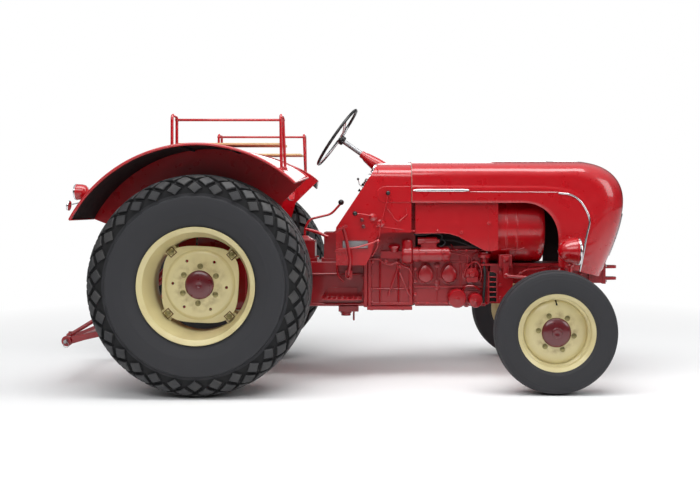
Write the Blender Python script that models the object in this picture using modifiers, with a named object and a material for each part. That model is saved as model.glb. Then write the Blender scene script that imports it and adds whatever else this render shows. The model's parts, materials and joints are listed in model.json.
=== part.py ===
"""A vintage three-cylinder farm tractor, built as separate solids on one datum.

Axes: +X forward, +Y to the driver's left, +Z up, in metres. Every length along X below
is measured ahead of the rear axle and every height from the ground; the datum empty
moves the whole machine so that its box is centred on the origin.
"""

import math

import bmesh
import bpy
from mathutils import Vector

# Overall
REAR_AXLE_X = -0.8305
WHEELBASE = 2.02
SEAT_GAP = 0.0003

# Wheels: radius, half width of the tyre, half track, bead seat and flange of the rim
REAR_TYRE_RADIUS = 0.625
REAR_WHEEL_STEPS = 28
REAR_TYRE_HALF_WIDTH = 0.213
REAR_HALF_TRACK = 0.60
REAR_BEAD_RADIUS = 0.3048
REAR_FLANGE_RADIUS = 0.330
REAR_RIM_HALF_WIDTH = 0.190
FRONT_TYRE_RADIUS = 0.352
FRONT_WHEEL_STEPS = 20
FRONT_TYRE_HALF_WIDTH = 0.080
FRONT_HALF_TRACK = 0.625
FRONT_BEAD_RADIUS = 0.2032
FRONT_FLANGE_RADIUS = 0.2225
FRONT_RIM_HALF_WIDTH = 0.063
FLANGE_THICKNESS = 0.0148
RIM_WALL = 0.008
RIM_LUG_ANGLES = (43.0, 131.5, 222.0, 312.5)
RIM_LUG_FACE = 0.052
DISC_THICKNESS = 0.012
REAR_DISC_FACE = 0.080
HUB_CAP_RADIUS = 0.081
BOLT_HOLE_CIRCLE = 0.152
BOLT_HOLE_ANGLES = (118.0, 57.0, -6.0, -66.0, -125.0, 177.0)

# Drive line
AXLE_CASE_HALF_WIDTH = 0.16
AXLE_CASE_REAR = -0.17
AXLE_CASE_FRONT = 0.18
TRUMPET_END = 0.520
HUB_CLEARANCE = 0.0006
GEARBOX_FRONT = 0.938
GEARBOX_HALF_WIDTH = 0.13
GEARBOX_TOP = 0.72
GEAR_TOWER_TOP = 0.88
CLUTCH_FRONT = 1.219
CLUTCH_HALF_WIDTH = 0.17
CLUTCH_TOP = 0.75
ENGINE_FRONT = 1.70
ENGINE_HALF_WIDTH = 0.15
ENGINE_BOTTOM = 0.455
ENGINE_TOP = 0.80
HEAD_HALF_WIDTH = 0.11
HEAD_HALF_LENGTH = 0.066
HEAD_BOTTOM = 1.01
HEAD_TOP = 1.16
CYLINDER_PLACES = (1.31, 1.46, 1.61)
FAN_RADIUS = 0.22
DUCT_CLEARANCE = 0.027
FAN_HEIGHT = 0.93
FAN_FRONT = 2.04
STARTER_Y = -0.20

# Front carrier, axle and steering
CARRIER_BOTTOM = 0.58
CARRIER_HALF_WIDTH = 0.11
CARRIER_BODY_FRONT = WHEELBASE + 0.34
CARRIER_FRONT = WHEELBASE + 0.41
CARRIER_NOSE_HALF_WIDTH = 0.070
CARRIER_STEP = 1.84
CARRIER_STEP_HALF_WIDTH = 0.20
KINGPIN_Y = 0.50
KINGPIN_RADIUS = 0.019
PIN_CLEARANCE = 0.0008
FACE_CLEARANCE = 0.0006
STUB_RADIUS = 0.022
BOSS_RADIUS = 0.038
BOSS_BOTTOM = 0.435
BOSS_TOP = 0.585
ARM_LENGTH = 0.14
ARM_INSET = 0.04
ARM_TOP = 0.345
DROP_ARM_LENGTH = 0.10
DROP_ARM_HALF = 0.010
DROP_SHAFT = (1.79, -0.252, 0.742)
LINK_ARM_TOP = 0.618
STEERING_PITCH = math.radians(35.0)
STEERING_HUB = (0.761, 0.0, 1.4985)
STEERING_WHEEL_RADIUS = 0.2125
STEERING_RIM_RADIUS = 0.0095
STEERING_DISH = 0.027

# Bonnet and cowl
BONNET_HALF_WIDTH = 0.27
BONNET_TOP = 1.3535
BONNET_REAR = 1.213
BONNET_WALL = 0.004
BONNET_LOWER_EDGE = 1.09
SEAM_GAP = 0.005
TOP_CORNER = 0.11
NOSE_CORNER = 0.26
CORNER_POWER = 2.6
COWL_TOP = 1.344
COWL_WALL = 0.005
BULKHEAD_X = 1.00
GRILLE_HALF_WIDTH = 0.12
GRILLE_LOW = 0.76
GRILLE_HIGH = 1.02
GRILLE_BARS = 9
JAW_NOTCH_HALF_WIDTH = 0.09
JAW_NOTCH_TOP = 0.73

# Fenders and passenger seats
FENDER_CENTRE_Z = 0.615
FENDER_RADIUS = 0.80
FENDER_FRONT_RADIUS = 0.855
FENDER_ANGLES = (151.8, 47.0)
FENDER_RISE_ANGLE = 80.0
FENDER_INNER = 0.3655
FENDER_OUTER = 0.76
FENDER_WALL = 0.004
FENDER_BEAD = 0.008
FENDER_SEAT_GAP = 0.0007
RAIL_TUBE = 0.0085
RAIL_STATIONS = (-0.145, 0.463)
RAIL_OUTER_Y = 0.72
RAIL_INNER_Y = 0.61
RAIL_TOP = FENDER_CENTRE_Z + FENDER_RADIUS + 0.175
RAIL_BAR = FENDER_CENTRE_Z + FENDER_RADIUS + 0.148
BOARD_THICKNESS = 0.0135
BOARD_INNER_Y = 0.405

# Lamps, seat, hitch
LAMP_RADIUS = 0.0835
LAMP_PLACE = (WHEELBASE + 0.140, 0.365, 0.798)
LAMP_ARM_Z = 0.655
TAIL_LAMP_STANDOFF = 0.0731122
TAIL_LAMP_ANGLE = math.atan2(0.535, -0.690)
TAIL_LAMP = (
    (FENDER_RADIUS + TAIL_LAMP_STANDOFF) * math.cos(TAIL_LAMP_ANGLE),
    0.600,
    FENDER_CENTRE_Z + (FENDER_RADIUS + TAIL_LAMP_STANDOFF) * math.sin(TAIL_LAMP_ANGLE),
)
SEAT_HALF_WIDTH = 0.23
SEAT_HEIGHT = 1.115
SEAT_WALL = 0.004
SPRING_THICKNESS = 0.013
LIFT_TOP = 0.87
LINK_FRONT = (-0.10, 0.20, 0.42)
LINK_REAR = (-0.867, 0.36, 0.258)
LINK_RADII = (0.017, 0.011)
LINK_EYE_HALF = 0.018
LINK_EYE_RADIUS = 0.032
DRAWBAR_HALF_HEIGHT = 0.0125
STAY_RADIUS = 0.013
STAY_HEAD = (-0.225, 0.03, 0.70)
STAY_PAD = 0.03

for old in list(bpy.data.objects):
    bpy.data.objects.remove(old, do_unlink=True)

tractor = bpy.data.collections.new("vintage_tractor")
construction = bpy.data.collections.new("construction")
bpy.context.scene.collection.children.link(tractor)
bpy.context.scene.collection.children.link(construction)

datum = bpy.data.objects.new("datum", None)
datum.location = (REAR_AXLE_X, 0.0, 0.0)
tractor.objects.link(datum)

# name: (red, green, blue), roughness, metallic
FINISHES = {
    "red_paint": ((0.47, 0.006, 0.014), 0.30, 0.0),
    "cream_paint": ((0.66, 0.55, 0.31), 0.40, 0.0),
    "tyre_rubber": ((0.028, 0.028, 0.030), 0.80, 0.0),
    "black_plastic": ((0.012, 0.012, 0.012), 0.35, 0.0),
    "varnished_wood": ((0.72, 0.52, 0.27), 0.45, 0.0),
    "bare_steel": ((0.42, 0.42, 0.43), 0.40, 1.0),
    "dark_mesh": ((0.05, 0.05, 0.05), 0.50, 0.6),
}


def finish_material(name):
    """The shared Principled material of one finish."""
    material = bpy.data.materials.get(name)
    if material is None:
        colour, roughness, metallic = FINISHES[name]
        material = bpy.data.materials.new(name)
        material.use_nodes = True
        shader = material.node_tree.nodes["Principled BSDF"]
        shader.inputs["Base Color"].default_value = (*colour, 1.0)
        shader.inputs["Roughness"].default_value = roughness
        shader.inputs["Metallic"].default_value = metallic
    return material


def helper(data, name="shape"):
    """A hidden construction object on the datum."""
    obj = bpy.data.objects.new(name, data)
    construction.objects.link(obj)
    obj.parent = datum
    obj.hide_render = True
    obj.display_type = "WIRE"
    return obj


def helper_from(bm, smooth_angle=40.0):
    """A construction object from a bmesh, smooth except at its sharp edges."""
    mesh = bpy.data.meshes.new("shape")
    bm.to_mesh(mesh)
    bm.free()
    mesh.shade_smooth()
    mesh.set_sharp_from_angle(angle=math.radians(smooth_angle))
    return helper(mesh)


def block(low, high, bevel=0.0):
    """A box between two corners, with its edges rounded by bevel."""
    low, high = Vector(low), Vector(high)
    bm = bmesh.new()
    bmesh.ops.create_cube(bm, size=1.0)
    bmesh.ops.scale(bm, vec=high - low, verts=bm.verts)
    bmesh.ops.translate(bm, vec=(low + high) / 2, verts=bm.verts)
    obj = helper_from(bm)
    if bevel:
        rounding = obj.modifiers.new("edges", "BEVEL")
        rounding.width = bevel
        rounding.segments = 1
    return obj


def rod(start, end, radius, end_radius=None, sides=10):
    """A round bar, or a cone where end_radius differs, from start to end."""
    start, end = Vector(start), Vector(end)
    run = end - start
    bm = bmesh.new()
    bmesh.ops.create_cone(
        bm,
        cap_ends=True,
        segments=sides,
        radius1=radius,
        radius2=radius if end_radius is None else end_radius,
        depth=run.length,
    )
    turn = run.to_track_quat("Z", "Y").to_matrix()
    bmesh.ops.rotate(bm, matrix=turn, verts=bm.verts)
    bmesh.ops.translate(bm, vec=(start + end) / 2, verts=bm.verts)
    return helper_from(bm)


def ball(centre, radius):
    """A small sphere."""
    bm = bmesh.new()
    bmesh.ops.create_uvsphere(bm, u_segments=10, v_segments=6, radius=radius)
    bmesh.ops.translate(bm, vec=centre, verts=bm.verts)
    return helper_from(bm)


def turned(profile, centre, outward, steps=24, ring=False):
    """A profile of (radius, along) points turned about outward through centre.

    A ring profile is a closed loop clear of the axis; the others start and end on it.
    """
    area = sum(
        a[0] * b[1] - b[0] * a[1] for a, b in zip(profile, profile[1:] + profile[:1])
    )
    points = list(profile) if area < 0 else list(reversed(profile))
    edges = [(i, i + 1) for i in range(len(points) - 1)]
    if ring:
        edges.append((len(points) - 1, 0))
    mesh = bpy.data.meshes.new("profile")
    mesh.from_pydata([(r, 0.0, along) for r, along in points], edges, [])
    obj = helper(mesh)
    obj.location = centre
    obj.rotation_mode = "QUATERNION"
    obj.rotation_quaternion = Vector(outward).to_track_quat("Z", "Y")
    screw = obj.modifiers.new("turn", "SCREW")
    screw.steps = steps
    screw.render_steps = steps
    screw.use_merge_vertices = True
    screw.merge_threshold = 0.00001
    return obj


def mesh_of(curve_obj):
    """The curve object's closed mesh, as a new construction object in its place."""
    bpy.context.view_layer.update()
    graph = bpy.context.evaluated_depsgraph_get()
    mesh = bpy.data.meshes.new_from_object(curve_obj.evaluated_get(graph))
    bm = bmesh.new()
    bm.from_mesh(mesh)
    bmesh.ops.remove_doubles(bm, verts=bm.verts, dist=0.00001)
    bmesh.ops.recalc_face_normals(bm, faces=bm.faces)
    bm.to_mesh(mesh)
    bm.free()
    solid = helper(mesh)
    solid.location = curve_obj.location
    solid.rotation_euler = curve_obj.rotation_euler
    bpy.data.objects.remove(curve_obj, do_unlink=True)
    return solid


def plate(outline, low, high, facing):
    """A flat outline extruded from low to high along the axis named by facing.

    The outline holds (x, z) pairs for "Y", (y, z) pairs for "X" and (x, y) for "Z".
    """
    curve = bpy.data.curves.new("outline", "CURVE")
    curve.dimensions = "2D"
    curve.fill_mode = "BOTH"
    curve.extrude = (high - low) / 2
    spline = curve.splines.new("POLY")
    spline.points.add(len(outline) - 1)
    for point, (u, v) in zip(spline.points, outline):
        point.co = (u, v, 0.0, 1.0)
    spline.use_cyclic_u = True
    obj = helper(curve)
    quarter = math.pi / 2
    middle = (low + high) / 2
    obj.rotation_euler = {"X": (quarter, 0, quarter), "Y": (quarter, 0, 0), "Z": (0, 0, 0)}[facing]
    obj.location = {"X": (middle, 0, 0), "Y": (0, middle, 0), "Z": (0, 0, middle)}[facing]
    return mesh_of(obj)


def rounded(points, radius, steps=3):
    """The path through points with each inner corner rounded over about radius."""
    path = [Vector(p) for p in points]
    result = [path[0]]
    for before, corner, after in zip(path, path[1:], path[2:]):
        start = corner + (before - corner).normalized() * radius
        end = corner + (after - corner).normalized() * radius
        for i in range(steps + 1):
            t = i / steps
            result.append(start * (1 - t) ** 2 + corner * 2 * t * (1 - t) + end * t**2)
    result.append(path[-1])
    return result


def pipe(points, radius, cyclic=False):
    """A round tube of the given radius along points, with filled ends."""
    curve = bpy.data.curves.new("path", "CURVE")
    curve.dimensions = "3D"
    curve.bevel_depth = radius
    curve.bevel_resolution = 1
    curve.use_fill_caps = True
    spline = curve.splines.new("POLY")
    spline.points.add(len(points) - 1)
    for point, place in zip(spline.points, points):
        point.co = (*place, 1.0)
    spline.use_cyclic_u = cyclic
    return mesh_of(helper(curve))


def sheet(rows, wall, offset=0.0):
    """A lofted surface through rows of points, given the thickness wall."""
    mesh = bpy.data.meshes.new("sheet")
    across = len(rows[0])
    points = [tuple(p) for row in rows for p in row]
    faces = []
    for r in range(len(rows) - 1):
        for c in range(across - 1):
            corner = r * across + c
            faces.append((corner, corner + 1, corner + across + 1))
            faces.append((corner, corner + across + 1, corner + across))
    mesh.from_pydata(points, [], faces)
    mesh.shade_smooth()
    obj = helper(mesh)
    thickness = obj.modifiers.new("wall", "SOLIDIFY")
    thickness.thickness = wall
    thickness.offset = offset
    thickness.use_even_offset = True
    return obj


def strap(path, half_width, wall):
    """A flat bar bent along a path of (x, z) points."""
    return sheet([[(x, half_width, z), (x, -half_width, z)] for x, z in path], wall)


def part(name, finish, base, add=(), cut=(), only=(), pivot=None):
    """Name base as a piece of the tractor, joined with add, cut by cut, kept inside only."""
    construction.objects.unlink(base)
    tractor.objects.link(base)
    base.name = name
    base.data.name = name
    base.hide_render = False
    base.display_type = "TEXTURED"
    base.data.materials.clear()
    base.data.materials.append(finish_material(finish))
    for operation, tools in (("UNION", add), ("INTERSECT", only), ("DIFFERENCE", cut)):
        for tool in tools:
            boolean = base.modifiers.new(operation.lower(), "BOOLEAN")
            boolean.operation = operation
            boolean.object = tool
    if pivot is not None:
        shift = base.rotation_euler.to_matrix().inverted() @ (base.location - Vector(pivot))
        for vertex in base.data.vertices:
            vertex.co += shift
        base.location = pivot
    return base


def mirrored(point, side):
    """The point with y turned to the given side: 1 left, -1 right."""
    return (point[0], point[1] * side, point[2])


SIDES = {"left": 1, "right": -1}


# ---------------------------------------------------------------- wheels


def rim_profile(bead, flange, half_width, well, well_half):
    """Closed section of a drop-centre rim as (radius, across) points."""
    seat = half_width - FLANGE_THICKNESS
    half = [
        (flange, half_width),
        (flange, seat),
        (bead, seat),
        (well, well_half),
    ]
    inner = [
        (well - RIM_WALL, well_half),
        (bead - RIM_WALL, seat),
        (flange - RIM_WALL, half_width),
    ]
    outer = half + [(r, -w) for r, w in reversed(half)]
    return outer + [(r, -w) for r, w in reversed(inner)] + inner


def tyre_profile(radius, half_width, bead, flange, rim_half_width, crown_drop, shoulder_drop):
    """Closed section of a tyre seated 0.3 mm off its rim."""
    seat = rim_half_width - FLANGE_THICKNESS - SEAT_GAP
    wall = radius - flange
    half = [
        (radius - crown_drop, half_width * 0.65),
        (radius - shoulder_drop, half_width * 0.90),
        (flange + wall * 0.50, half_width),
        (flange + wall * 0.07, (half_width + rim_half_width) / 2),
        (flange + 0.0012, seat),
        (bead + SEAT_GAP, seat),
    ]
    return [(radius, 0.0)] + half + [(r, -w) for r, w in reversed(half)]


def rear_wheel(side_name, side):
    """Rim with its clamp lugs, the bolted centre and the tyre of one rear wheel."""
    centre = (0.0, side * REAR_HALF_TRACK, REAR_TYRE_RADIUS)
    outward = (0.0, side, 0.0)
    well = REAR_BEAD_RADIUS - 0.030
    rim = turned(
        rim_profile(REAR_BEAD_RADIUS, REAR_FLANGE_RADIUS, REAR_RIM_HALF_WIDTH, well, 0.060),
        centre,
        outward,
        steps=REAR_WHEEL_STEPS,
        ring=True,
    )
    lugs = []
    for angle in RIM_LUG_ANGLES:
        direction = Vector((math.cos(math.radians(angle)), 0.0, math.sin(math.radians(angle))))
        foot = Vector(centre) + direction * (well - RIM_WALL / 2)
        tip = Vector(centre) + direction * 0.232
        shift = Vector((0.0, side * (RIM_LUG_FACE - 0.020), 0.0))
        lug = rod(foot + shift, tip + shift, 0.020, sides=4)
        lugs.append(lug)
    part(f"rear_rim_{side_name}", "cream_paint", rim, add=lugs)

    disc_back = RIM_LUG_FACE - 0.020 + 0.020 * math.cos(math.pi / 4) + SEAT_GAP
    disc_back = max(disc_back, RIM_LUG_FACE)
    back = disc_back + DISC_THICKNESS
    face = REAR_DISC_FACE
    hub_back = TRUMPET_END + HUB_CLEARANCE - REAR_HALF_TRACK
    centre_piece = turned(
        [
            (0.0, face + 0.022),
            (HUB_CAP_RADIUS - 0.012, face + 0.020),
            (HUB_CAP_RADIUS, face + 0.012),
            (HUB_CAP_RADIUS, face),
            (0.165, face),
            (0.205, back),
            (0.214, back),
            (0.214, disc_back),
            (0.200, disc_back),
            (0.160, face - DISC_THICKNESS),
            (0.090, face - DISC_THICKNESS),
            (0.085, hub_back),
            (0.0, hub_back),
        ],
        centre,
        outward,
        steps=20,
    )
    corners = []
    for angle in RIM_LUG_ANGLES:
        direction = Vector((math.cos(math.radians(angle)), 0.0, math.sin(math.radians(angle))))
        start = Vector(centre) + direction * 0.195
        end = Vector(centre) + direction * 0.256
        y_low, y_high = sorted(side * w for w in (disc_back, back))
        across = Vector((-direction.z, 0.0, direction.x))
        corners.append(
            plate(
                [
                    ((start + across * 0.075).x, (start + across * 0.075).z),
                    ((end + across * 0.030).x, (end + across * 0.030).z),
                    ((end - across * 0.030).x, (end - across * 0.030).z),
                    ((start - across * 0.075).x, (start - across * 0.075).z),
                ],
                centre[1] + y_low,
                centre[1] + y_high,
                "Y",
            )
        )
    holes = []
    for angle in BOLT_HOLE_ANGLES:
        x = BOLT_HOLE_CIRCLE * math.cos(math.radians(angle))
        z = REAR_TYRE_RADIUS + BOLT_HOLE_CIRCLE * math.sin(math.radians(angle))
        near, far = (centre[1] + side * (face + w) for w in (-0.030, 0.020))
        holes.append(rod((x, near, z), (x, far, z), 0.009, sides=6))
    part(f"rear_wheel_centre_{side_name}", "cream_paint", centre_piece, add=corners, cut=holes)

    tyre = turned(
        tyre_profile(
            REAR_TYRE_RADIUS,
            REAR_TYRE_HALF_WIDTH,
            REAR_BEAD_RADIUS,
            REAR_FLANGE_RADIUS,
            REAR_RIM_HALF_WIDTH,
            crown_drop=0.008,
            shoulder_drop=0.030,
        ),
        centre,
        outward,
        steps=REAR_WHEEL_STEPS,
        ring=True,
    )
    part(f"rear_tyre_{side_name}", "tyre_rubber", tyre)


def front_wheel(side_name, side):
    """Rim with its dished disc and cap, and the tyre of one front wheel."""
    centre = (WHEELBASE, side * FRONT_HALF_TRACK, FRONT_TYRE_RADIUS)
    outward = (0.0, side, 0.0)
    rim = turned(
        rim_profile(FRONT_BEAD_RADIUS, FRONT_FLANGE_RADIUS, FRONT_RIM_HALF_WIDTH, 0.186, 0.012),
        centre,
        outward,
        steps=FRONT_WHEEL_STEPS,
        ring=True,
    )
    disc = turned(
        [
            (0.0, 0.062),
            (0.030, 0.060),
            (0.070, 0.050),
            (0.083, 0.034),
            (0.130, 0.030),
            (0.182, 0.010),
            (0.182, -0.004),
            (0.125, 0.018),
            (0.060, 0.020),
            (0.055, -0.052),
            (STUB_RADIUS + PIN_CLEARANCE, -0.052),
            (STUB_RADIUS + PIN_CLEARANCE, 0.020),
            (0.0, 0.020),
        ],
        centre,
        outward,
        steps=FRONT_WHEEL_STEPS,
    )
    part(f"front_rim_{side_name}", "cream_paint", rim, add=[disc])
    tyre = turned(
        tyre_profile(
            FRONT_TYRE_RADIUS,
            FRONT_TYRE_HALF_WIDTH,
            FRONT_BEAD_RADIUS,
            FRONT_FLANGE_RADIUS,
            FRONT_RIM_HALF_WIDTH,
            crown_drop=0.004,
            shoulder_drop=0.014,
        ),
        centre,
        outward,
        steps=FRONT_WHEEL_STEPS,
        ring=True,
    )
    part(f"front_tyre_{side_name}", "tyre_rubber", tyre)


# ---------------------------------------------------------------- drive line


def rear_axle():
    """Differential case with its trumpets, fender brackets and hitch lugs."""
    case = block(
        (AXLE_CASE_REAR, -AXLE_CASE_HALF_WIDTH, 0.42),
        (AXLE_CASE_FRONT, AXLE_CASE_HALF_WIDTH, 0.80),
        bevel=0.03,
    )
    stay_pad = block(
        (AXLE_CASE_REAR - STAY_PAD, -0.05, STAY_HEAD[2] - 0.05),
        (AXLE_CASE_REAR + 0.02, 0.05, STAY_HEAD[2] + 0.05),
        bevel=0.006,
    )
    extras = [stay_pad]
    z = REAR_TYRE_RADIUS
    for side in SIDES.values():
        inner = side * (AXLE_CASE_HALF_WIDTH - 0.02)
        outer = side * TRUMPET_END
        extras.append(rod((0, inner, z), (0, outer, z), 0.100, 0.066, sides=16))
        extras.append(rod((0, outer - side * 0.022, z), (0, outer, z), 0.105, sides=16))
        y_low, y_high = sorted(side * y for y in (0.335, FENDER_INNER - SEAT_GAP))
        extras.append(block((-0.07, y_low, 0.64), (0.07, y_high, 0.80)))
        lug_end = (LINK_FRONT[0], side * (LINK_FRONT[1] - LINK_EYE_HALF - SEAT_GAP), LINK_FRONT[2])
        lug_start = (LINK_FRONT[0], side * 0.12, LINK_FRONT[2])
        extras.append(rod(lug_start, lug_end, 0.028))
        y_low, y_high = sorted(side * y for y in (0.12, 0.155))
        extras.append(
            block(
                (LINK_FRONT[0] - 0.03, y_low, LINK_FRONT[2] - 0.02),
                (LINK_FRONT[0] + 0.03, y_high, LINK_FRONT[2] + 0.05),
            )
        )
    part("rear_axle_housing", "red_paint", case, add=extras)


def lift_housing():
    """Hydraulic lift cover on the axle case, with its rocker arms."""
    base = block((-0.15, -0.12, 0.80 + SEAT_GAP), (0.16, 0.12, LIFT_TOP), bevel=0.012)
    shaft_x, shaft_z = 0.02, 0.835
    extras = [rod((shaft_x, -0.215, shaft_z), (shaft_x, 0.215, shaft_z), 0.022)]
    for side in SIDES.values():
        y_low, y_high = sorted(side * y for y in (0.185, 0.205))
        arm = [
            (0.050, 0.865),
            (0.050, 0.805),
            (0.010, 0.795),
            (-0.250, 0.780),
            (-0.262, 0.800),
            (-0.250, 0.825),
        ]
        extras.append(plate(arm, y_low, y_high, "Y"))
    part("lift_housing", "red_paint", base, add=extras)


def lift_rods():
    """Slanted rods that hang the lower links from the rocker arms."""
    for name, side in SIDES.items():
        top = (-0.235, side * 0.225, 0.800)
        share = 0.55
        foot = line(LINK_FRONT, LINK_REAR, share)
        radius = LINK_RADII[0] + (LINK_RADII[1] - LINK_RADII[0]) * share
        rise = 0.020 * (LINK_FRONT[2] - LINK_REAR[2]) / (LINK_FRONT[0] - LINK_REAR[0])
        foot = (foot[0], side * foot[1], foot[2] + radius * 1.03 + rise + 0.0135 + SEAT_GAP)
        base = rod(top, foot, 0.011, sides=12)
        eye = rod((top[0], side * (0.205 + SEAT_GAP), top[2]), (top[0], side * 0.240, top[2]), 0.022)
        shackle = block(
            (foot[0] - 0.020, foot[1] - 0.016, foot[2] - 0.0135),
            (foot[0] + 0.020, foot[1] + 0.016, foot[2] + 0.014),
        )
        part(f"lift_rod_{name}", "red_paint", base, add=[eye, shackle])


def lower_links_and_drawbar():
    """Two draft arms, the drawbar between their ends and the stays that hold it up."""
    front, rear = Vector(LINK_FRONT), Vector(LINK_REAR)
    for name, side in SIDES.items():
        start, end = Vector(mirrored(front, side)), Vector(mirrored(rear, side))
        base = rod(start, end, *LINK_RADII, sides=12)
        eyes = []
        for place in (start, end):
            near = (place.x, place.y - LINK_EYE_HALF, place.z)
            far = (place.x, place.y + LINK_EYE_HALF, place.z)
            eyes.append(rod(near, far, LINK_EYE_RADIUS))
        part(f"lower_link_{name}", "red_paint", base, add=eyes)
    half = rear.y - LINK_EYE_HALF - SEAT_GAP
    drawbar = block(
        (rear.x - 0.030, -half, rear.z - DRAWBAR_HALF_HEIGHT),
        (rear.x + 0.030, half, rear.z + DRAWBAR_HALF_HEIGHT),
    )
    holes = [
        rod((rear.x, y, rear.z - 0.03), (rear.x, y, rear.z + 0.03), 0.011, sides=10)
        for y in (-0.20, 0.0, 0.20)
    ]
    part("drawbar", "red_paint", drawbar, cut=holes)
    top = rear.z + DRAWBAR_HALF_HEIGHT + SEAT_GAP
    head = block(
        (STAY_HEAD[0] - 0.025, -0.045, STAY_HEAD[2] - 0.03),
        (AXLE_CASE_REAR - STAY_PAD - SEAT_GAP, 0.045, STAY_HEAD[2] + 0.03),
    )
    legs = []
    for side in SIDES.values():
        foot = (rear.x, side * (half - 0.035), top + 0.015)
        legs.append(rod(mirrored(STAY_HEAD, side), foot, STAY_RADIUS, sides=12))
        legs.append(rod((foot[0], foot[1], top), (foot[0], foot[1], top + 0.024), 0.024))
    part("drawbar_stays", "red_paint", head, add=legs)


def gearbox_and_clutch():
    """Gearbox with its top cover and lever tower, and the clutch housing ahead of it."""
    box = block(
        (AXLE_CASE_FRONT + SEAT_GAP, -GEARBOX_HALF_WIDTH, 0.44),
        (GEARBOX_FRONT, GEARBOX_HALF_WIDTH, GEARBOX_TOP),
        bevel=0.02,
    )
    extras = [
        block((0.47, -0.065, GEARBOX_TOP - 0.02), (0.60, 0.065, GEAR_TOWER_TOP), 0.01),
        block((0.66, -0.10, GEARBOX_TOP - 0.02), (0.74, 0.10, 0.91), 0.01),
        block((GEARBOX_FRONT - 0.02, -0.19, 0.44), (GEARBOX_FRONT, 0.19, 0.77)),
    ]
    part("gearbox", "red_paint", box, add=extras)
    housing = block(
        (GEARBOX_FRONT + SEAT_GAP, -CLUTCH_HALF_WIDTH, ENGINE_BOTTOM),
        (CLUTCH_FRONT, CLUTCH_HALF_WIDTH, CLUTCH_TOP),
        bevel=0.015,
    )
    extras = [
        block((GEARBOX_FRONT + SEAT_GAP, -0.19, 0.44), (GEARBOX_FRONT + 0.022, 0.19, 0.77)),
        rod((CLUTCH_FRONT - 0.05, STARTER_Y, 0.77), (CLUTCH_FRONT, STARTER_Y, 0.77), 0.060),
        block((CLUTCH_FRONT - 0.03, STARTER_Y - 0.02, 0.70), (CLUTCH_FRONT, -0.10, 0.76)),
    ]
    part("clutch_housing", "red_paint", housing, add=extras)


def engine():
    """Plain crankcase mass, the cylinder bank, side covers, filters and starter."""
    crankcase = block(
        (CLUTCH_FRONT + SEAT_GAP, -ENGINE_HALF_WIDTH, ENGINE_BOTTOM),
        (ENGINE_FRONT, ENGINE_HALF_WIDTH, ENGINE_TOP),
        bevel=0.01,
    )
    part("engine_block", "red_paint", crankcase)

    base = block(
        (CLUTCH_FRONT + 0.02, -HEAD_HALF_WIDTH, ENGINE_TOP + SEAT_GAP),
        (ENGINE_FRONT - 0.01, HEAD_HALF_WIDTH, ENGINE_TOP + 0.02),
    )
    extras = []
    for x in CYLINDER_PLACES:
        extras.append(rod((x, 0, ENGINE_TOP + 0.01), (x, 0, HEAD_BOTTOM + 0.02), 0.068, sides=12))
        low = (x - HEAD_HALF_LENGTH, -HEAD_HALF_WIDTH, HEAD_BOTTOM)
        extras.append(block(low, (x + HEAD_HALF_LENGTH, HEAD_HALF_WIDTH, HEAD_TOP)))
    part("cylinder_bank", "red_paint", base, add=extras)

    wall = -ENGINE_HALF_WIDTH - SEAT_GAP
    covers = block((1.235, wall - 0.012, 0.570), (1.655, wall, 0.712), 0.003)
    domes = [
        rod((x, wall - 0.005, 0.645), (x, wall - 0.045, 0.645), 0.056, 0.046, sides=14)
        for x in (1.293, 1.4405, 1.588)
    ]
    part("crankcase_covers", "red_paint", covers, add=domes)

    carrier = block((1.450, wall - 0.018, 0.460), (1.640, wall, 0.540))
    cans = [
        rod((1.493, wall - 0.010, 0.4915), (1.493, wall - 0.095, 0.4915), 0.058, sides=24),
        rod((1.607, wall - 0.010, 0.479), (1.607, wall - 0.085, 0.479), 0.045, sides=20),
    ]
    part("oil_filters", "red_paint", carrier, add=cans)

    body = rod((CLUTCH_FRONT + SEAT_GAP, STARTER_Y, 0.77), (1.447, STARTER_Y, 0.77), 0.046, sides=20)
    solenoid = rod((1.250, STARTER_Y, 0.853), (1.385, STARTER_Y, 0.853), 0.025, sides=14)
    neck = block((1.270, STARTER_Y - 0.018, 0.78), (1.365, STARTER_Y + 0.018, 0.845))
    part("starter_motor", "red_paint", body, add=[solenoid, neck])


def cooling_shroud():
    """Fan drum at the front of the engine and the flat air duct along its right side."""
    drum = turned(
        [
            (0.0, 0.0),
            (FAN_RADIUS, 0.0),
            (FAN_RADIUS, FAN_FRONT - ENGINE_FRONT - 0.02),
            (FAN_RADIUS - 0.015, FAN_FRONT - ENGINE_FRONT),
            (FAN_RADIUS - 0.035, FAN_FRONT - ENGINE_FRONT),
            (FAN_RADIUS - 0.035, 0.12),
            (0.060, 0.12),
            (0.045, 0.20),
            (0.0, 0.20),
        ],
        (ENGINE_FRONT + SEAT_GAP, 0.0, FAN_HEIGHT),
        (1.0, 0.0, 0.0),
        steps=28,
    )
    duct = [
        (1.233, 1.15),
        (ENGINE_FRONT + 0.04, 1.15),
        (ENGINE_FRONT + 0.04, 0.80),
        (1.661, 0.797),
        (1.419, 0.902),
        (1.233, 0.902),
    ]
    duct_outer = BONNET_HALF_WIDTH - DUCT_CLEARANCE
    panel = plate(duct, -duct_outer, -FAN_RADIUS + 0.022, "Y")
    roof = block((1.245, -duct_outer + 0.013, 1.110), (1.690, -HEAD_HALF_WIDTH - SEAT_GAP, 1.148))
    part("cooling_shroud", "red_paint", drum, add=[panel, roof])


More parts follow.
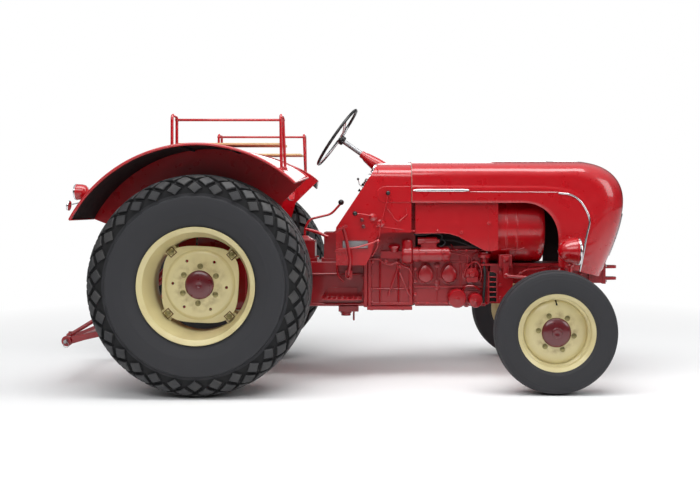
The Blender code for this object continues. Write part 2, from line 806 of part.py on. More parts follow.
def exhaust():
    """Manifold along the left of the heads, down pipe and a low silencer."""
    y = 0.165
    corners = [
        (1.66, y, 1.06),
        (1.262, y, 1.06),
        (1.262, 0.235, 0.90),
        (1.262, 0.235, 0.42),
        (0.70, 0.235, 0.42),
    ]
    base = pipe(rounded(corners, 0.05), 0.022)
    face = HEAD_HALF_WIDTH + SEAT_GAP
    extras = [rod((x, face, 1.06), (x, y, 1.06), 0.024, sides=12) for x in CYLINDER_PLACES]
    extras.append(rod((0.92, 0.235, 0.42), (1.20, 0.235, 0.42), 0.048, sides=16))
    part("exhaust", "bare_steel", base, add=extras)


# ---------------------------------------------------------------- front end


def front_carrier():
    """Casting that ties the engine to the front axle, with the steering box on its right."""
    top = FAN_HEIGHT - FAN_RADIUS - SEAT_GAP
    base = block(
        (ENGINE_FRONT + SEAT_GAP, -CARRIER_STEP_HALF_WIDTH, ENGINE_BOTTOM + 0.01),
        (CARRIER_STEP, CARRIER_STEP_HALF_WIDTH, top),
        bevel=0.012,
    )
    extras = [
        block(
            (CARRIER_STEP - 0.03, -CARRIER_HALF_WIDTH, CARRIER_BOTTOM),
            (CARRIER_BODY_FRONT, CARRIER_HALF_WIDTH, top),
        ),
        block(
            (CARRIER_BODY_FRONT - 0.03, -CARRIER_NOSE_HALF_WIDTH, CARRIER_BOTTOM),
            (CARRIER_FRONT, CARRIER_NOSE_HALF_WIDTH, top),
        ),
        block((WHEELBASE - 0.080, -0.045, CARRIER_BOTTOM - 0.090), (WHEELBASE - 0.045, 0.045, CARRIER_BOTTOM + 0.01)),
        block((WHEELBASE + 0.045, -0.045, CARRIER_BOTTOM - 0.090), (WHEELBASE + 0.080, 0.045, CARRIER_BOTTOM + 0.01)),
        block((1.750, -0.236, 0.690), (1.830, -0.165, 0.770), 0.008),
        rod(
            (DROP_SHAFT[0], -0.20, DROP_SHAFT[2]),
            (DROP_SHAFT[0], DROP_SHAFT[1] + DROP_ARM_HALF + SEAT_GAP, DROP_SHAFT[2]),
            0.020,
        ),
    ]
    part("front_carrier", "red_paint", base, add=extras)


def front_axle():
    """Beam below the carrier with a kingpin boss at each end."""
    beam = block(
        (WHEELBASE - 0.035, -(KINGPIN_Y - 0.02), 0.505),
        (WHEELBASE + 0.035, KINGPIN_Y - 0.02, CARRIER_BOTTOM - SEAT_GAP),
        bevel=0.008,
    )
    bosses = []
    bores = []
    for side in SIDES.values():
        y = side * KINGPIN_Y
        low, high = (WHEELBASE, y, BOSS_BOTTOM), (WHEELBASE, y, BOSS_TOP)
        bosses.append(rod(low, high, BOSS_RADIUS, sides=16))
        low, high = (WHEELBASE, y, BOSS_BOTTOM - 0.05), (WHEELBASE, y, BOSS_TOP + 0.05)
        bores.append(rod(low, high, KINGPIN_RADIUS + PIN_CLEARANCE, sides=16))
    part("front_axle", "red_paint", beam, add=bosses, cut=bores)


def knuckles():
    """Kingpins with their stub axles and steering arms."""
    for name, side in SIDES.items():
        y = side * KINGPIN_Y
        pivot = (WHEELBASE, y, FRONT_TYRE_RADIUS)
        low = (WHEELBASE, y, FRONT_TYRE_RADIUS - 0.03)
        base = rod(low, (WHEELBASE, y, BOSS_BOTTOM - FACE_CLEARANCE), 0.034, sides=20)
        stub_end = side * (FRONT_HALF_TRACK + 0.005)
        eye = (WHEELBASE - ARM_LENGTH, side * (KINGPIN_Y - ARM_INSET))
        arm_low = ARM_TOP - 0.018
        arm = plate(
            [
                (WHEELBASE + 0.020, y - 0.022),
                (WHEELBASE + 0.020, y + 0.022),
                (eye[0] - 0.014, eye[1] + 0.014),
                (eye[0] - 0.014, eye[1] - 0.014),
            ],
            arm_low,
            ARM_TOP,
            "Z",
        )
        top = (WHEELBASE, y, LINK_ARM_TOP)
        extras = [
            rod(pivot, (WHEELBASE, stub_end, FRONT_TYRE_RADIUS), STUB_RADIUS, sides=16),
            rod(pivot, top, KINGPIN_RADIUS, sides=16),
            rod((WHEELBASE, y, BOSS_TOP + FACE_CLEARANCE), top, 0.030, sides=20),
            arm,
        ]
        if side < 0:
            inner = y + DROP_ARM_LENGTH
            link_arm = plate(
                [
                    (WHEELBASE - 0.022, y),
                    (WHEELBASE + 0.022, y),
                    (WHEELBASE + 0.016, inner + 0.016),
                    (WHEELBASE - 0.016, inner + 0.016),
                ],
                LINK_ARM_TOP - 0.016,
                LINK_ARM_TOP,
                "Z",
            )
            extras.append(link_arm)
        part(f"knuckle_{name}", "red_paint", base, add=extras, pivot=pivot)


def steering_links():
    """Tie rod between the knuckle arms, drop arm on the box and the drag link."""
    x = WHEELBASE - ARM_LENGTH
    half = KINGPIN_Y - ARM_INSET
    z = ARM_TOP + 0.0155
    tie = rod((x, -half, z), (x, half, z), 0.012, sides=12)
    ends = [
        rod((x, side * half, ARM_TOP + SEAT_GAP), (x, side * half, z + 0.014), 0.017)
        for side in SIDES.values()
    ]
    part("tie_rod", "red_paint", tie, add=ends, pivot=(x, half, z))

    shaft = Vector(DROP_SHAFT)
    eye = shaft - Vector((0.0, 0.0, DROP_ARM_LENGTH))
    outer, inner = shaft.y - DROP_ARM_HALF, shaft.y + DROP_ARM_HALF
    arm = plate(
        [
            (shaft.x - 0.020, shaft.z + 0.020),
            (shaft.x - 0.013, eye.z - 0.013),
            (shaft.x + 0.013, eye.z - 0.013),
            (shaft.x + 0.020, shaft.z + 0.020),
        ],
        outer,
        inner,
        "Y",
    )
    part("drop_arm", "red_paint", arm, pivot=tuple(shaft))

    rear_eye_y = outer - SEAT_GAP
    front = Vector((WHEELBASE, -KINGPIN_Y + DROP_ARM_LENGTH, LINK_ARM_TOP + 0.0165))
    rear = Vector((eye.x, rear_eye_y - 0.012, eye.z))
    link = rod(rear, front, 0.009, sides=12)
    ends = [
        rod((rear.x, rear_eye_y, rear.z), (rear.x, rear_eye_y - 0.024, rear.z), 0.015),
        rod((front.x, front.y, LINK_ARM_TOP + SEAT_GAP), (front.x, front.y, front.z + 0.013), 0.015),
    ]
    part("drag_link", "red_paint", link, add=ends, pivot=(eye.x, rear_eye_y, eye.z))


def front_hitch_jaw():
    """Towing jaw bolted to the carrier's front face."""
    face = CARRIER_FRONT + SEAT_GAP
    base = block((face, -0.070, 0.575), (face + 0.020, 0.070, 0.705))
    prongs = []
    for z in (0.606, 0.680):
        outline = [(face + 0.015, -0.045), (face + 0.080, -0.030), (face + 0.104, -0.012)]
        outline += [(face + 0.104, 0.012), (face + 0.080, 0.030), (face + 0.015, 0.045)]
        prongs.append(plate(outline, z - 0.009, z + 0.009, "Z"))
    pin_hole = rod((face + 0.080, 0, 0.58), (face + 0.080, 0, 0.71), 0.010, sides=12)
    part("front_hitch_jaw", "red_paint", base, add=prongs, cut=[pin_hole])


def headlamps():
    """Bullet headlamps on brackets from the carrier's sides."""
    x, y, z = LAMP_PLACE
    for name, side in SIDES.items():
        bowl = turned(
            [
                (0.0, 0.078),
                (0.055, 0.074),
                (0.076, 0.064),
                (LAMP_RADIUS, 0.058),
                (LAMP_RADIUS, 0.034),
                (0.077, 0.020),
                (0.066, -0.025),
                (0.045, -0.054),
                (0.018, -0.068),
                (0.0, -0.070),
            ],
            (x, side * y, z),
            (1.0, 0.0, 0.0),
            steps=20,
        )
        post = rod((x, side * y, LAMP_ARM_Z - 0.012), (x, side * y, z - 0.055), 0.012, sides=12)
        start = (x, side * (CARRIER_HALF_WIDTH + SEAT_GAP), LAMP_ARM_Z)
        arm = rod(start, (x, side * (y + 0.012), LAMP_ARM_Z), 0.012, sides=12)
        part(f"headlamp_{name}", "red_paint", bowl, add=[post, arm])


# ---------------------------------------------------------------- bodywork


def bezier(points, t):
    """Point at t on the cubic curve of four (x, z) control points."""
    a, b, c, d = points
    s = 1 - t
    weights = (s**3, 3 * s * s * t, 3 * s * t * t, t**3)
    return tuple(sum(w * p[i] for w, p in zip(weights, (a, b, c, d))) for i in (0, 1))


def line(a, b, t):
    """Point at t on the straight from a to b."""
    return tuple(p + (q - p) * t for p, q in zip(a, b))


def ahead_of_axle(*points):
    """The (x, z) points with each x measured ahead of the front axle."""
    return tuple((WHEELBASE + x, z) for x, z in points)


NOSE_UPPER = ahead_of_axle((0.22, BONNET_TOP), (0.42, BONNET_TOP), (0.53, 1.26), (0.538, 1.12))
NOSE_LOWER = ahead_of_axle((0.538, 1.12), (0.542, 0.98), (0.465, 0.79), (0.39, 0.625))
OPENING_CORNER = ahead_of_axle((-0.12, BONNET_LOWER_EDGE), (0.01, 1.085), (0.091, 0.99), (0.091, 0.86))
OPENING_FOOT = ahead_of_axle((0.089, 0.700))[0]


def bonnet_stations():
    """Pairs of the crown line's point and the lower edge's point, with the corner depth."""
    rear = BONNET_REAR
    top = (OPENING_CORNER[0][0], BONNET_TOP)
    stations = []
    for i in range(2):
        x = rear + (top[0] - rear) * i / 2
        stations.append(((x, BONNET_TOP), (x, BONNET_LOWER_EDGE), TOP_CORNER))
    turn = 0.35
    for i in range(3):
        t = i / 3
        crown = line(top, NOSE_UPPER[0], t)
        edge = bezier(OPENING_CORNER, turn * t)
        stations.append((crown, edge, TOP_CORNER + 0.03 * t))
    for i in range(6):
        t = i / 6
        crown = bezier(NOSE_UPPER, t)
        edge = bezier(OPENING_CORNER, turn + (1 - turn) * t)
        stations.append((crown, edge, TOP_CORNER + 0.03 + (NOSE_CORNER - TOP_CORNER - 0.03) * t))
    for i in range(5):
        t = i / 4
        crown = bezier(NOSE_LOWER, t)
        edge = line(OPENING_CORNER[3], OPENING_FOOT, t)
        stations.append((crown, edge, NOSE_CORNER - 0.03 * t))
    return stations


def corner_section(depth, half_width, steps=5):
    """(down, across) points from the crown's middle round to the flat side."""
    section = []
    for i in range(steps + 1):
        angle = math.pi / 2 * i / steps
        across = half_width * math.sin(angle) ** (2 / CORNER_POWER)
        down = depth * (1 - math.cos(angle) ** (2 / CORNER_POWER))
        section.append((down, across))
    return section


def bonnet_rows():
    """Rows of points over the bonnet, from the right edge over the crown to the left."""
    rows = []
    for crown, edge, depth in bonnet_stations():
        reach = math.dist(crown, edge)
        half = [(down / reach, across) for down, across in corner_section(depth, BONNET_HALF_WIDTH)]
        half += [(0.5 * (depth / reach + 1.0), BONNET_HALF_WIDTH), (1.0, BONNET_HALF_WIDTH)]
        row = []
        for share, across in [(s, -a) for s, a in reversed(half)] + half[1:]:
            x, z = line(crown, edge, share)
            row.append((x, across, z))
        rows.append(row)
    return rows


def bonnet_and_grille():
    """One-piece bonnet, notched above the towing jaw, and the slotted grille in its nose."""
    rows = bonnet_rows()
    opening = block((WHEELBASE + 0.28, -GRILLE_HALF_WIDTH, GRILLE_LOW), (WHEELBASE + 0.68, GRILLE_HALF_WIDTH, GRILLE_HIGH))
    notch = block((WHEELBASE + 0.28, -JAW_NOTCH_HALF_WIDTH, 0.50), (WHEELBASE + 0.68, JAW_NOTCH_HALF_WIDTH, JAW_NOTCH_TOP))
    part(
        "bonnet",
        "red_paint",
        sheet(rows, BONNET_WALL),
        cut=[opening, notch],
        pivot=(BONNET_REAR, 0.0, BONNET_TOP - BONNET_WALL / 2),
    )
    fit = block(
        (WHEELBASE + 0.28, -GRILLE_HALF_WIDTH + SEAT_GAP, GRILLE_LOW + SEAT_GAP),
        (WHEELBASE + 0.68, GRILLE_HALF_WIDTH - SEAT_GAP, GRILLE_HIGH - SEAT_GAP),
    )
    pitch = (GRILLE_HIGH - GRILLE_LOW) / (GRILLE_BARS + 1)
    slots = []
    for i in range(GRILLE_BARS):
        z = GRILLE_LOW + pitch * (i + 1)
        slot_half = GRILLE_HALF_WIDTH - 0.015
        slots.append(block((WHEELBASE + 0.28, -slot_half, z - 0.007), (WHEELBASE + 0.68, slot_half, z + 0.007)))
    part(
        "grille",
        "dark_mesh",
        sheet(rows, BONNET_WALL),
        only=[fit],
        cut=slots,
        pivot=(BONNET_REAR, 0.0, BONNET_TOP - BONNET_WALL / 2),
    )


def column_point(t):
    """Point on the steering column's line, t metres ahead of the hub."""
    x, y, z = STEERING_HUB
    return (x + t * math.cos(STEERING_PITCH), y, z - t * math.sin(STEERING_PITCH))


def cowl_section(inset, bottom):
    """Outline of the cowl's cross section as (y, z) points, inset by a wall."""
    arc = corner_section(TOP_CORNER - inset, BONNET_HALF_WIDTH - inset)
    half = [(across, COWL_TOP - inset - down) for down, across in arc]
    half.append((BONNET_HALF_WIDTH - inset, bottom))
    return half + [(-y, z) for y, z in reversed(half[1:])]


COWL_OUTLINE = (
    (1.213, 1.40),
    (1.020, 1.40),
    (1.000, 1.330),
    (0.949, 1.242),
    (0.861, 1.110),
    (0.746, 0.938),
    (0.746, 0.707),
    (0.930, 0.707),
    (1.000, 0.900),
    (1.213, 0.960),
)
COWL_HOLLOW = (
    (1.300, 1.40),
    (1.024, 1.40),
    (1.005, 1.330),
    (0.954, 1.240),
    (0.866, 1.108),
    (0.751, 0.936),
    (0.751, 0.600),
    (1.300, 0.600),
)


def cowl():
    """Hollow rear cowl with its sloping dash, side panels and bulkhead."""
    front = BONNET_REAR - SEAM_GAP
    outer = plate(cowl_section(0.0, 0.60), 0.70, front, "X")
    side_outline = plate([(min(x, front + 0.02), z) for x, z in COWL_OUTLINE], -0.30, 0.30, "Y")
    inner_section = plate(cowl_section(COWL_WALL, 0.50), 0.70, 1.30, "X")
    hollow = plate(COWL_HOLLOW, -(BONNET_HALF_WIDTH - COWL_WALL), BONNET_HALF_WIDTH - COWL_WALL, "Y")
    core = part("cowl_hollow", "red_paint", hollow, only=[inner_section])
    tractor.objects.unlink(core)
    construction.objects.link(core)
    core.hide_render = True
    core.display_type = "WIRE"
    column_hole = rod(column_point(0.10), column_point(0.42), 0.0463, sides=24)
    gearbox_gap = block((0.70, -0.20, 0.60), (0.99, 0.20, 0.93))
    half = BONNET_HALF_WIDTH - 0.003
    bulkhead = block((BULKHEAD_X, -half, 0.98), (BULKHEAD_X + COWL_WALL, half, 1.30))
    foot = block((BULKHEAD_X, -0.150, CLUTCH_TOP + SEAT_GAP), (BULKHEAD_X + COWL_WALL, 0.150, 1.00))
    hinge_top = BONNET_TOP - BONNET_WALL / 2 - 2 * FACE_CLEARANCE
    hinge = block((front - 0.015, -0.02, hinge_top - 0.025), (front + 0.032, 0.02, hinge_top))
    base = part("cowl", "red_paint", outer, only=[side_outline], cut=[core, gearbox_gap])
    for tool in (bulkhead, foot, hinge):
        union = base.modifiers.new("union", "BOOLEAN")
        union.operation = "UNION"
        union.object = tool
    bore = base.modifiers.new("column", "BOOLEAN")
    bore.operation = "DIFFERENCE"
    bore.object = column_hole


def steering():
    """Column with its cone boss, and the dished three-spoke wheel."""
    boss = rod(column_point(0.170), column_point(0.300), 0.024, 0.046, sides=24)
    lower = rod(column_point(0.295), column_point(0.400), 0.046, sides=24)
    tube = rod(column_point(0.0253), column_point(0.20), 0.016, sides=16)
    part("steering_column", "red_paint", boss, add=[lower, tube])

    hub = Vector(STEERING_HUB)
    back = Vector((-math.cos(STEERING_PITCH), 0.0, math.sin(STEERING_PITCH)))
    centre = hub + back * STEERING_DISH
    up = Vector((math.sin(STEERING_PITCH), 0.0, math.cos(STEERING_PITCH)))
    across = Vector((0.0, 1.0, 0.0))
    steps = 24
    ring = []
    for i in range(steps):
        angle = 2 * math.pi * i / steps
        ring.append(centre + (up * math.cos(angle) + across * math.sin(angle)) * STEERING_WHEEL_RADIUS)
    rim = pipe(ring, STEERING_RIM_RADIUS, cyclic=True)
    spokes = [rod(hub - back * 0.025, hub + back * 0.014, 0.030, 0.024, sides=16)]
    for i in range(3):
        angle = 2 * math.pi * i / 3 + math.pi
        tip = centre + (up * math.cos(angle) + across * math.sin(angle)) * STEERING_WHEEL_RADIUS
        spokes.append(rod(hub, tip, 0.006, sides=8))
    part("steering_wheel", "black_plastic", rim, add=spokes, pivot=tuple(hub))


def fender_radius(angle, share):
    """Radius of the fender sheet at an angle, share 0 at its outer edge to 1 inside."""
    lift = max(0.0, (FENDER_RISE_ANGLE - angle) / (FENDER_RISE_ANGLE - FENDER_ANGLES[1]))
    smooth = lift * lift * (3 - 2 * lift)
    return FENDER_RADIUS + (FENDER_FRONT_RADIUS - FENDER_RADIUS) * smooth * share


def fender_rows(side, extra=0.0, steps=20):
    """Rows of points along the fender's arc, wound so that the outside faces away."""
    rows = []
    rear, front = FENDER_ANGLES
    for i in range(steps + 1):
        angle = rear + (front - rear) * i / steps
        a = math.radians(angle)
        row = []
        for j in range(3):
            share = j / 2
            y = side * (FENDER_OUTER + (FENDER_INNER - FENDER_OUTER) * share)
            r = fender_radius(angle, share) + extra
            row.append((r * math.cos(a), y, FENDER_CENTRE_Z + r * math.sin(a)))
        rows.append(row if side > 0 else row[::-1])
    return rows


def fender_point(angle, y, extra=0.0):
    """Point on the left fender sheet at an angle and a distance from the middle."""
    share = (FENDER_OUTER - y) / (FENDER_OUTER - FENDER_INNER)
    r = fender_radius(angle, share) + extra
    a = math.radians(angle)
    return (r * math.cos(a), y, FENDER_CENTRE_Z + r * math.sin(a))


def fenders():
    """Arched fender sheets with a beaded outer edge and an inner side panel."""
    rear, front = FENDER_ANGLES
    for name, side in SIDES.items():
        steps = 20
        arc = []
        for i in range(steps + 1):
            angle = rear + (front - rear) * i / steps
            x, _, z = fender_point(angle, FENDER_INNER)
            arc.append((x, z))
        skirt = [(0.430, 1.090), (0.360, 0.900), (0.120, 0.715), (-0.120, 0.715), (-0.420, 0.880)]
        outline = arc + skirt
        y_low, y_high = sorted(side * y for y in (FENDER_INNER, FENDER_INNER + FENDER_WALL))
        panel = plate(outline, y_low, y_high, "Y")
        edge = []
        for i in range(steps + 1):
            angle = rear + (front - rear) * i / steps
            edge.append(mirrored(fender_point(angle, FENDER_OUTER), side))
        bead = pipe(edge, FENDER_BEAD)
        part(f"fender_{name}", "red_paint", sheet(fender_rows(side), FENDER_WALL), add=[panel, bead])


def fender_rails_and_boards():
    """Hooped grab rails on the fenders with a wooden passenger board inside each."""
    for name, side in SIDES.items():
        clearance = FENDER_WALL / 2 + FENDER_SEAT_GAP
        seat_cut = sheet(fender_rows(side, clearance), 0.12, offset=-1.0)
        hoops = []
        for x in RAIL_STATIONS:
            foot_angle = math.degrees(math.acos(x / FENDER_RADIUS))
            outer_foot = fender_point(foot_angle, RAIL_OUTER_Y)[2] - 0.03
            inner_foot = fender_point(foot_angle, RAIL_INNER_Y)[2] - 0.03
            path = rounded(
                [
                    (x, side * RAIL_OUTER_Y, outer_foot),
                    (x, side * RAIL_OUTER_Y, RAIL_TOP - RAIL_TUBE),
                    (x, side * RAIL_INNER_Y, RAIL_TOP - RAIL_TUBE),
                    (x, side * RAIL_INNER_Y, inner_foot),
                ],
                0.02,
            )
            hoops.append(pipe(path, RAIL_TUBE))
        ends = [(x, side * RAIL_INNER_Y, RAIL_BAR) for x in RAIL_STATIONS]
        bar = rod(*ends, RAIL_TUBE - 0.001, sides=10)
        part(f"fender_rail_{name}", "red_paint", hoops[0], add=[hoops[1], bar], cut=[seat_cut])
        low = FENDER_CENTRE_Z + FENDER_RADIUS + clearance
        y_low, y_high = sorted(side * y for y in (BOARD_INNER_Y, RAIL_INNER_Y - RAIL_TUBE - 0.001))
        board = block(
            (RAIL_STATIONS[0], y_low, low),
            (RAIL_STATIONS[1], y_high, low + BOARD_THICKNESS),
            bevel=0.003,
        )
        part(f"seat_board_{name}", "varnished_wood", board)


def tail_lamps():
    """Round tail lamps on stems from the backs of the fenders."""
    for name, side in SIDES.items():
        x, y, z = mirrored(TAIL_LAMP, side)
        towards = Vector((-x, 0.0, FENDER_CENTRE_Z - z)).normalized()
        clearance = FENDER_WALL / 2 + FENDER_SEAT_GAP
        seat_cut = sheet(fender_rows(side, clearance), 0.12, offset=-1.0)
        body = turned(
            [
                (0.0, 0.050),
                (0.030, 0.046),
                (0.043, 0.034),
                (0.045, 0.0),
                (0.040, -0.022),
                (0.020, -0.034),
                (0.0, -0.036),
            ],
            (x, y, z),
            (-1.0, 0.0, 0.0),
            steps=16,
        )
        stem_end = Vector((x, y, z)) + towards * 0.085
        stem = rod((x, y, z), stem_end, 0.012, sides=10)
        part(f"tail_lamp_{name}", "red_paint", body, add=[stem], cut=[seat_cut])


def driver_seat():
    """Pressed pan seat on a leaf spring from the lift cover."""
    rows = []
    front, rear = 0.440, 0.030
    for i in range(9):
        x = front + (rear - front) * i / 8
        back = max(0.0, (0.17 - (x - rear)) / 0.17)
        lip = max(0.0, (x - 0.38) / 0.06)
        row = []
        for j in range(7):
            v = -1 + 2 * j / 6
            narrow = 1.0 - 0.18 * back * back
            y = SEAT_HALF_WIDTH * v * narrow
            rise = 0.190 * back**1.6 * (1 - 0.25 * v * v)
            z = SEAT_HEIGHT + rise + 0.055 * abs(v) ** 3 - 0.012 * lip
            row.append((x - 0.05 * back * back + 0.05 * v * v * back, y, z))
        rows.append(row)
    part("driver_seat", "red_paint", sheet(rows, SEAT_WALL))
    foot = LIFT_TOP + SPRING_THICKNESS / 2 + 2 * SEAT_GAP
    top = SEAT_HEIGHT - SEAT_WALL / 2 - SPRING_THICKNESS / 2 - 4 * SEAT_GAP
    spring = strap(
        [
            (-0.12, foot),
            (0.03, foot),
            (0.12, foot + 0.033),
            (0.19, foot + 0.113),
            (0.215, top - 0.045),
            (0.25, top),
            (0.36, top),
        ],
        0.030,
        SPRING_THICKNESS,
    )
    part("seat_spring", "red_paint", spring)


# ---------------------------------------------------------------- controls


def controls():
    """Foot plates, pedals and the gear lever."""
    wall = GEARBOX_HALF_WIDTH + SEAT_GAP
    for name, side in SIDES.items():
        y_low, y_high = sorted(side * y for y in (wall, 0.335))
        board = block((0.660, y_low, 0.500), (0.905, y_high, 0.512))
        y_low, y_high = sorted(side * y for y in (wall, wall + 0.012))
        flange = block((0.690, y_low, 0.470), (0.875, y_high, 0.560))
        part(f"foot_plate_{name}", "red_paint", board, add=[flange])
    for name, side in (("clutch_pedal", 1), ("brake_pedal", -1)):
        path = rounded(
            [
                (0.820, side * wall, 0.640),
                (0.820, side * 0.318, 0.640),
                (0.840, side * 0.345, 0.740),
                (0.793, side * 0.345, 0.940),
            ],
            0.03,
        )
        y_low, y_high = sorted(side * y for y in (0.305, 0.370))
        pad = plate([(0.745, 0.905), (0.820, 0.945), (0.814, 0.957), (0.739, 0.917)], y_low, y_high, "Y")
        part(name, "red_paint", pipe(path, 0.011), add=[pad])
    lever = [
        (0.530, 0, GEAR_TOWER_TOP + SEAT_GAP),
        (0.530, 0, GEAR_TOWER_TOP + 0.025),
        (0.705, 0, 1.018),
        (0.759, 0, 1.089),
    ]
    knob = ball((0.763, 0, 1.094), 0.019)
    part("gear_lever", "red_paint", pipe(rounded(lever, 0.02), 0.008), add=[knob])


for wheel_name, wheel_side in SIDES.items():
    rear_wheel(wheel_name, wheel_side)
    front_wheel(wheel_name, wheel_side)
rear_axle()
lift_housing()
lift_rods()
lower_links_and_drawbar()
gearbox_and_clutch()
engine()
cooling_shroud()
exhaust()
front_carrier()
front_axle()
knuckles()
steering_links()
front_hitch_jaw()
headlamps()
bonnet_and_grille()
cowl()
steering()
fenders()
fender_rails_and_boards()
tail_lamps()
driver_seat()
controls()
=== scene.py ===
"""A vintage three-cylinder farm tractor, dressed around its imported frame.

Every length is in metres. Shapes are written as places ahead of the rear axle, left of
the middle and above the ground, and are shifted onto the frame when they become pieces.
Each sub-assembly is a class that holds its sizes, builds its meshes and dresses them.
"""

import json
import logging
import math
import random
from dataclasses import dataclass, field
from enum import Enum
from typing import Callable, Iterable, Sequence

import bmesh
import bpy
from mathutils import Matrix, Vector
from mathutils.bvhtree import BVHTree


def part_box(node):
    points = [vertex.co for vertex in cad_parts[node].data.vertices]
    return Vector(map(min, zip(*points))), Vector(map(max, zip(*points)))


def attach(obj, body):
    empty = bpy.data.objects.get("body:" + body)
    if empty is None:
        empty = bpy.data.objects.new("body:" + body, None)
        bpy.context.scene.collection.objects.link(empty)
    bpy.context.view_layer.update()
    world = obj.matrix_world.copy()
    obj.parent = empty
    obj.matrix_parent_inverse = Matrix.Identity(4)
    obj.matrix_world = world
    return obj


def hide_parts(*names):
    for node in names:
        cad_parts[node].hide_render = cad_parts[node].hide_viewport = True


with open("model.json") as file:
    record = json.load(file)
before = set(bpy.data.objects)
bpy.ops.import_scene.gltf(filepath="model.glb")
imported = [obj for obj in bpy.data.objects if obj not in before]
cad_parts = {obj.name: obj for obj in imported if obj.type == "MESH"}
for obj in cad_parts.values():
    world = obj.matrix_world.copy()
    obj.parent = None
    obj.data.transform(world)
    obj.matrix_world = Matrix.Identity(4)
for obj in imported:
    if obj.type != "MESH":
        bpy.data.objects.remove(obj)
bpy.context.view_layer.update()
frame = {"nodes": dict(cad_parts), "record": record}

log = logging.getLogger("tractor")

Place = Sequence[float]
Profile = Sequence[tuple[float, float]]
Rows = list[list[Vector]]


def middle_of(node: str) -> Vector:
    """Middle of a frame node's box.

    Args:
        node: Name of the node.

    Returns:
        The middle, in the frame's own metres.
    """
    low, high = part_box(node)
    return (low + high) / 2


REAR_AXLE_X = middle_of("rear_rim_right").x
WHEELBASE = middle_of("front_rim_right").x - REAR_AXLE_X


class Side(Enum):
    """A side of the tractor; the value is the sign of its Y."""

    LEFT = 1
    RIGHT = -1

    @property
    def label(self) -> str:
        """The side's name as the frame's nodes end."""
        return self.name.lower()


class Facing(Enum):
    """The axis that a flat outline faces."""

    FORWARD = "X"
    LEFTWARD = "Y"
    UPWARD = "Z"


def axes_of(outward: Place) -> tuple[Vector, Vector, Vector]:
    """Right, up and outward unit vectors, as seen by someone who looks at the outward face.

    Args:
        outward: The direction that the face looks in.

    Returns:
        The three unit vectors.
    """
    w = Vector(outward).normalized()
    up = Vector((0, 0, 1)) if abs(w.z) < 0.9 else Vector((1, 0, 0))
    up = (up - w * up.dot(w)).normalized()
    return up.cross(w), up, w


def polar(centre: Place, outward: Place, degrees: float, radius: float, along: float) -> Vector:
    """A place round a centre, at an angle from its right as seen from outside.

    Args:
        centre: Middle of the circle.
        outward: Direction that the circle faces.
        degrees: Angle from the right-hand direction.
        radius: Distance from the middle.
        along: Distance along outward.

    Returns:
        The place.
    """
    right, up, w = axes_of(outward)
    a = math.radians(degrees)
    return Vector(centre) + (right * math.cos(a) + up * math.sin(a)) * radius + w * along


def smooth(t: float) -> float:
    """The smooth step of t, held between 0 and 1."""
    t = min(1.0, max(0.0, t))
    return t * t * (3 - 2 * t)


def spread(low: float, high: float, count: int) -> list[float]:
    """Evenly spread values from low to high, both included."""
    return [low + (high - low) * i / (count - 1) for i in range(count)]


def bezier(points: Sequence[Place], t: float) -> tuple[float, float]:
    """Point at t on the cubic curve of four flat control points."""
    s = 1 - t
    weights = (s**3, 3 * s * s * t, 3 * s * t * t, t**3)
    return tuple(sum(w * p[i] for w, p in zip(weights, points)) for i in (0, 1))


def arc(middle: Place, radius: float, start: float, end: float, count: int) -> list[tuple[float, float]]:
    """Points on a flat arc.

    Args:
        middle: Centre of the arc.
        radius: Its radius.
        start: First angle in degrees.
        end: Last angle in degrees.
        count: Number of points.

    Returns:
        The points as pairs.
    """
    turns = [math.radians(a) for a in spread(start, end, count)]
    return [(middle[0] + radius * math.cos(a), middle[1] + radius * math.sin(a)) for a in turns]


def eased(points: Iterable[Place], radius: float, steps: int = 6) -> list[Vector]:
    """A path with each inner corner rounded.

    Args:
        points: The path's corners.
        radius: Length of each corner's cut back.
        steps: Pieces in each rounded corner.

    Returns:
        The rounded path.
    """
    path = [Vector(p) for p in points]
    result = [path[0]]
    for before, corner, after in zip(path, path[1:], path[2:]):
        near = min(radius, (before - corner).length * 0.49)
        far = min(radius, (after - corner).length * 0.49)
        start = corner + (before - corner).normalized() * near
        end = corner + (after - corner).normalized() * far
        for i in range(steps + 1):
            t = i / steps
            result.append(start * (1 - t) ** 2 + corner * 2 * t * (1 - t) + end * t**2)
    result.append(path[-1])
    return result


def flowing(points: Iterable[Place], steps: int = 8) -> list[Vector]:
    """A smooth curve through all of its points, for cables and small pipes.

    Args:
        points: Places that the curve passes through.
        steps: Pieces between two of them.

    Returns:
        The curve's points.
    """
    p = [Vector(q) for q in points]
    p = [p[0] * 2 - p[1], *p, p[-1] * 2 - p[-2]]
    result = []
    for a, b, c, d in zip(p, p[1:], p[2:], p[3:]):
        for i in range(steps):
            t = i / steps
            result.append(
                0.5 * (2 * b + (c - a) * t + (2 * a - 5 * b + 4 * c - d) * t**2 + (3 * b - a - 3 * c + d) * t**3)
            )
    result.append(p[-2])
    return result


# ---------------------------------------------------------------- shapes


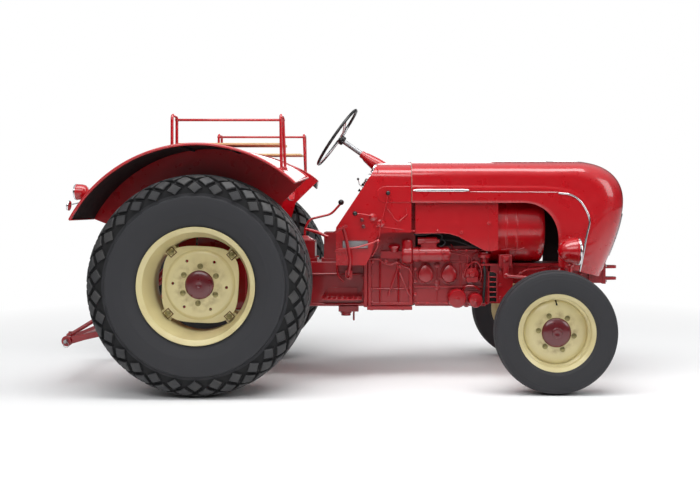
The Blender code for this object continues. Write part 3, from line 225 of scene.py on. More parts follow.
@dataclass
class Shape:
    """Vertices and faces of one piece, gathered before it becomes an object.

    Each closed part added to it is one island. The number in coat says which of the
    piece's finishes the next faces take.
    """

    vertices: list[Vector] = field(default_factory=list)
    faces: list[tuple[int, ...]] = field(default_factory=list)
    coats: list[int] = field(default_factory=list)
    coat: int = 0

    def add(self, vertices: Iterable[Place], faces: Iterable[Sequence[int]]) -> "Shape":
        """Adds vertices, and faces that count from the first of them.

        Args:
            vertices: Places of the new vertices.
            faces: Corners of each new face.

        Returns:
            The shape itself.
        """
        first = len(self.vertices)
        self.vertices.extend(Vector(v) for v in vertices)
        for corners in faces:
            corners = tuple(dict.fromkeys(first + c for c in corners))
            if len(corners) > 2:
                self.faces.append(corners)
                self.coats.append(self.coat)
        return self

    def rings(self, rings: Sequence[Sequence[Place]], closed: bool = False, capped: bool = True) -> "Shape":
        """Joins rings of points, each of the same length, into a skin.

        Args:
            rings: The rings in order.
            closed: Whether the last ring joins the first.
            capped: Whether open ends are filled.

        Returns:
            The shape itself.
        """
        n = len(rings[0])
        points = [p for ring in rings for p in ring]
        faces = []
        for r in range(len(rings) - (0 if closed else 1)):
            a, b = r * n, (r + 1) % len(rings) * n
            faces += [(a + i, a + (i + 1) % n, b + (i + 1) % n, b + i) for i in range(n)]
        if capped and not closed:
            faces.append(tuple(range(n))[::-1])
            faces.append(tuple(range(len(points) - n, len(points))))
        return self.add(points, faces)

    def turned(
        self,
        profile: Profile,
        centre: Place,
        outward: Place,
        steps: int = 64,
        closed: bool = False,
        start: float = 0.0,
    ) -> "Shape":
        """Turns a profile of (radius, along) points about outward through centre.

        Args:
            profile: The points; an open one starts and ends on the axis or is capped.
            centre: Place where along is 0.
            outward: Direction of the axis.
            steps: Faces round the axis.
            closed: Whether the profile is a loop clear of the axis.
            start: Angle of the first vertex in degrees.

        Returns:
            The shape itself.
        """
        right, up, w = axes_of(outward)
        turns = [math.radians(start) + 2 * math.pi * i / steps for i in range(steps)]
        spokes = [right * math.cos(a) + up * math.sin(a) for a in turns]
        points, index = [], []
        for radius, along in profile:
            middle = Vector(centre) + w * along
            if radius < 1e-6:
                index.append([len(points)] * steps)
                points.append(middle)
            else:
                index.append(list(range(len(points), len(points) + steps)))
                points += [middle + spoke * radius for spoke in spokes]
        faces = []
        pairs = list(zip(index, index[1:]))
        if closed:
            pairs.append((index[-1], index[0]))
        for a, b in pairs:
            faces += [(a[i], a[(i + 1) % steps], b[(i + 1) % steps], b[i]) for i in range(steps)]
        if not closed:
            faces += [ring for ring in (index[0][::-1], index[-1]) if ring[0] != ring[1]]
        return self.add(points, faces)

    def prism(self, outline: Profile, low: float, high: float, facing: Facing) -> "Shape":
        """A flat outline made solid from low to high along the axis it faces.

        Args:
            outline: (y, z), (x, z) or (x, y) pairs for FORWARD, LEFTWARD or UPWARD.
            low: First place along the axis.
            high: Last place along the axis.
            facing: The axis.

        Returns:
            The shape itself.
        """
        lift: dict[Facing, Callable[[float, float, float], Place]] = {
            Facing.FORWARD: lambda u, v, w: (w, u, v),
            Facing.LEFTWARD: lambda u, v, w: (u, w, v),
            Facing.UPWARD: lambda u, v, w: (u, v, w),
        }
        return self.rings([[lift[facing](u, v, w) for u, v in outline] for w in (low, high)])

    def box(self, low: Place, high: Place) -> "Shape":
        """A block between two opposite corners."""
        (x0, y0, z0), (x1, y1, z1) = low, high
        return self.prism([(x0, y0), (x1, y0), (x1, y1), (x0, y1)], z0, z1, Facing.UPWARD)

    def rod(self, start: Place, end: Place, radius: float, tip: float | None = None, steps: int = 28) -> "Shape":
        """A round bar with slightly rounded ends, tapered where tip differs.

        Args:
            start: Middle of the first end.
            end: Middle of the last end.
            radius: Radius at the start.
            tip: Radius at the end, or None for the same.
            steps: Faces round it.

        Returns:
            The shape itself.
        """
        run = Vector(end) - Vector(start)
        tip = radius if tip is None else tip
        ease = min(0.12 * min(radius, tip), run.length * 0.2)
        profile = [
            (0.0, 0.0),
            (radius - ease, 0.0),
            (radius, ease),
            (tip, run.length - ease),
            (tip - ease, run.length),
            (0.0, run.length),
        ]
        return self.turned(profile, start, run, steps)

    def tube(
        self, path: Sequence[Place], radius: float | Sequence[float], sides: int = 12, closed: bool = False
    ) -> "Shape":
        """A round tube along a path, without twist.

        Args:
            path: The points it follows.
            radius: Its radius, or one for each point.
            sides: Faces round it.
            closed: Whether its ends meet.

        Returns:
            The shape itself.
        """
        path = [Vector(p) for p in path]
        radii = [radius] * len(path) if isinstance(radius, float) else list(radius)
        runs = []
        for i, here in enumerate(path):
            before = path[i - 1] if i or closed else here
            after = path[(i + 1) % len(path)] if i + 1 < len(path) or closed else here
            runs.append((after - before).normalized())
        side = axes_of(runs[0])[0]
        rings = []
        for here, run, r in zip(path, runs, radii):
            side = (side - run * side.dot(run)).normalized()
            other = run.cross(side)
            turns = [2 * math.pi * k / sides for k in range(sides)]
            rings.append([here + (side * math.cos(a) + other * math.sin(a)) * r for a in turns])
        return self.rings(rings, closed=closed)

    def ball(self, centre: Place, radius: float, outward: Place = (0, 0, 1), squash: float = 1.0) -> "Shape":
        """A ball, or a lens where squash is under 1.

        Args:
            centre: Its middle.
            radius: Its radius across outward.
            outward: Its short direction.
            squash: Its thickness as a share of its width.

        Returns:
            The shape itself.
        """
        profile = [(radius * math.cos(a), radius * squash * math.sin(a)) for a in spread(-math.pi / 2, math.pi / 2, 13)]
        return self.turned([(max(r, 0.0), along) for r, along in profile], centre, outward, 24)

    def bolt(self, place: Place, outward: Place, size: float = 0.009, height: float = 0.006) -> "Shape":
        """A hexagon bolt head on its washer.

        Args:
            place: Middle of the washer's seat.
            outward: Direction that the head faces.
            size: Half the head's width over its corners.
            height: Height of the head.

        Returns:
            The shape itself.
        """
        lift = height * 0.22
        seat = Vector(place) - Vector(outward).normalized() * 0.0015
        washer = [(0, 0), (size * 1.3, 0), (size * 1.3, lift + 0.0015), (size * 1.2, lift + 0.002), (0, lift + 0.002)]
        self.turned(washer, seat, outward, 20)
        head = [(0, 0), (size, 0), (size, height + 0.0005), (size * 0.82, height + 0.0015), (0, height + 0.0015)]
        turn = 60 * math.sin(97.0 * sum(place))
        return self.turned(head, Vector(seat) + Vector(outward).normalized() * lift, outward, 6, start=turn)

    def bolts(self, places: Iterable[Place], outward: Place, size: float = 0.009, height: float = 0.006) -> "Shape":
        """A bolt head at each place."""
        for place in places:
            self.bolt(place, outward, size, height)
        return self

    def shell(self, rows: Rows, wall: float, inner_coat: int | None = None) -> "Shape":
        """A thin skin through rows of points, closed along its edges.

        Args:
            rows: The outer surface, so that along the row crossed with down the rows faces out.
            wall: Its thickness.
            inner_coat: Finish number of the inner surface, or None for the same.

        Returns:
            The shape itself.
        """
        count, width = len(rows), len(rows[0])
        inner = []
        for r in range(count):
            above, below = rows[max(r - 1, 0)], rows[min(r + 1, count - 1)]
            for c in range(width):
                along = rows[r][min(c + 1, width - 1)] - rows[r][max(c - 1, 0)]
                normal = along.cross(below[c] - above[c])
                inner.append(rows[r][c] - normal.normalized() * wall)
        outer = [p for row in rows for p in row]
        total = len(outer)
        quads = [(r * width + c, r * width + c + 1) for r in range(count - 1) for c in range(width - 1)]
        first = len(self.vertices)
        self.add(outer + inner, [(a, b, b + width, a + width) for a, b in quads])
        rim = [c for c in range(width)]
        rim += [r * width + width - 1 for r in range(1, count)]
        rim += [(count - 1) * width + c for c in range(width - 2, -1, -1)]
        rim += [r * width for r in range(count - 2, 0, -1)]
        edges = [(a, b, b + total, a + total) for a, b in zip(rim, rim[1:] + rim[:1])]
        for corners in edges:
            self.faces.append(tuple(first + c for c in corners))
            self.coats.append(self.coat)
        for a, b in quads:
            corners = (a + total, a + width + total, b + width + total, b + total)
            self.faces.append(tuple(first + c for c in corners))
            self.coats.append(self.coat if inner_coat is None else inner_coat)
        return self

    def draft(self, name: str) -> bpy.types.Object:
        """An object of this shape on the frame, with its faces turned outwards."""
        mesh = bpy.data.meshes.new(name)
        mesh.from_pydata([(v.x + REAR_AXLE_X, v.y, v.z) for v in self.vertices], [], self.faces)
        mesh.polygons.foreach_set("material_index", self.coats)
        bm = bmesh.new()
        bm.from_mesh(mesh)
        bmesh.ops.recalc_face_normals(bm, faces=bm.faces)
        bm.to_mesh(mesh)
        bm.free()
        obj = bpy.data.objects.new(name, mesh)
        bpy.context.scene.collection.objects.link(obj)
        return obj

    def carved(self, *cutters: "Shape", keep_inside: bool = False) -> "Shape":
        """This shape with others cut away, or only what lies inside them.

        Args:
            cutters: The closed shapes to cut with.
            keep_inside: Whether to keep what is inside instead.

        Returns:
            A new shape.
        """
        base = self.draft("carving")
        drafts = [cutter.draft("cutter") for cutter in cutters]
        for draft in drafts:
            boolean = base.modifiers.new("carve", "BOOLEAN")
            boolean.operation = "INTERSECT" if keep_inside else "DIFFERENCE"
            boolean.object = draft
        evaluated = base.evaluated_get(bpy.context.evaluated_depsgraph_get())
        mesh = evaluated.to_mesh()
        result = Shape()
        result.vertices = [Vector((v.co.x - REAR_AXLE_X, v.co.y, v.co.z)) for v in mesh.vertices]
        result.faces = [tuple(p.vertices) for p in mesh.polygons]
        result.coats = [p.material_index for p in mesh.polygons]
        evaluated.to_mesh_clear()
        for draft in [base, *drafts]:
            bpy.data.objects.remove(draft, do_unlink=True)
        return result

    def piece(
        self,
        name: str,
        body: str,
        finishes: "Finish | Sequence[Finish]",
        replaces: str | Sequence[str] = (),
        bevel: float = 0.0,
        sharp: float = 38.0,
    ) -> bpy.types.Object:
        """The shape as a finished piece that rides on a body.

        Args:
            name: Name of the piece.
            body: Frame body that carries it.
            finishes: Its finish, or its finishes in coat order.
            replaces: Frame node or nodes that it stands for.
            bevel: Width of its rounded edges, or 0.
            sharp: Edges steeper than this stay crisp, in degrees.

        Returns:
            The object.
        """
        obj = self.draft(name)
        finishes = [finishes] if isinstance(finishes, Finish) else list(finishes)
        for finish in finishes:
            obj.data.materials.append(finish.material())
        obj.data.shade_smooth()
        if bevel:
            rounding = obj.modifiers.new("rounded_edges", "BEVEL")
            rounding.width = bevel
            rounding.segments = 2
            rounding.angle_limit = math.radians(32)
            rounding.use_clamp_overlap = True
            obj.modifiers.new("even_shading", "WEIGHTED_NORMAL")
        else:
            obj.data.set_sharp_from_angle(angle=math.radians(sharp))
        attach(obj, body)
        nodes = [replaces] if isinstance(replaces, str) else list(replaces)
        if nodes:
            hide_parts(*nodes)
        log.info("piece %s on %s: %d faces", name, body, len(self.faces))
        return obj


# ---------------------------------------------------------------- finishes


def linear(rgb: Sequence[float]) -> tuple[float, float, float, float]:
    """A shader colour from three display values of 0 to 255."""
    shares = [v / 255 for v in rgb]
    return (*[s / 12.92 if s < 0.04045 else ((s + 0.055) / 1.055) ** 2.4 for s in shares], 1.0)


class Graph:
    """A material's node graph, with short ways to add to it."""

    def __init__(self, name: str) -> None:
        """Starts an empty material with its output.

        Args:
            name: Name of the material.
        """
        self.material = bpy.data.materials.new(name)
        self.material.use_nodes = True
        self.tree = self.material.node_tree
        self.tree.nodes.clear()
        self.place = self.add("ShaderNodeTexCoord").outputs["Object"]

    def add(self, kind: str, links: dict | None = None, **settings: object) -> bpy.types.Node:
        """A new node.

        Args:
            kind: Its type.
            links: Its sockets' constants or the sockets that feed them.
            settings: Its own settings.

        Returns:
            The node.
        """
        node = self.tree.nodes.new(kind)
        for key, value in settings.items():
            setattr(node, key, value)
        for key, value in (links or {}).items():
            if isinstance(value, bpy.types.NodeSocket):
                self.tree.links.new(value, node.inputs[key])
            else:
                node.inputs[key].default_value = value
        return node

    def noise(self, scale: float, detail: float = 3.0, stretch: Place = (1, 1, 1)) -> bpy.types.NodeSocket:
        """Noise over the machine's own places.

        Args:
            scale: How many waves to the metre.
            detail: Number of finer layers.
            stretch: How much denser it is along each axis.

        Returns:
            The noise's value.
        """
        place = self.add("ShaderNodeMapping", {"Vector": self.place, "Scale": tuple(stretch)}).outputs[0]
        return self.add("ShaderNodeTexNoise", {"Vector": place, "Scale": scale, "Detail": detail}).outputs[0]

    def ramp(self, value: bpy.types.NodeSocket, low: float, high: float, start: float, end: float) -> bpy.types.NodeSocket:
        """The value carried from the range low to high onto start to end, held inside it."""
        links = {"Value": value, "From Min": low, "From Max": high, "To Min": start, "To Max": end}
        return self.add("ShaderNodeMapRange", links).outputs[0]

    def blend(self, share: object, first: object, second: object) -> bpy.types.NodeSocket:
        """The first colour passing to the second as share goes from 0 to 1."""
        node = self.add("ShaderNodeMix", data_type="RGBA")
        for index, value in ((0, share), (6, first), (7, second)):
            if isinstance(value, bpy.types.NodeSocket):
                self.tree.links.new(value, node.inputs[index])
            else:
                node.inputs[index].default_value = value
        return node.outputs[2]

    def bump(self, height: bpy.types.NodeSocket, strength: float, distance: float) -> bpy.types.NodeSocket:
        """A bumped normal of a height."""
        links = {"Height": height, "Strength": strength, "Distance": distance}
        return self.add("ShaderNodeBump", links).outputs[0]

    def shade(self, links: dict) -> bpy.types.Material:
        """Ends the graph in a surface shader with these links.

        Args:
            links: Constants or sockets of the surface shader.

        Returns:
            The finished material.
        """
        shader = self.add("ShaderNodeBsdfPrincipled", links)
        self.add("ShaderNodeOutputMaterial", {"Surface": shader.outputs[0]})
        return self.material


@dataclass(frozen=True)
class Finish:
    """A surface finish: its colour, how much that varies, its gloss and its grain."""

    name: str
    rgb: tuple[float, float, float]
    slot: str = ""
    tint: tuple[float, float, float] = (90.0, 80.0, 70.0)
    tint_share: float = 0.08
    roughness: float = 0.4
    roughness_vary: float = 0.08
    metallic: float = 0.0
    coat: float = 0.0
    grain: float = 0.0
    grain_scale: float = 400.0
    stretch: tuple[float, float, float] = (1.0, 1.0, 1.0)

    def material(self) -> bpy.types.Material:
        """The finish's material, made once."""
        return bpy.data.materials.get(self.name) or self.made(Graph(self.name))

    def colour(self, graph: Graph) -> object:
        """The base colour with its slow variation."""
        share = graph.ramp(graph.noise(5.0, 5.0, self.stretch), 0.45, 0.75, 0.0, self.tint_share)
        return graph.blend(share, linear(self.rgb), linear(self.tint))

    def made(self, graph: Graph) -> bpy.types.Material:
        """Builds the material.

        Args:
            graph: The empty graph.

        Returns:
            The material.
        """
        low, high = self.roughness - self.roughness_vary, self.roughness + self.roughness_vary
        links = {
            "Base Color": self.colour(graph),
            "Roughness": graph.ramp(graph.noise(14.0, 6.0, self.stretch), 0.3, 0.7, max(low, 0.03), high),
            "Metallic": self.metallic,
            "Coat Weight": self.coat,
            "Coat Roughness": 0.06,
        }
        if self.grain:
            height = graph.noise(self.grain_scale, 3.0, self.stretch)
            links["Normal"] = graph.bump(height, self.grain, 0.001)
        return graph.shade(links)


@dataclass(frozen=True)
class StainedEnamel(Finish):
    """Wheel enamel with brown stain round the nuts."""

    axle_x: float = 0.0
    axle_z: float = 0.0
    stain_radius: float = 0.105
    stain_width: float = 0.045
    stain: tuple[float, float, float] = (122.0, 92.0, 52.0)

    def colour(self, graph: Graph) -> object:
        """Enamel that darkens near the nut circle, unevenly."""
        base = super().colour(graph)
        parts = graph.add("ShaderNodeSeparateXYZ", {"Vector": graph.place})
        flat = graph.add("ShaderNodeCombineXYZ", {"X": parts.outputs["X"], "Z": parts.outputs["Z"]})
        middle = (self.axle_x, 0.0, self.axle_z)
        links = {0: flat.outputs[0], 1: middle}
        radius = graph.add("ShaderNodeVectorMath", links, operation="DISTANCE").outputs["Value"]
        off = graph.add("ShaderNodeMath", {0: radius, 1: self.stain_radius}, operation="SUBTRACT").outputs[0]
        away = graph.add("ShaderNodeMath", {0: off}, operation="ABSOLUTE").outputs[0]
        near = graph.ramp(away, 0.0, self.stain_width, 1.0, 0.0)
        patchy = graph.ramp(graph.noise(26.0, 6.0), 0.42, 0.72, 0.0, 0.62)
        share = graph.add("ShaderNodeMath", {0: near, 1: patchy}, operation="MULTIPLY").outputs[0]
        return graph.blend(share, base, linear(self.stain))


@dataclass(frozen=True)
class Timber(Finish):
    """Varnished wood with its grain along the board."""

    dark: tuple[float, float, float] = (196.0, 160.0, 104.0)

    def colour(self, graph: Graph) -> object:
        """Bands of light and dark grain."""
        share = graph.ramp(graph.noise(9.0, 8.0, (0.6, 14.0, 14.0)), 0.35, 0.70, 0.0, 1.0)
        return graph.blend(share, linear(self.rgb), linear(self.dark))


@dataclass(frozen=True)
class Glass(Finish):
    """Clear or coloured lens glass with fine vertical fluting."""

    def made(self, graph: Graph) -> bpy.types.Material:
        """Builds a mostly clear material."""
        share = graph.ramp(graph.noise(40.0, 2.0), 0.3, 0.7, 0.04, 0.09)
        fluting = graph.add("ShaderNodeTexWave", {"Vector": graph.place, "Scale": 45.0}, bands_direction="Y")
        links = {
            "Base Color": linear(self.rgb),
            "Roughness": share,
            "Transmission Weight": 0.85,
            "IOR": 1.45,
            "Normal": graph.bump(fluting.outputs[1], 0.25, 0.001),
        }
        return graph.shade(links)


@dataclass(frozen=True)
class Backdrop(Finish):
    """The studio's pale floor, plain white where only the camera sees it."""

    def made(self, graph: Graph) -> bpy.types.Material:
        """Builds a floor that fades to white away from the machine."""
        distance = graph.add("ShaderNodeVectorMath", {0: graph.place}, operation="LENGTH").outputs["Value"]
        share = graph.ramp(distance, 1.5, 5.0, 0.0, 1.0)
        shade = graph.ramp(graph.noise(3.0, 2.0), 0.3, 0.7, 0.0, 0.02)
        colour = graph.blend(shade, linear(self.rgb), linear((235, 235, 235)))
        floor = graph.add("ShaderNodeBsdfDiffuse", {"Color": colour})
        white = graph.add("ShaderNodeEmission", {"Color": (1, 1, 1, 1), "Strength": 1.0})
        ray = graph.add("ShaderNodeLightPath").outputs["Is Camera Ray"]
        both = graph.add("ShaderNodeMath", {0: ray, 1: share}, operation="MULTIPLY").outputs[0]
        mix = graph.add("ShaderNodeMixShader", {0: both, 1: floor.outputs[0], 2: white.outputs[0]})
        graph.add("ShaderNodeOutputMaterial", {"Surface": mix.outputs[0]})
        return graph.material


RED_SHEET = Finish(
    "red_enamel_sheet", (184, 2, 18), "red_paint", (160, 2, 16), 0.12, 0.30, 0.05, coat=1.0, grain=0.035, grain_scale=230
)
RED_CAST = Finish(
    "red_enamel_casting", (158, 4, 18), "red_paint", (118, 8, 16), 0.30, 0.36, 0.08, coat=0.6, grain=0.22, grain_scale=260
)
CREAM = Finish("cream_enamel", (216, 202, 150), "cream_paint", (160, 132, 84), 0.30, 0.38, 0.08, coat=0.4, grain=0.04)
REAR_CREAM = StainedEnamel(
    "cream_enamel_rear", (214, 201, 150), "cream_paint", (158, 128, 78), 0.35, 0.36, 0.08, coat=0.4, grain=0.04,
    axle_x=REAR_AXLE_X, axle_z=middle_of("rear_rim_right").z, stain_radius=0.110, stain_width=0.055,
)
FRONT_CREAM = StainedEnamel(
    "cream_enamel_front", (214, 201, 150), "cream_paint", (158, 128, 78), 0.35, 0.36, 0.08, coat=0.4, grain=0.04,
    axle_x=REAR_AXLE_X + WHEELBASE, axle_z=middle_of("front_rim_right").z, stain_radius=0.104, stain_width=0.032,
)
MAROON = Finish("maroon_hub_enamel", (96, 10, 20), "red_paint", (80, 20, 26), 0.4, 0.30, 0.06, coat=0.8, grain=0.03)
RUBBER = Finish(
    "tyre_rubber", (40, 40, 43), "tyre_rubber", (66, 63, 60), 0.5, 0.66, 0.08, grain=0.25, grain_scale=320
)
TREAD_TOP = Finish("worn_tread_rubber", (50, 50, 52), "tyre_rubber", (84, 82, 79), 0.6, 0.58, 0.08, grain=0.3, grain_scale=260)
# darkest rubber, painted shade in the grooves and on the blocks' feet
GROOVE_SHADE = Finish("tread_groove_rubber", (25, 25, 27), "tyre_rubber", (36, 35, 34), 0.5, 0.85, 0.05, grain=0.2)
# dark brown for the outlines round the stepped lug washers
DARK_PAD_OUTLINE = Finish("stained_lug_pad", (104, 78, 40), "cream_paint", (60, 44, 24), 0.6, 0.55, 0.1, grain=0.2)
HOSE = Finish("black_hose", (26, 26, 28), "tyre_rubber", (50, 48, 46), 0.4, 0.55, 0.08, grain=0.1)
BLACK = Finish("black_plastic", (15, 15, 16), "black_plastic", (38, 38, 38), 0.3, 0.28, 0.07, coat=0.5, grain=0.03)
CHROME = Finish("chrome_trim", (226, 226, 228), "bare_steel", (190, 188, 184), 0.2, 0.12, 0.04, metallic=1.0)
STEEL = Finish(
    "bare_steel", (150, 148, 144), "bare_steel", (96, 84, 70), 0.5, 0.38, 0.08, metallic=1.0, grain=0.12
)
ZINC = Finish("olive_zinc", (150, 140, 96), "bare_steel", (96, 84, 52), 0.6, 0.36, 0.08, metallic=0.9, grain=0.08)
HOT_STEEL = Finish(
    "heated_exhaust_steel", (104, 92, 84), "bare_steel", (128, 72, 44), 0.8, 0.55, 0.10, metallic=0.8, grain=0.3
)
DARK_MESH = Finish("dark_grille_mesh", (34, 34, 36), "dark_mesh", (60, 58, 54), 0.4, 0.45, 0.08, metallic=0.5)
# underseal colour, darkened further as painted shade for undersides and the insides of panels
UNDERSEAL_AND_SHADE = Finish("dark_underside", (22, 4, 6), "red_paint", (30, 20, 18), 0.7, 0.75, 0.08, grain=0.4)
REFLECTOR = Finish("lamp_reflector", (235, 235, 235), "bare_steel", (210, 210, 210), 0.2, 0.09, 0.03, metallic=1.0)
CLEAR_LENS = Glass("clear_lens", (244, 246, 248), "bare_steel")
RED_LENS = Glass("red_lens", (190, 14, 16), "red_paint")
GAUGE_FACE = Finish("gauge_face", (22, 22, 24), "black_plastic", (60, 60, 60), 0.2, 0.3, 0.05, coat=0.8)
MARKING = Finish("pale_marking", (226, 222, 208), "black_plastic", (190, 186, 170), 0.3, 0.5, 0.05)
WOOD = Timber("varnished_wood", (238, 219, 170), "varnished_wood", roughness=0.36, coat=0.6, grain=0.15, grain_scale=90, stretch=(0.3, 6.0, 6.0))
SEAM = Finish("pale_seam_strip", (206, 178, 164), "tyre_rubber", (170, 140, 126), 0.4, 0.5, 0.06)
FLOOR = Backdrop("pale_floor", (246, 246, 246))


@dataclass
class Studio:
    """Camera, soft lights, pale floor and white surroundings."""

    lens: float = 43.97
    camera_ahead: float = 1.059
    camera_y: float = -5.51
    camera_height: float = 1.07
    shift: tuple[float, float] = (-0.0529, -0.0571)
    floor_size: float = 40.0

    def lamp(self, name: str, place: Place, target: Place, size: tuple[float, float], power: float) -> None:
        """A softbox that looks at a target.

        Args:
            name: Its name.
            place: Where it stands.
            target: What it faces.
            size: Its width and height.
            power: Its power in watts.
        """
        light = bpy.data.lights.new(name, "AREA")
        light.shape = "RECTANGLE"
        light.size, light.size_y = size
        light.energy = power
        obj = bpy.data.objects.new(name, light)
        obj.location = place
        obj.rotation_euler = (Vector(target) - Vector(place)).to_track_quat("-Z", "Y").to_euler()
        bpy.context.scene.collection.objects.link(obj)

    def world(self) -> None:
        """White to the camera, a soft grey light to everything else."""
        world = bpy.data.worlds.new("studio_surroundings")
        world.use_nodes = True
        tree = world.node_tree
        tree.nodes.clear()
        ray = tree.nodes.new("ShaderNodeLightPath")
        place = tree.nodes.new("ShaderNodeTexCoord")
        parts = tree.nodes.new("ShaderNodeSeparateXYZ")
        rise = tree.nodes.new("ShaderNodeMapRange")
        for key, value in (("From Min", 0.15), ("From Max", 0.75), ("To Min", 0.05), ("To Max", 0.60)):
            rise.inputs[key].default_value = value
        light = tree.nodes.new("ShaderNodeBackground")
        light.inputs["Color"].default_value = (0.96, 0.98, 1.0, 1.0)
        tree.links.new(place.outputs["Generated"], parts.inputs[0])
        tree.links.new(parts.outputs["Z"], rise.inputs["Value"])
        tree.links.new(rise.outputs[0], light.inputs["Strength"])
        white = tree.nodes.new("ShaderNodeBackground")
        white.inputs["Color"].default_value = (1, 1, 1, 1)
        mix = tree.nodes.new("ShaderNodeMixShader")
        output = tree.nodes.new("ShaderNodeOutputWorld")
        tree.links.new(ray.outputs["Is Camera Ray"], mix.inputs[0])
        tree.links.new(light.outputs[0], mix.inputs[1])
        tree.links.new(white.outputs[0], mix.inputs[2])
        tree.links.new(mix.outputs[0], output.inputs["Surface"])
        bpy.context.scene.world = world

    def build(self) -> None:
        """Sets the scene round the tractor."""
        scene = bpy.context.scene
        scene.view_settings.view_transform = "Standard"
        self.world()
        half = self.floor_size / 2
        mesh = bpy.data.meshes.new("studio_floor")
        corners = [(-half, -half, 0), (half, -half, 0), (half, half, 0), (-half, half, 0)]
        mesh.from_pydata(corners, [], [(0, 1, 2, 3)])
        mesh.materials.append(FLOOR.material())
        floor = bpy.data.objects.new("studio_floor", mesh)
        scene.collection.objects.link(floor)
        self.lamp("softbox_overhead", (0.3, -1.2, 4.2), (0.2, 0.0, 0.9), (5.0, 1.6), 140)
        self.lamp("softbox_camera_side", (-1.2, -4.6, 3.9), (0.0, 0.0, 0.6), (4.2, 1.8), 72)
        self.lamp("softbox_front", (4.8, -2.4, 2.6), (0.8, 0.0, 0.7), (2.0, 2.0), 40)
        self.lamp("softbox_far_side", (-0.4, 5.4, 3.0), (0.0, 0.0, 0.8), (4.0, 2.4), 60)
        data = bpy.data.cameras.new("camera")
        data.lens = self.lens
        data.sensor_width = 36.0
        data.shift_x, data.shift_y = self.shift
        camera = bpy.data.objects.new("camera", data)
        camera.location = (REAR_AXLE_X + self.camera_ahead, self.camera_y, self.camera_height)
        camera.rotation_euler = (math.radians(90), 0, 0)
        scene.collection.objects.link(camera)
        scene.camera = camera


# ---------------------------------------------------------------- wheels


def wheel_nut(shape: Shape, place: Place, outward: Place, size: float, height: float) -> None:
    """A chamfered wheel nut on a washer with its stud showing.

    Args:
        shape: Shape to add to.
        place: Middle of its seat.
        outward: Direction it faces.
        size: Half its width over the corners.
        height: Height of the nut.
    """
    shape.bolt(place, outward, size, height)
    w = Vector(outward).normalized()
    shape.rod(Vector(place) + w * height * 0.6, Vector(place) + w * (height * 1.9), size * 0.5, steps=16)


def rim_section(flange: float, bead: float, well: float, half: float, well_half: float, wall: float) -> list:
    """Closed section of a pressed drop-centre rim with rolled lips.

    Args:
        flange: Radius of the lip's edge.
        bead: Radius of the bead seat.
        well: Radius of the well's outer face.
        half: Half width over the lips.
        well_half: Half width of the well's floor.
        wall: Thickness of the metal.

    Returns:
        The section's (radius, across) points.
    """
    lip = wall * 0.9
    seat = half - 0.016
    outer = [(flange - lip * 0.2, half - lip), (flange - lip * 0.9, seat + 0.002), (bead + 0.004, seat)]
    outer += [(bead, seat - 0.006), (bead - 0.002, seat - 0.022), (well + 0.006, well_half + 0.012)]
    outer += [(well, well_half), (well, -well_half), (well + 0.006, -well_half - 0.012)]
    outer += [(bead - 0.002, -seat + 0.022), (bead, -seat + 0.006), (bead + 0.004, -seat)]
    outer += [(flange - lip * 0.9, -seat - 0.002), (flange - lip * 0.2, -half + lip)]
    edge = [(flange, half - lip * 0.5), (flange - lip * 0.25, half - lip * 0.1), (flange - lip * 0.8, half)]
    inner = [(flange - lip * 1.7, half - wall * 0.6), (bead - wall * 0.6, seat + 0.001)]
    inner += [(bead - wall, seat - 0.008), (bead - wall - 0.002, seat - 0.022)]
    inner += [(well - wall + 0.006, well_half + 0.010), (well - wall, well_half - 0.003)]
    near = edge + inner
    far = [(r, -w) for r, w in reversed(near)]
    return near + far + outer[::-1]


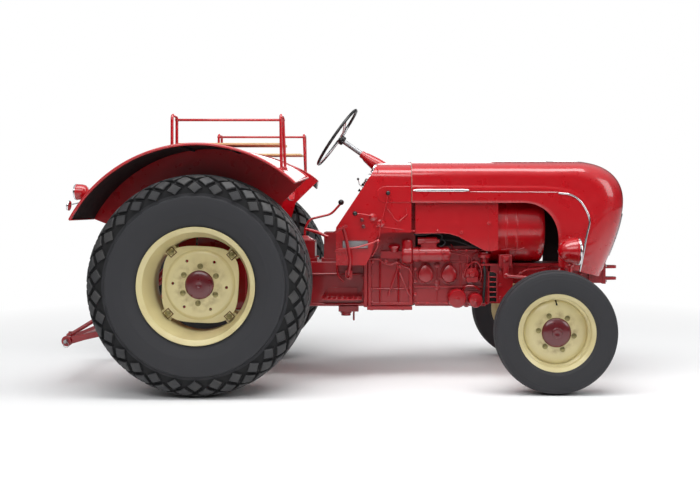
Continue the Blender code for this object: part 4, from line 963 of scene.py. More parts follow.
@dataclass
class RearWheel:
    """One rear wheel: lugged tyre, rim with clamp lugs and the dished, bolted centre."""

    side: Side
    track: float = 0.60
    radius: float = 0.625
    half_width: float = 0.213
    crown_rise: float = 0.1475
    widest: float = 0.4775
    tread_depth: float = 0.019
    rows: tuple[int, int] = (-5, 5)
    row_pitch: float = 0.049
    blocks: int = 30
    flange: float = 0.330
    bead: float = 0.3048
    well: float = 0.2748
    rim_half: float = 0.190
    disc_face: float = 0.080
    lug_angles: tuple[float, ...] = (43.0, 131.5, 222.0, 312.5)
    lug_face: float = 0.052
    hole_circle: float = 0.152
    hole_angles: tuple[float, ...] = (118.0, 57.0, -6.0, -66.0, -125.0, 177.0)
    nut_circle: float = 0.105
    nut_angles: tuple[float, ...] = (88.0, 28.0, -32.0, -95.0, -154.0, 148.0)
    cap_radius: float = 0.081

    @property
    def centre(self) -> Vector:
        """Middle of the wheel."""
        return Vector((0.0, self.side.value * self.track, self.radius))

    @property
    def outward(self) -> Vector:
        """Direction away from the tractor."""
        return Vector((0.0, self.side.value, 0.0))

    @property
    def body(self) -> str:
        """The frame body that carries the wheel."""
        return f"rear_wheel_{self.side.label}"

    def seen(self, angle: float) -> float:
        """An angle seen from the tractor's right, as seen from this wheel's outside."""
        return angle if self.side is Side.RIGHT else 180.0 - angle

    def spot(self, angle: float, radius: float, along: float) -> Vector:
        """A place on the wheel at an angle seen from the tractor's right."""
        return polar(self.centre, self.outward, self.seen(angle), radius, along)

    def section(self, arc_length: float, depth: float = 0.0) -> tuple[float, float]:
        """A point of the tyre's outer section.

        Args:
            arc_length: Distance from the crown along the section, negative inwards.
            depth: How far below the outer surface.

        Returns:
            Its radius and place across.
        """
        table = self.table()
        reach = abs(arc_length)
        index = min(range(len(table) - 1), key=lambda i: 0 if table[i][0] <= reach <= table[i + 1][0] else 1)
        (s0, y0, r0), (s1, y1, r1) = table[index], table[index + 1]
        t = (reach - s0) / (s1 - s0)
        y, r = y0 + (y1 - y0) * t, r0 + (r1 - r0) * t
        length = math.hypot(y1 - y0, r1 - r0)
        normal = ((r0 - r1) / length, (y1 - y0) / length)
        y, r = y - normal[0] * depth, r - normal[1] * depth
        return r, math.copysign(y, arc_length)

    def table(self) -> list[tuple[float, float, float]]:
        """Arc length, place across and radius down the tyre's outer half section."""
        if not hasattr(self, "_table"):
            points = []
            for i in range(181):
                a = math.pi / 2 * i / 120
                s, c = math.sin(a), math.cos(a)
                if i <= 120:
                    y = self.half_width * abs(s) ** 0.5 if i else 0.0
                    r = self.widest + self.crown_rise * abs(c) ** 0.5 if i < 120 else self.widest
                else:
                    t = (i - 120) / 60
                    y = self.half_width - (self.half_width - self.rim_half + 0.010) * t**2.2
                    r = self.widest - (self.widest - self.flange - 0.004) * t
                points.append((y, r))
            length = 0.0
            self._table = [(0.0, *points[0])]
            for a, b in zip(points, points[1:]):
                length += math.dist(a, b)
                self._table.append((length, *b))
        return self._table

    def carcass(self) -> list[tuple[float, float]]:
        """Closed section of the tyre below its blocks."""
        end = self.table()[-1][0]
        tread_end = (self.rows[1] + 0.9) * self.row_pitch
        outer = []
        for i in range(-64, 65):
            s = end * i / 64
            fade = smooth((abs(s) - tread_end) / 0.012)
            ring = 0.0
            for mark, size in ((0.300, 0.0016), (0.345, 0.0012), (0.392, 0.0022), (0.405, 0.0012)):
                ring += size * math.exp(-(((abs(s) - mark) / 0.0022) ** 2))
            outer.append(self.section(s, self.tread_depth * (1 - fade) - ring))
        seat = self.rim_half - 0.0152
        bead = [(self.flange + 0.003, seat), (self.bead + 0.0008, seat - 0.001), (self.bead + 0.0008, seat - 0.020)]
        inside = [(self.bead + 0.06, 0.168), (0.46, 0.188), (0.565, 0.166), (0.592, 0.09), (0.598, 0.0)]
        right = bead + inside
        left = [(r, -y) for r, y in reversed(right[:-1])]
        return outer + right + left

    def groove(self, shape: Shape) -> None:
        """Gives the carcass between the blocks its darkest rubber, as painted shade in the grooves.

        Args:
            shape: The tyre's shape.
        """
        limit = self.section((self.rows[1] + 0.72) * self.row_pitch, self.tread_depth)[0]
        for index, corners in enumerate(shape.faces):
            places = [shape.vertices[c] - self.centre for c in corners]
            if all(math.hypot(p.x, p.z) > limit for p in places):
                shape.coats[index] = 2

    def tread(self, shape: Shape) -> None:
        """Adds the rows of diamond blocks.

        Args:
            shape: The tyre's shape.
        """
        right, up, w = axes_of(self.outward)
        step = 2 * math.pi / self.blocks
        reach = self.row_pitch * 0.93
        turn = step * 0.375
        for row in range(self.rows[0], self.rows[1] + 1):
            middle = row * self.row_pitch
            shift = (row % 2) * step / 2
            size = 1.0 if abs(row) < self.rows[1] else 0.92
            for k in range(self.blocks):
                angle = k * step + shift + math.pi / 2 + step * 0.5
                levels = []
                for inset, depth in ((1.08, self.tread_depth + 0.004), (1.0, 0.0045), (0.86, 0.0)):
                    ring = []
                    for side in range(4):
                        for j in range(4):
                            t = j / 4
                            corner_s = (1 - t, -t, t - 1, t)[side]
                            corner_a = (t, 1 - t, -t, t - 1)[side]
                            s = middle + corner_s * reach * inset * size * 0.78
                            a = angle + corner_a * turn * inset * size
                            s = max(-0.290, min(0.290, s))
                            r, y = self.section(s, depth)
                            ring.append(self.centre + (right * math.cos(a) + up * math.sin(a)) * r + w * y)
                    levels.append(ring)
                r, y = self.section(max(-0.29, min(0.29, middle)), 0.0)
                top = self.centre + (right * math.cos(angle) + up * math.sin(angle)) * r + w * y
                points = [p for ring in levels for p in ring] + [top]
                n = 16
                faces = [tuple(range(n))[::-1]]
                # coat 2 is the painted groove shade on the block's foot; the rest of the block takes the worn tread
                # rubber
                shape.coat = 2
                for level in range(2):
                    a0 = level * n
                    faces += [(a0 + i, a0 + (i + 1) % n, a0 + n + (i + 1) % n, a0 + n + i) for i in range(n)]
                first = len(shape.faces)
                faces += [(2 * n + i, 2 * n + (i + 1) % n, 3 * n) for i in range(n)]
                shape.add(points, faces)
                shape.coats[first + 1 + n :] = [1] * (len(shape.coats) - first - 1 - n)

    def disc_radius(self, angle: float) -> float:
        """Outline radius of the centre at an angle seen from the tractor's right."""
        a = math.radians(angle - 42.25 + 45)
        s, c = abs(math.sin(a)), abs(math.cos(a))
        return 0.216 / (s**3.4 + c**3.4) ** (1 / 3.4)

    def centre_disc(self) -> Shape:
        """The dished and drilled centre with its square corners."""
        steps = 144
        stations = [(0.0, 0.0, 0.002), (0.0, 0.070, 0.002), (0.0, 0.084, 0.0), (0.0, 0.150, 0.0), (0.0, 0.178, -0.0008)]
        stations += [(0.0, 0.187, -0.0035), (0.0, 0.194, -0.0095), (0.0, 0.200, -0.0155), (0.6, 0.0, -0.017), (1.0, 0.0, -0.017)]
        thick = 0.011
        rings = []
        for share, fixed, drop in stations:
            ring = []
            for k in range(steps):
                angle = 360 * k / steps
                edge = self.disc_radius(angle)
                r = fixed if fixed or not share else 0.200 + (edge - 0.200) * share
                ring.append(self.spot(angle, max(r, 0.0004), self.disc_face + drop))
            rings.append(ring)
        back = []
        for (share, fixed, drop), ring in zip(stations, rings):
            back.append([p - self.outward * thick for p in ring])
        edge = rings[-1]
        mid = [p + (p - self.centre).normalized() * 0.0016 - self.outward * thick / 2 for p in edge]
        shape = Shape()
        shape.rings(rings + [mid] + back[::-1])
        holes = []
        for angle in self.hole_angles:
            drill = Shape()
            near = self.spot(angle, self.hole_circle, self.disc_face - 0.04)
            drill.rod(near, near + self.outward * 0.06, 0.0085, steps=28)
            holes.append(drill)
        cutter = Shape()
        for hole in holes:
            cutter.add(hole.vertices, hole.faces)
        return shape.carved(cutter)

    def build(self) -> None:
        """Builds and dresses the wheel."""
        name = self.side.label
        tyre = Shape()
        tyre.turned(self.carcass(), self.centre, self.outward, steps=128, closed=True)
        self.groove(tyre)
        self.tread(tyre)
        tyre.piece(f"rear_tyre_tread_{name}", self.body, [RUBBER, TREAD_TOP, GROOVE_SHADE], f"rear_tyre_{name}", sharp=34)

        rim = Shape()
        section = rim_section(self.flange, self.bead, self.well, self.rim_half, 0.052, 0.007)
        rim.turned(section, self.centre, self.outward, steps=128, closed=True)
        for angle in self.lug_angles:
            self.clamp_lug(rim, angle)
        rim.piece(f"rear_rim_detail_{name}", self.body, [REAR_CREAM, DARK_PAD_OUTLINE], f"rear_rim_{name}", sharp=32)

        disc = self.centre_disc()
        disc.turned([(0, 0.075), (0.088, 0.075), (0.088, 0.082), (0.085, 0.0835), (0, 0.0835)], self.centre, self.outward, 96)
        hub = [(0.0, self.disc_face - 0.01), (0.090, self.disc_face - 0.01), (0.085, -0.05), (0.078, -0.0796), (0, -0.0796)]
        disc.turned(hub, self.centre, self.outward, 64)
        disc.piece(
            f"rear_disc_detail_{name}", self.body, REAR_CREAM, f"rear_wheel_centre_{name}", sharp=30
        )

        nuts = Shape()
        for angle in self.nut_angles:
            wheel_nut(nuts, self.spot(angle, self.nut_circle, self.disc_face), self.outward, 0.0125, 0.009)
        for angle in self.lug_angles:
            wheel_nut(nuts, self.spot(angle, 0.245, self.lug_face + 0.0165), self.outward, 0.0135, 0.010)
        nuts.piece(f"rear_wheel_nuts_{name}", self.body, ZINC)

        cap = Shape()
        face = self.disc_face
        profile = [(0, face + 0.001), (self.cap_radius + 0.001, face + 0.001), (self.cap_radius + 0.001, face + 0.004)]
        profile += [(self.cap_radius - 0.001, face + 0.008), (self.cap_radius - 0.006, face + 0.012)]
        profile += [(self.cap_radius - 0.018, face + 0.017), (0.040, face + 0.0205), (0.018, face + 0.0215)]
        profile += [(0.014, face + 0.0212), (0.012, face + 0.0195), (0.006, face + 0.0188), (0, face + 0.0188)]
        cap.turned(profile, self.centre, self.outward, 96)
        cap.piece(f"rear_hub_cap_{name}", self.body, MAROON, sharp=50)

        valve = Shape()
        foot = self.spot(95.0, self.well - 0.006, 0.035)
        tip = self.spot(95.0, self.well - 0.040, 0.055)
        valve.rod(foot, tip, 0.0045, 0.0038, steps=16)
        valve.rod(tip, tip + (tip - foot).normalized() * 0.010, 0.0055, steps=16)
        valve.piece(f"rear_valve_{name}", self.body, BLACK)

    def clamp_lug(self, rim: Shape, angle: float) -> None:
        """Adds one clamp lug with its pad and square washer.

        Args:
            rim: The rim's shape.
            angle: Its angle seen from the tractor's right.
        """
        right, up, w = axes_of(self.outward)
        a = math.radians(self.seen(angle))
        radial = right * math.cos(a) + up * math.sin(a)
        across = w.cross(radial)

        def slab(inner: float, outer: float, half: float, low: float, high: float, taper: float = 1.0) -> None:
            """Adds a block that stands on the lug's axis."""
            rings = []
            for along, grow in ((low, 1.0), (high - 0.002, 1.0), (high, 0.93)):
                middle = (inner + outer) / 2
                reach = (outer - inner) / 2 * grow
                ring = []
                for r, s in ((-1, -1), (1, -1), (1, 1), (-1, 1)):
                    width = half * grow * (taper if r > 0 else 1.0)
                    ring.append(self.centre + radial * (middle + r * reach) + across * s * width + w * along)
                rings.append(ring)
            rim.rings(rings)

        slab(0.222, 0.272, 0.030, -0.020, self.lug_face, 1.25)
        # coat 1 gives each step of the washer a dark brown outline
        rim.coat = 1
        slab(0.2225, 0.2675, 0.0235, self.disc_face - 0.0175, self.disc_face - 0.0125)
        rim.coat = 0
        slab(0.2275, 0.2625, 0.0185, self.disc_face - 0.0130, self.disc_face - 0.0110)
        rim.coat = 1
        slab(0.2330, 0.2570, 0.0125, self.disc_face - 0.0112, self.disc_face - 0.0095)
        rim.coat = 0


@dataclass
class FrontWheel:
    """One front wheel: ribbed tyre, rim, domed disc, cap and nuts."""

    side: Side
    track: float = 0.625
    radius: float = 0.352
    half_width: float = 0.080
    flange: float = 0.2225
    bead: float = 0.2032
    well: float = 0.186
    rim_half: float = 0.063
    gap_radius: float = 0.178
    nut_circle: float = 0.102
    nut_angles: tuple[float, ...] = (114.0, 52.0, -11.0, -70.0, -129.0, 174.0)
    cap_radius: float = 0.083

    @property
    def centre(self) -> Vector:
        """Middle of the wheel."""
        return Vector((WHEELBASE, self.side.value * self.track, self.radius))

    @property
    def outward(self) -> Vector:
        """Direction away from the tractor."""
        return Vector((0.0, self.side.value, 0.0))

    @property
    def body(self) -> str:
        """The frame body that carries the wheel."""
        return f"front_wheel_{self.side.label}"

    def spot(self, angle: float, radius: float, along: float) -> Vector:
        """A place on the wheel at an angle seen from the tractor's right."""
        seen = angle if self.side is Side.RIGHT else 180.0 - angle
        return polar(self.centre, self.outward, seen, radius, along)

    def tyre_section(self) -> list[tuple[float, float]]:
        """Closed section with three tread ribs each side of the middle one and sidewall rings."""
        outer = []
        shoulder = 0.066
        for i in range(-44, 45):
            y = shoulder * i / 44
            r = self.radius - 0.010 * (abs(y) / shoulder) ** 2.6
            for groove in (-0.045, -0.016, 0.016, 0.045):
                if abs(y - groove) < 0.0046:
                    r -= 0.0085 * (1 - smooth((abs(y - groove) - 0.0028) / 0.0018))
            outer.append((r, y))
        side = []
        for i in range(1, 41):
            t = i / 40
            r = self.radius - 0.010 - (self.radius - 0.010 - self.flange - 0.003) * t
            bulge = math.sin(math.pi * min(1.0, t * 0.62 + 0.16)) ** 0.8
            y = 0.060 + (self.half_width - 0.060) * bulge
            y = max(y, 0.0655 if t < 0.1 else 0.0)
            y = y if t < 0.9 else y - (y - self.rim_half + 0.002) * (t - 0.9) / 0.1 * 0.6
            for mark, size in ((0.14, 0.0016), (0.30, 0.0010), (0.66, 0.0010), (0.74, 0.0014), (0.82, 0.0010)):
                y += size * math.exp(-(((t - mark) / 0.012) ** 2))
            side.append((r, min(y, self.half_width)))
        seat = self.rim_half - 0.0155
        bead = [(self.bead + 0.0008, seat), (self.bead + 0.0008, seat - 0.010), (0.262, 0.062), (0.325, 0.055)]
        right = side + bead
        left = [(r, -y) for r, y in reversed(right)]
        return outer + right + left

    def build(self) -> None:
        """Builds and dresses the wheel."""
        name = self.side.label
        tyre = Shape().turned(self.tyre_section(), self.centre, self.outward, steps=144, closed=True)
        tyre.piece(f"front_tyre_ribbed_{name}", self.body, RUBBER, f"front_tyre_{name}", sharp=40)

        rim = Shape()
        section = rim_section(self.flange, self.bead, self.well, self.rim_half, 0.010, 0.005)
        rim.turned(section, self.centre, self.outward, steps=128, closed=True)
        disc = [(0.182, -0.004), (0.1835, 0.002), (0.1815, 0.0065), (0.178, 0.0105), (0.168, 0.0165), (0.150, 0.0235)]
        disc += [(0.132, 0.0288), (0.112, 0.0316), (0.0950, 0.0325), (0.086, 0.034), (0.0, 0.036)]
        disc += [(0.0, 0.0262), (0.120, 0.0210), (0.150, 0.0150), (0.170, 0.004), (0.176, -0.006)]
        rim.turned(disc, self.centre, self.outward, steps=128)
        hub = [(0.0, 0.030), (0.060, 0.030), (0.060, 0.005), (0.053, -0.008), (0.050, -0.048), (0.047, -0.052)]
        hub += [(0.0228, -0.052), (0.0228, 0.020), (0.0, 0.020)]
        rim.turned(hub, self.centre, self.outward, steps=64)
        rim.piece(f"front_rim_detail_{name}", self.body, FRONT_CREAM, f"front_rim_{name}", sharp=32)

        nuts = Shape()
        for angle in self.nut_angles:
            wheel_nut(nuts, self.spot(angle, self.nut_circle, 0.0318), self.outward, 0.0118, 0.009)
        nuts.piece(f"front_wheel_nuts_{name}", self.body, ZINC)

        cap = Shape()
        profile = [(0, 0.033), (self.cap_radius, 0.033), (self.cap_radius + 0.001, 0.036), (self.cap_radius - 0.001, 0.040)]
        profile += [(self.cap_radius - 0.006, 0.0455), (0.066, 0.0515), (0.050, 0.0560), (0.034, 0.0585)]
        profile += [(0.030, 0.0590), (0.029, 0.0620), (0.026, 0.0640), (0.012, 0.0652), (0.010, 0.0640), (0, 0.0640)]
        cap.turned(profile, self.centre, self.outward, 96)
        cap.piece(f"front_hub_cap_{name}", self.body, MAROON, sharp=45)

        valve = Shape()
        foot = self.spot(90.0, 0.180, 0.014)
        tip = self.spot(90.0, 0.163, 0.036)
        valve.rod(foot, tip, 0.004, 0.0034, steps=16)
        valve.rod(tip, tip + (tip - foot).normalized() * 0.009, 0.005, steps=16)
        valve.piece(f"front_valve_{name}", self.body, BLACK)


# ---------------------------------------------------------------- bodywork


NOSE_UPPER = ((2.24, 1.3535), (2.44, 1.3535), (2.55, 1.26), (2.558, 1.12))
NOSE_LOWER = ((2.558, 1.12), (2.562, 0.98), (2.485, 0.79), (2.41, 0.625))
OPENING_CORNER = ((1.90, 1.09), (2.03, 1.085), (2.111, 0.99), (2.111, 0.86))
OPENING_FOOT = (2.109, 0.700)
CREASE = (
    (0.90, 1.193), (2.03, 1.188), (2.106, 1.179), (2.176, 1.166), (2.246, 1.132), (2.296, 1.082),
    (2.324, 1.019), (2.331, 0.963), (2.317, 0.879), (2.303, 0.815), (2.27, 0.70), (2.25, 0.60),
)


def corner_section(depth: float, half_width: float, steps: int, power: float = 2.6) -> list[tuple[float, float]]:
    """(down, across) points from the crown's middle round to the flat side."""
    turns = spread(0.0, math.pi / 2, steps + 1)
    exponent = 2 / power
    return [
        (depth * (1 - max(0.0, math.cos(a)) ** exponent), half_width * max(0.0, math.sin(a)) ** exponent)
        for a in turns
    ]


def band_share(x: float, z: float, soft: float = 0.007) -> float:
    """How far a place on the side lies inside the raised band: 0 outside, 1 inside."""
    best, sign = 9.0, 1.0
    for (x0, z0), (x1, z1) in zip(CREASE, CREASE[1:]):
        dx, dz = x1 - x0, z1 - z0
        t = max(0.0, min(1.0, ((x - x0) * dx + (z - z0) * dz) / (dx * dx + dz * dz)))
        off = math.hypot(x - x0 - dx * t, z - z0 - dz * t)
        if off < best:
            best = off
            sign = 1.0 if dx * (z - z0) - dz * (x - x0) < 0 else -1.0
    return smooth(0.5 + sign * best / soft)


@dataclass
class Skin:
    """A surface that trim is laid on."""

    shape: Shape

    def __post_init__(self) -> None:
        """Builds the search tree."""
        self.tree = BVHTree.FromPolygons(self.shape.vertices, self.shape.faces)

    def strip(self, target: Shape, path: Sequence[Place], width: float, height: float, out: Callable) -> None:
        """Lays a rounded strip along a path close to the surface.

        Args:
            target: Shape that gets the strip.
            path: Places near the surface.
            width: Width of the strip.
            height: How far it stands out.
            out: Gives the rough outward direction at a place.
        """
        path = [Vector(p) for p in path]
        rings = []
        for i, here in enumerate(path):
            run = (path[min(i + 1, len(path) - 1)] - path[max(i - 1, 0)]).normalized()
            rough = Vector(out(here)).normalized()
            across = run.cross(rough).normalized()
            hit = self.tree.ray_cast(here + rough * 0.08, -rough, 0.2)
            base = hit[0] if hit[0] else here
            normal = hit[1] if hit[0] and hit[1].dot(rough) > 0 else rough
            across = (across - normal * across.dot(normal)).normalized()
            ends = min(i, len(path) - 1 - i)
            grow = (0.35, 0.75, 0.93)[ends] if ends < 3 else 1.0
            ring = []
            for k in range(9):
                a = math.pi * k / 8
                lift = normal * (height * math.sin(a) ** 0.8 * (0.5 + 0.5 * grow))
                ring.append(base + across * (width / 2 * math.cos(a) * grow) + lift)
            ring.append(ring[-1] - normal * 0.002)
            ring.append(ring[0] - normal * 0.002)
            rings.append(ring)
        target.rings(rings)


def denser(points: Sequence[Place], pitch: float) -> list[Vector]:
    """The path through points with a place at least every pitch."""
    path = [Vector(p) for p in points]
    result = [path[0]]
    for a, b in zip(path, path[1:]):
        count = max(1, math.ceil((b - a).length / pitch))
        result += [a.lerp(b, i / count) for i in range(1, count + 1)]
    return result


@dataclass
class Bonnet:
    """The one-piece tilting bonnet with its trim and the slotted grille in its nose."""

    rear: float = 1.213
    top: float = 1.3535
    lower_edge: float = 1.09
    half_width: float = 0.269
    wall: float = 0.004
    corner: float = 0.11
    nose_corner: float = 0.26
    band_height: float = 0.0035
    grille_half: float = 0.12
    grille_low: float = 0.76
    grille_high: float = 1.02
    notch_half: float = 0.09
    notch_top: float = 0.73
    bar: tuple[float, float, float] = (1.219, 1.563, 1.166)
    line_end: float = 2.118
    line_height: float = 1.1575
    body: str = "bonnet"

    def stations(self) -> list[tuple]:
        """Crown point, lower edge point and corner depth of each row."""
        result = []
        first = (OPENING_CORNER[0][0], self.top)
        for i in range(56):
            x = self.rear + (first[0] - self.rear) * i / 56
            result.append(((x, self.top), (x, self.lower_edge), self.corner))
        for i in range(44):
            t = i / 44
            crown = (first[0] + (NOSE_UPPER[0][0] - first[0]) * t, self.top)
            result.append((crown, bezier(OPENING_CORNER, 0.35 * t), self.corner + 0.03 * t))
        for i in range(70):
            t = i / 70
            depth = self.corner + 0.03 + (self.nose_corner - self.corner - 0.03) * t
            result.append((bezier(NOSE_UPPER, t), bezier(OPENING_CORNER, 0.35 + 0.65 * t), depth))
        for i in range(61):
            t = i / 60
            a, b = OPENING_CORNER[3], OPENING_FOOT
            edge = (a[0] + (b[0] - a[0]) * t, a[1] + (b[1] - a[1]) * t)
            result.append((bezier(NOSE_LOWER, t), edge, self.nose_corner - 0.03 * t))
        return result

    def rows(self) -> Rows:
        """Outer surface, each row from the left edge over the crown to the right."""
        rows = []
        for crown, edge, depth in self.stations():
            reach = math.dist(crown, edge)
            half = [(down / reach, across) for down, across in corner_section(depth, self.half_width, 26)]
            start = depth / reach
            half += [(start + (1 - start) * k / 26, self.half_width) for k in range(1, 27)]
            row = []
            for share, across in [(s, a) for s, a in reversed(half)] + [(s, -a) for s, a in half[1:]]:
                x = crown[0] + (edge[0] - crown[0]) * share
                z = crown[1] + (edge[1] - crown[1]) * share
                if abs(across) > 0.15:
                    lift = self.band_height * band_share(x, z)
                    hem = 0.003 * smooth((share - 0.965) / 0.035)
                    across = math.copysign(abs(across) + lift - hem, across)
                row.append(Vector((x, across, z)))
            rows.append(row)
        return rows

    def nose_x(self, z: float) -> float:
        """How far ahead the nose's middle reaches at a height."""
        curve = [bezier(NOSE_LOWER, i / 40) for i in range(41)]
        for (x0, z0), (x1, z1) in zip(curve, curve[1:]):
            if z1 <= z <= z0:
                return x0 + (x1 - x0) * (z0 - z) / (z0 - z1)
        return curve[0][0]

    def crown(self) -> list[tuple[float, float]]:
        """The crown line from rear to foot."""
        return [s[0] for s in self.stations()]

    def build(self) -> None:
        """Builds and dresses the bonnet."""
        rows = self.rows()
        skin = Skin(Shape().shell(rows, self.wall))
        # the inner surface takes coat 1, the underseal colour darkened as painted shade
        panel = Shape().shell(rows, self.wall, inner_coat=1)
        opening = Shape().prism(
            [(-self.grille_half, self.grille_low), (self.grille_half, self.grille_low),
             (self.grille_half, self.grille_high), (-self.grille_half, self.grille_high)],
            2.30, 2.70, Facing.FORWARD,
        )
        notch = Shape().prism(
            [(-self.notch_half, 0.50), (self.notch_half, 0.50)]
            + arc((self.notch_half - 0.03, self.notch_top - 0.03), 0.03, 0, 90, 8)
            + arc((-self.notch_half + 0.03, self.notch_top - 0.03), 0.03, 90, 180, 8),
            2.30, 2.70, Facing.FORWARD,
        )
        panel = panel.carved(opening, notch)
        panel.piece("bonnet_panel", self.body, [RED_SHEET, UNDERSEAL_AND_SHADE], "bonnet", sharp=42)
        self.trim(skin)
        self.grille(skin)
        self.fittings()

    def trim(self, skin: Skin) -> None:
        """Adds the chrome trim.

        Args:
            skin: The bonnet's surface.
        """
        chrome = Shape()
        curve = flowing(
            [(2.112, 0, 1.152), (2.122, 0, 1.147), (2.183, 0, 1.139), (2.239, 0, 1.104), (2.278, 0, 1.047),
             (2.299, 0, 0.991), (2.297, 0, 0.949), (2.283, 0, 0.892), (2.265, 0, 0.794), (2.239, 0, 0.665)], 9,
        )
        for side in Side:
            s = side.value

            def out(_: Vector, s: int = s) -> Place:
                """Away from the machine's middle."""
                return (0, s, 0)

            bar = denser([(self.bar[0], s * 0.27, self.bar[2]), (self.bar[1], s * 0.27, self.bar[2])], 0.012)
            skin.strip(chrome, bar, 0.0165, 0.0055, out)
            line = denser([(self.bar[1] + 0.004, s * 0.27, self.line_height), (self.line_end, s * 0.27, 1.1545)], 0.02)
            skin.strip(chrome, line, 0.0030, 0.0022, out)
            skin.strip(chrome, [Vector((p.x, s * 0.27, p.z)) for p in curve], 0.0125, 0.0050, out)
        crown = [Vector((x, 0.0, z)) for x, z in self.crown()]
        centre = Vector((2.20, 0.0, 1.0))

        def up_and_ahead(p: Vector) -> Vector:
            """Up along the top, turning ahead round the nose."""
            return (p - centre) if p.x > centre.x and p.z < 1.36 else Vector((0, 0, 1))

        first = [p for p in crown if 1.575 < p.x < 2.10 and p.z > 1.35]
        second = [p for p in crown if p.x > 2.12 and p.z > 1.025]
        for part in (first, second):
            skin.strip(chrome, part, 0.014, 0.0055, up_and_ahead)
        chrome.piece("bonnet_chrome_trim", self.body, CHROME, sharp=50)

    def grille(self, skin: Skin) -> None:
        """Adds the slats, the mesh behind them and the chrome surround.

        Args:
            skin: The bonnet's surface.
        """
        def on_nose(y: float, z: float, back: float = 0.0) -> Vector:
            """Place on the nose at y and z, pushed back along the machine."""
            hit = skin.tree.ray_cast(Vector((2.75, y, z)), Vector((-1, 0, 0)), 0.8)
            x = hit[0].x if hit[0] else self.nose_x(z)
            return Vector((x - back, y, z))

        slats = Shape()
        count = 17
        for z in spread(self.grille_low + 0.010, self.grille_high - 0.010, count):
            rings = []
            for y in spread(-self.grille_half + 0.002, self.grille_half - 0.002, 15):
                p = on_nose(y, z, 0.010)
                rings.append([p + Vector((dx, 0, dz)) for dx, dz in ((-0.007, -0.004), (0.004, -0.0012), (0.005, 0.0012), (-0.006, 0.0005))])
            slats.rings(rings)
        for y in (-0.06, 0.0, 0.06):
            path = [on_nose(y, z, 0.019) for z in spread(self.grille_low, self.grille_high, 16)]
            slats.tube(path, 0.003, 8)
        slats.piece("grille_slats", self.body, CHROME, "grille")
        mesh = Shape()
        for y in spread(-self.grille_half, self.grille_half, 41):
            mesh.tube([on_nose(y, z, 0.026) for z in spread(self.grille_low, self.grille_high, 9)], 0.0009, 5)
        for z in spread(self.grille_low, self.grille_high, 44):
            mesh.tube([on_nose(y, z, 0.0265) for y in spread(-self.grille_half, self.grille_half, 9)], 0.0009, 5)
        mesh.piece("grille_mesh", self.body, DARK_MESH)
        surround = Shape()
        h, low, high = self.grille_half, self.grille_low, self.grille_high
        loop = denser([(0, -h, low), (0, h, low), (0, h, high), (0, -h, high), (0, -h, low)], 0.012)[:-1]
        surround.tube([on_nose(p.y, p.z, -0.001) for p in loop], 0.0045, 10, closed=True)
        surround.piece("grille_surround", self.body, CHROME)

    def fittings(self) -> None:
        """Adds the rear hem strip and the stays inside."""
        seam = Shape()
        path = [Vector((self.rear - 0.0012, y, z)) for y, z in self.rear_outline(0.0035)]
        seam.tube(path, 0.0022, 8)
        seam.piece("bonnet_seam_strip", self.body, SEAM)
        inside = Shape()
        for x in (1.45, 1.80, 2.10):
            path = [Vector((x, y, z)) for y, z in self.rear_outline(0.010)][4:-4]
            inside.tube(path, 0.0045, 8)
        # the hoops inside the bonnet take the underseal colour darkened as painted shade
        inside.piece("bonnet_inner_hoops", self.body, UNDERSEAL_AND_SHADE)

    def rear_outline(self, inset: float) -> list[tuple[float, float]]:
        """The bonnet's cross section at its rear, inset by a distance."""
        arc_points = corner_section(self.corner - inset, self.half_width - inset, 20)
        half = [(across, self.top - inset - down) for down, across in arc_points]
        half.append((self.half_width - inset, self.lower_edge + 0.004))
        return [(y, z) for y, z in reversed(half)] + [(-y, z) for y, z in half[1:]]


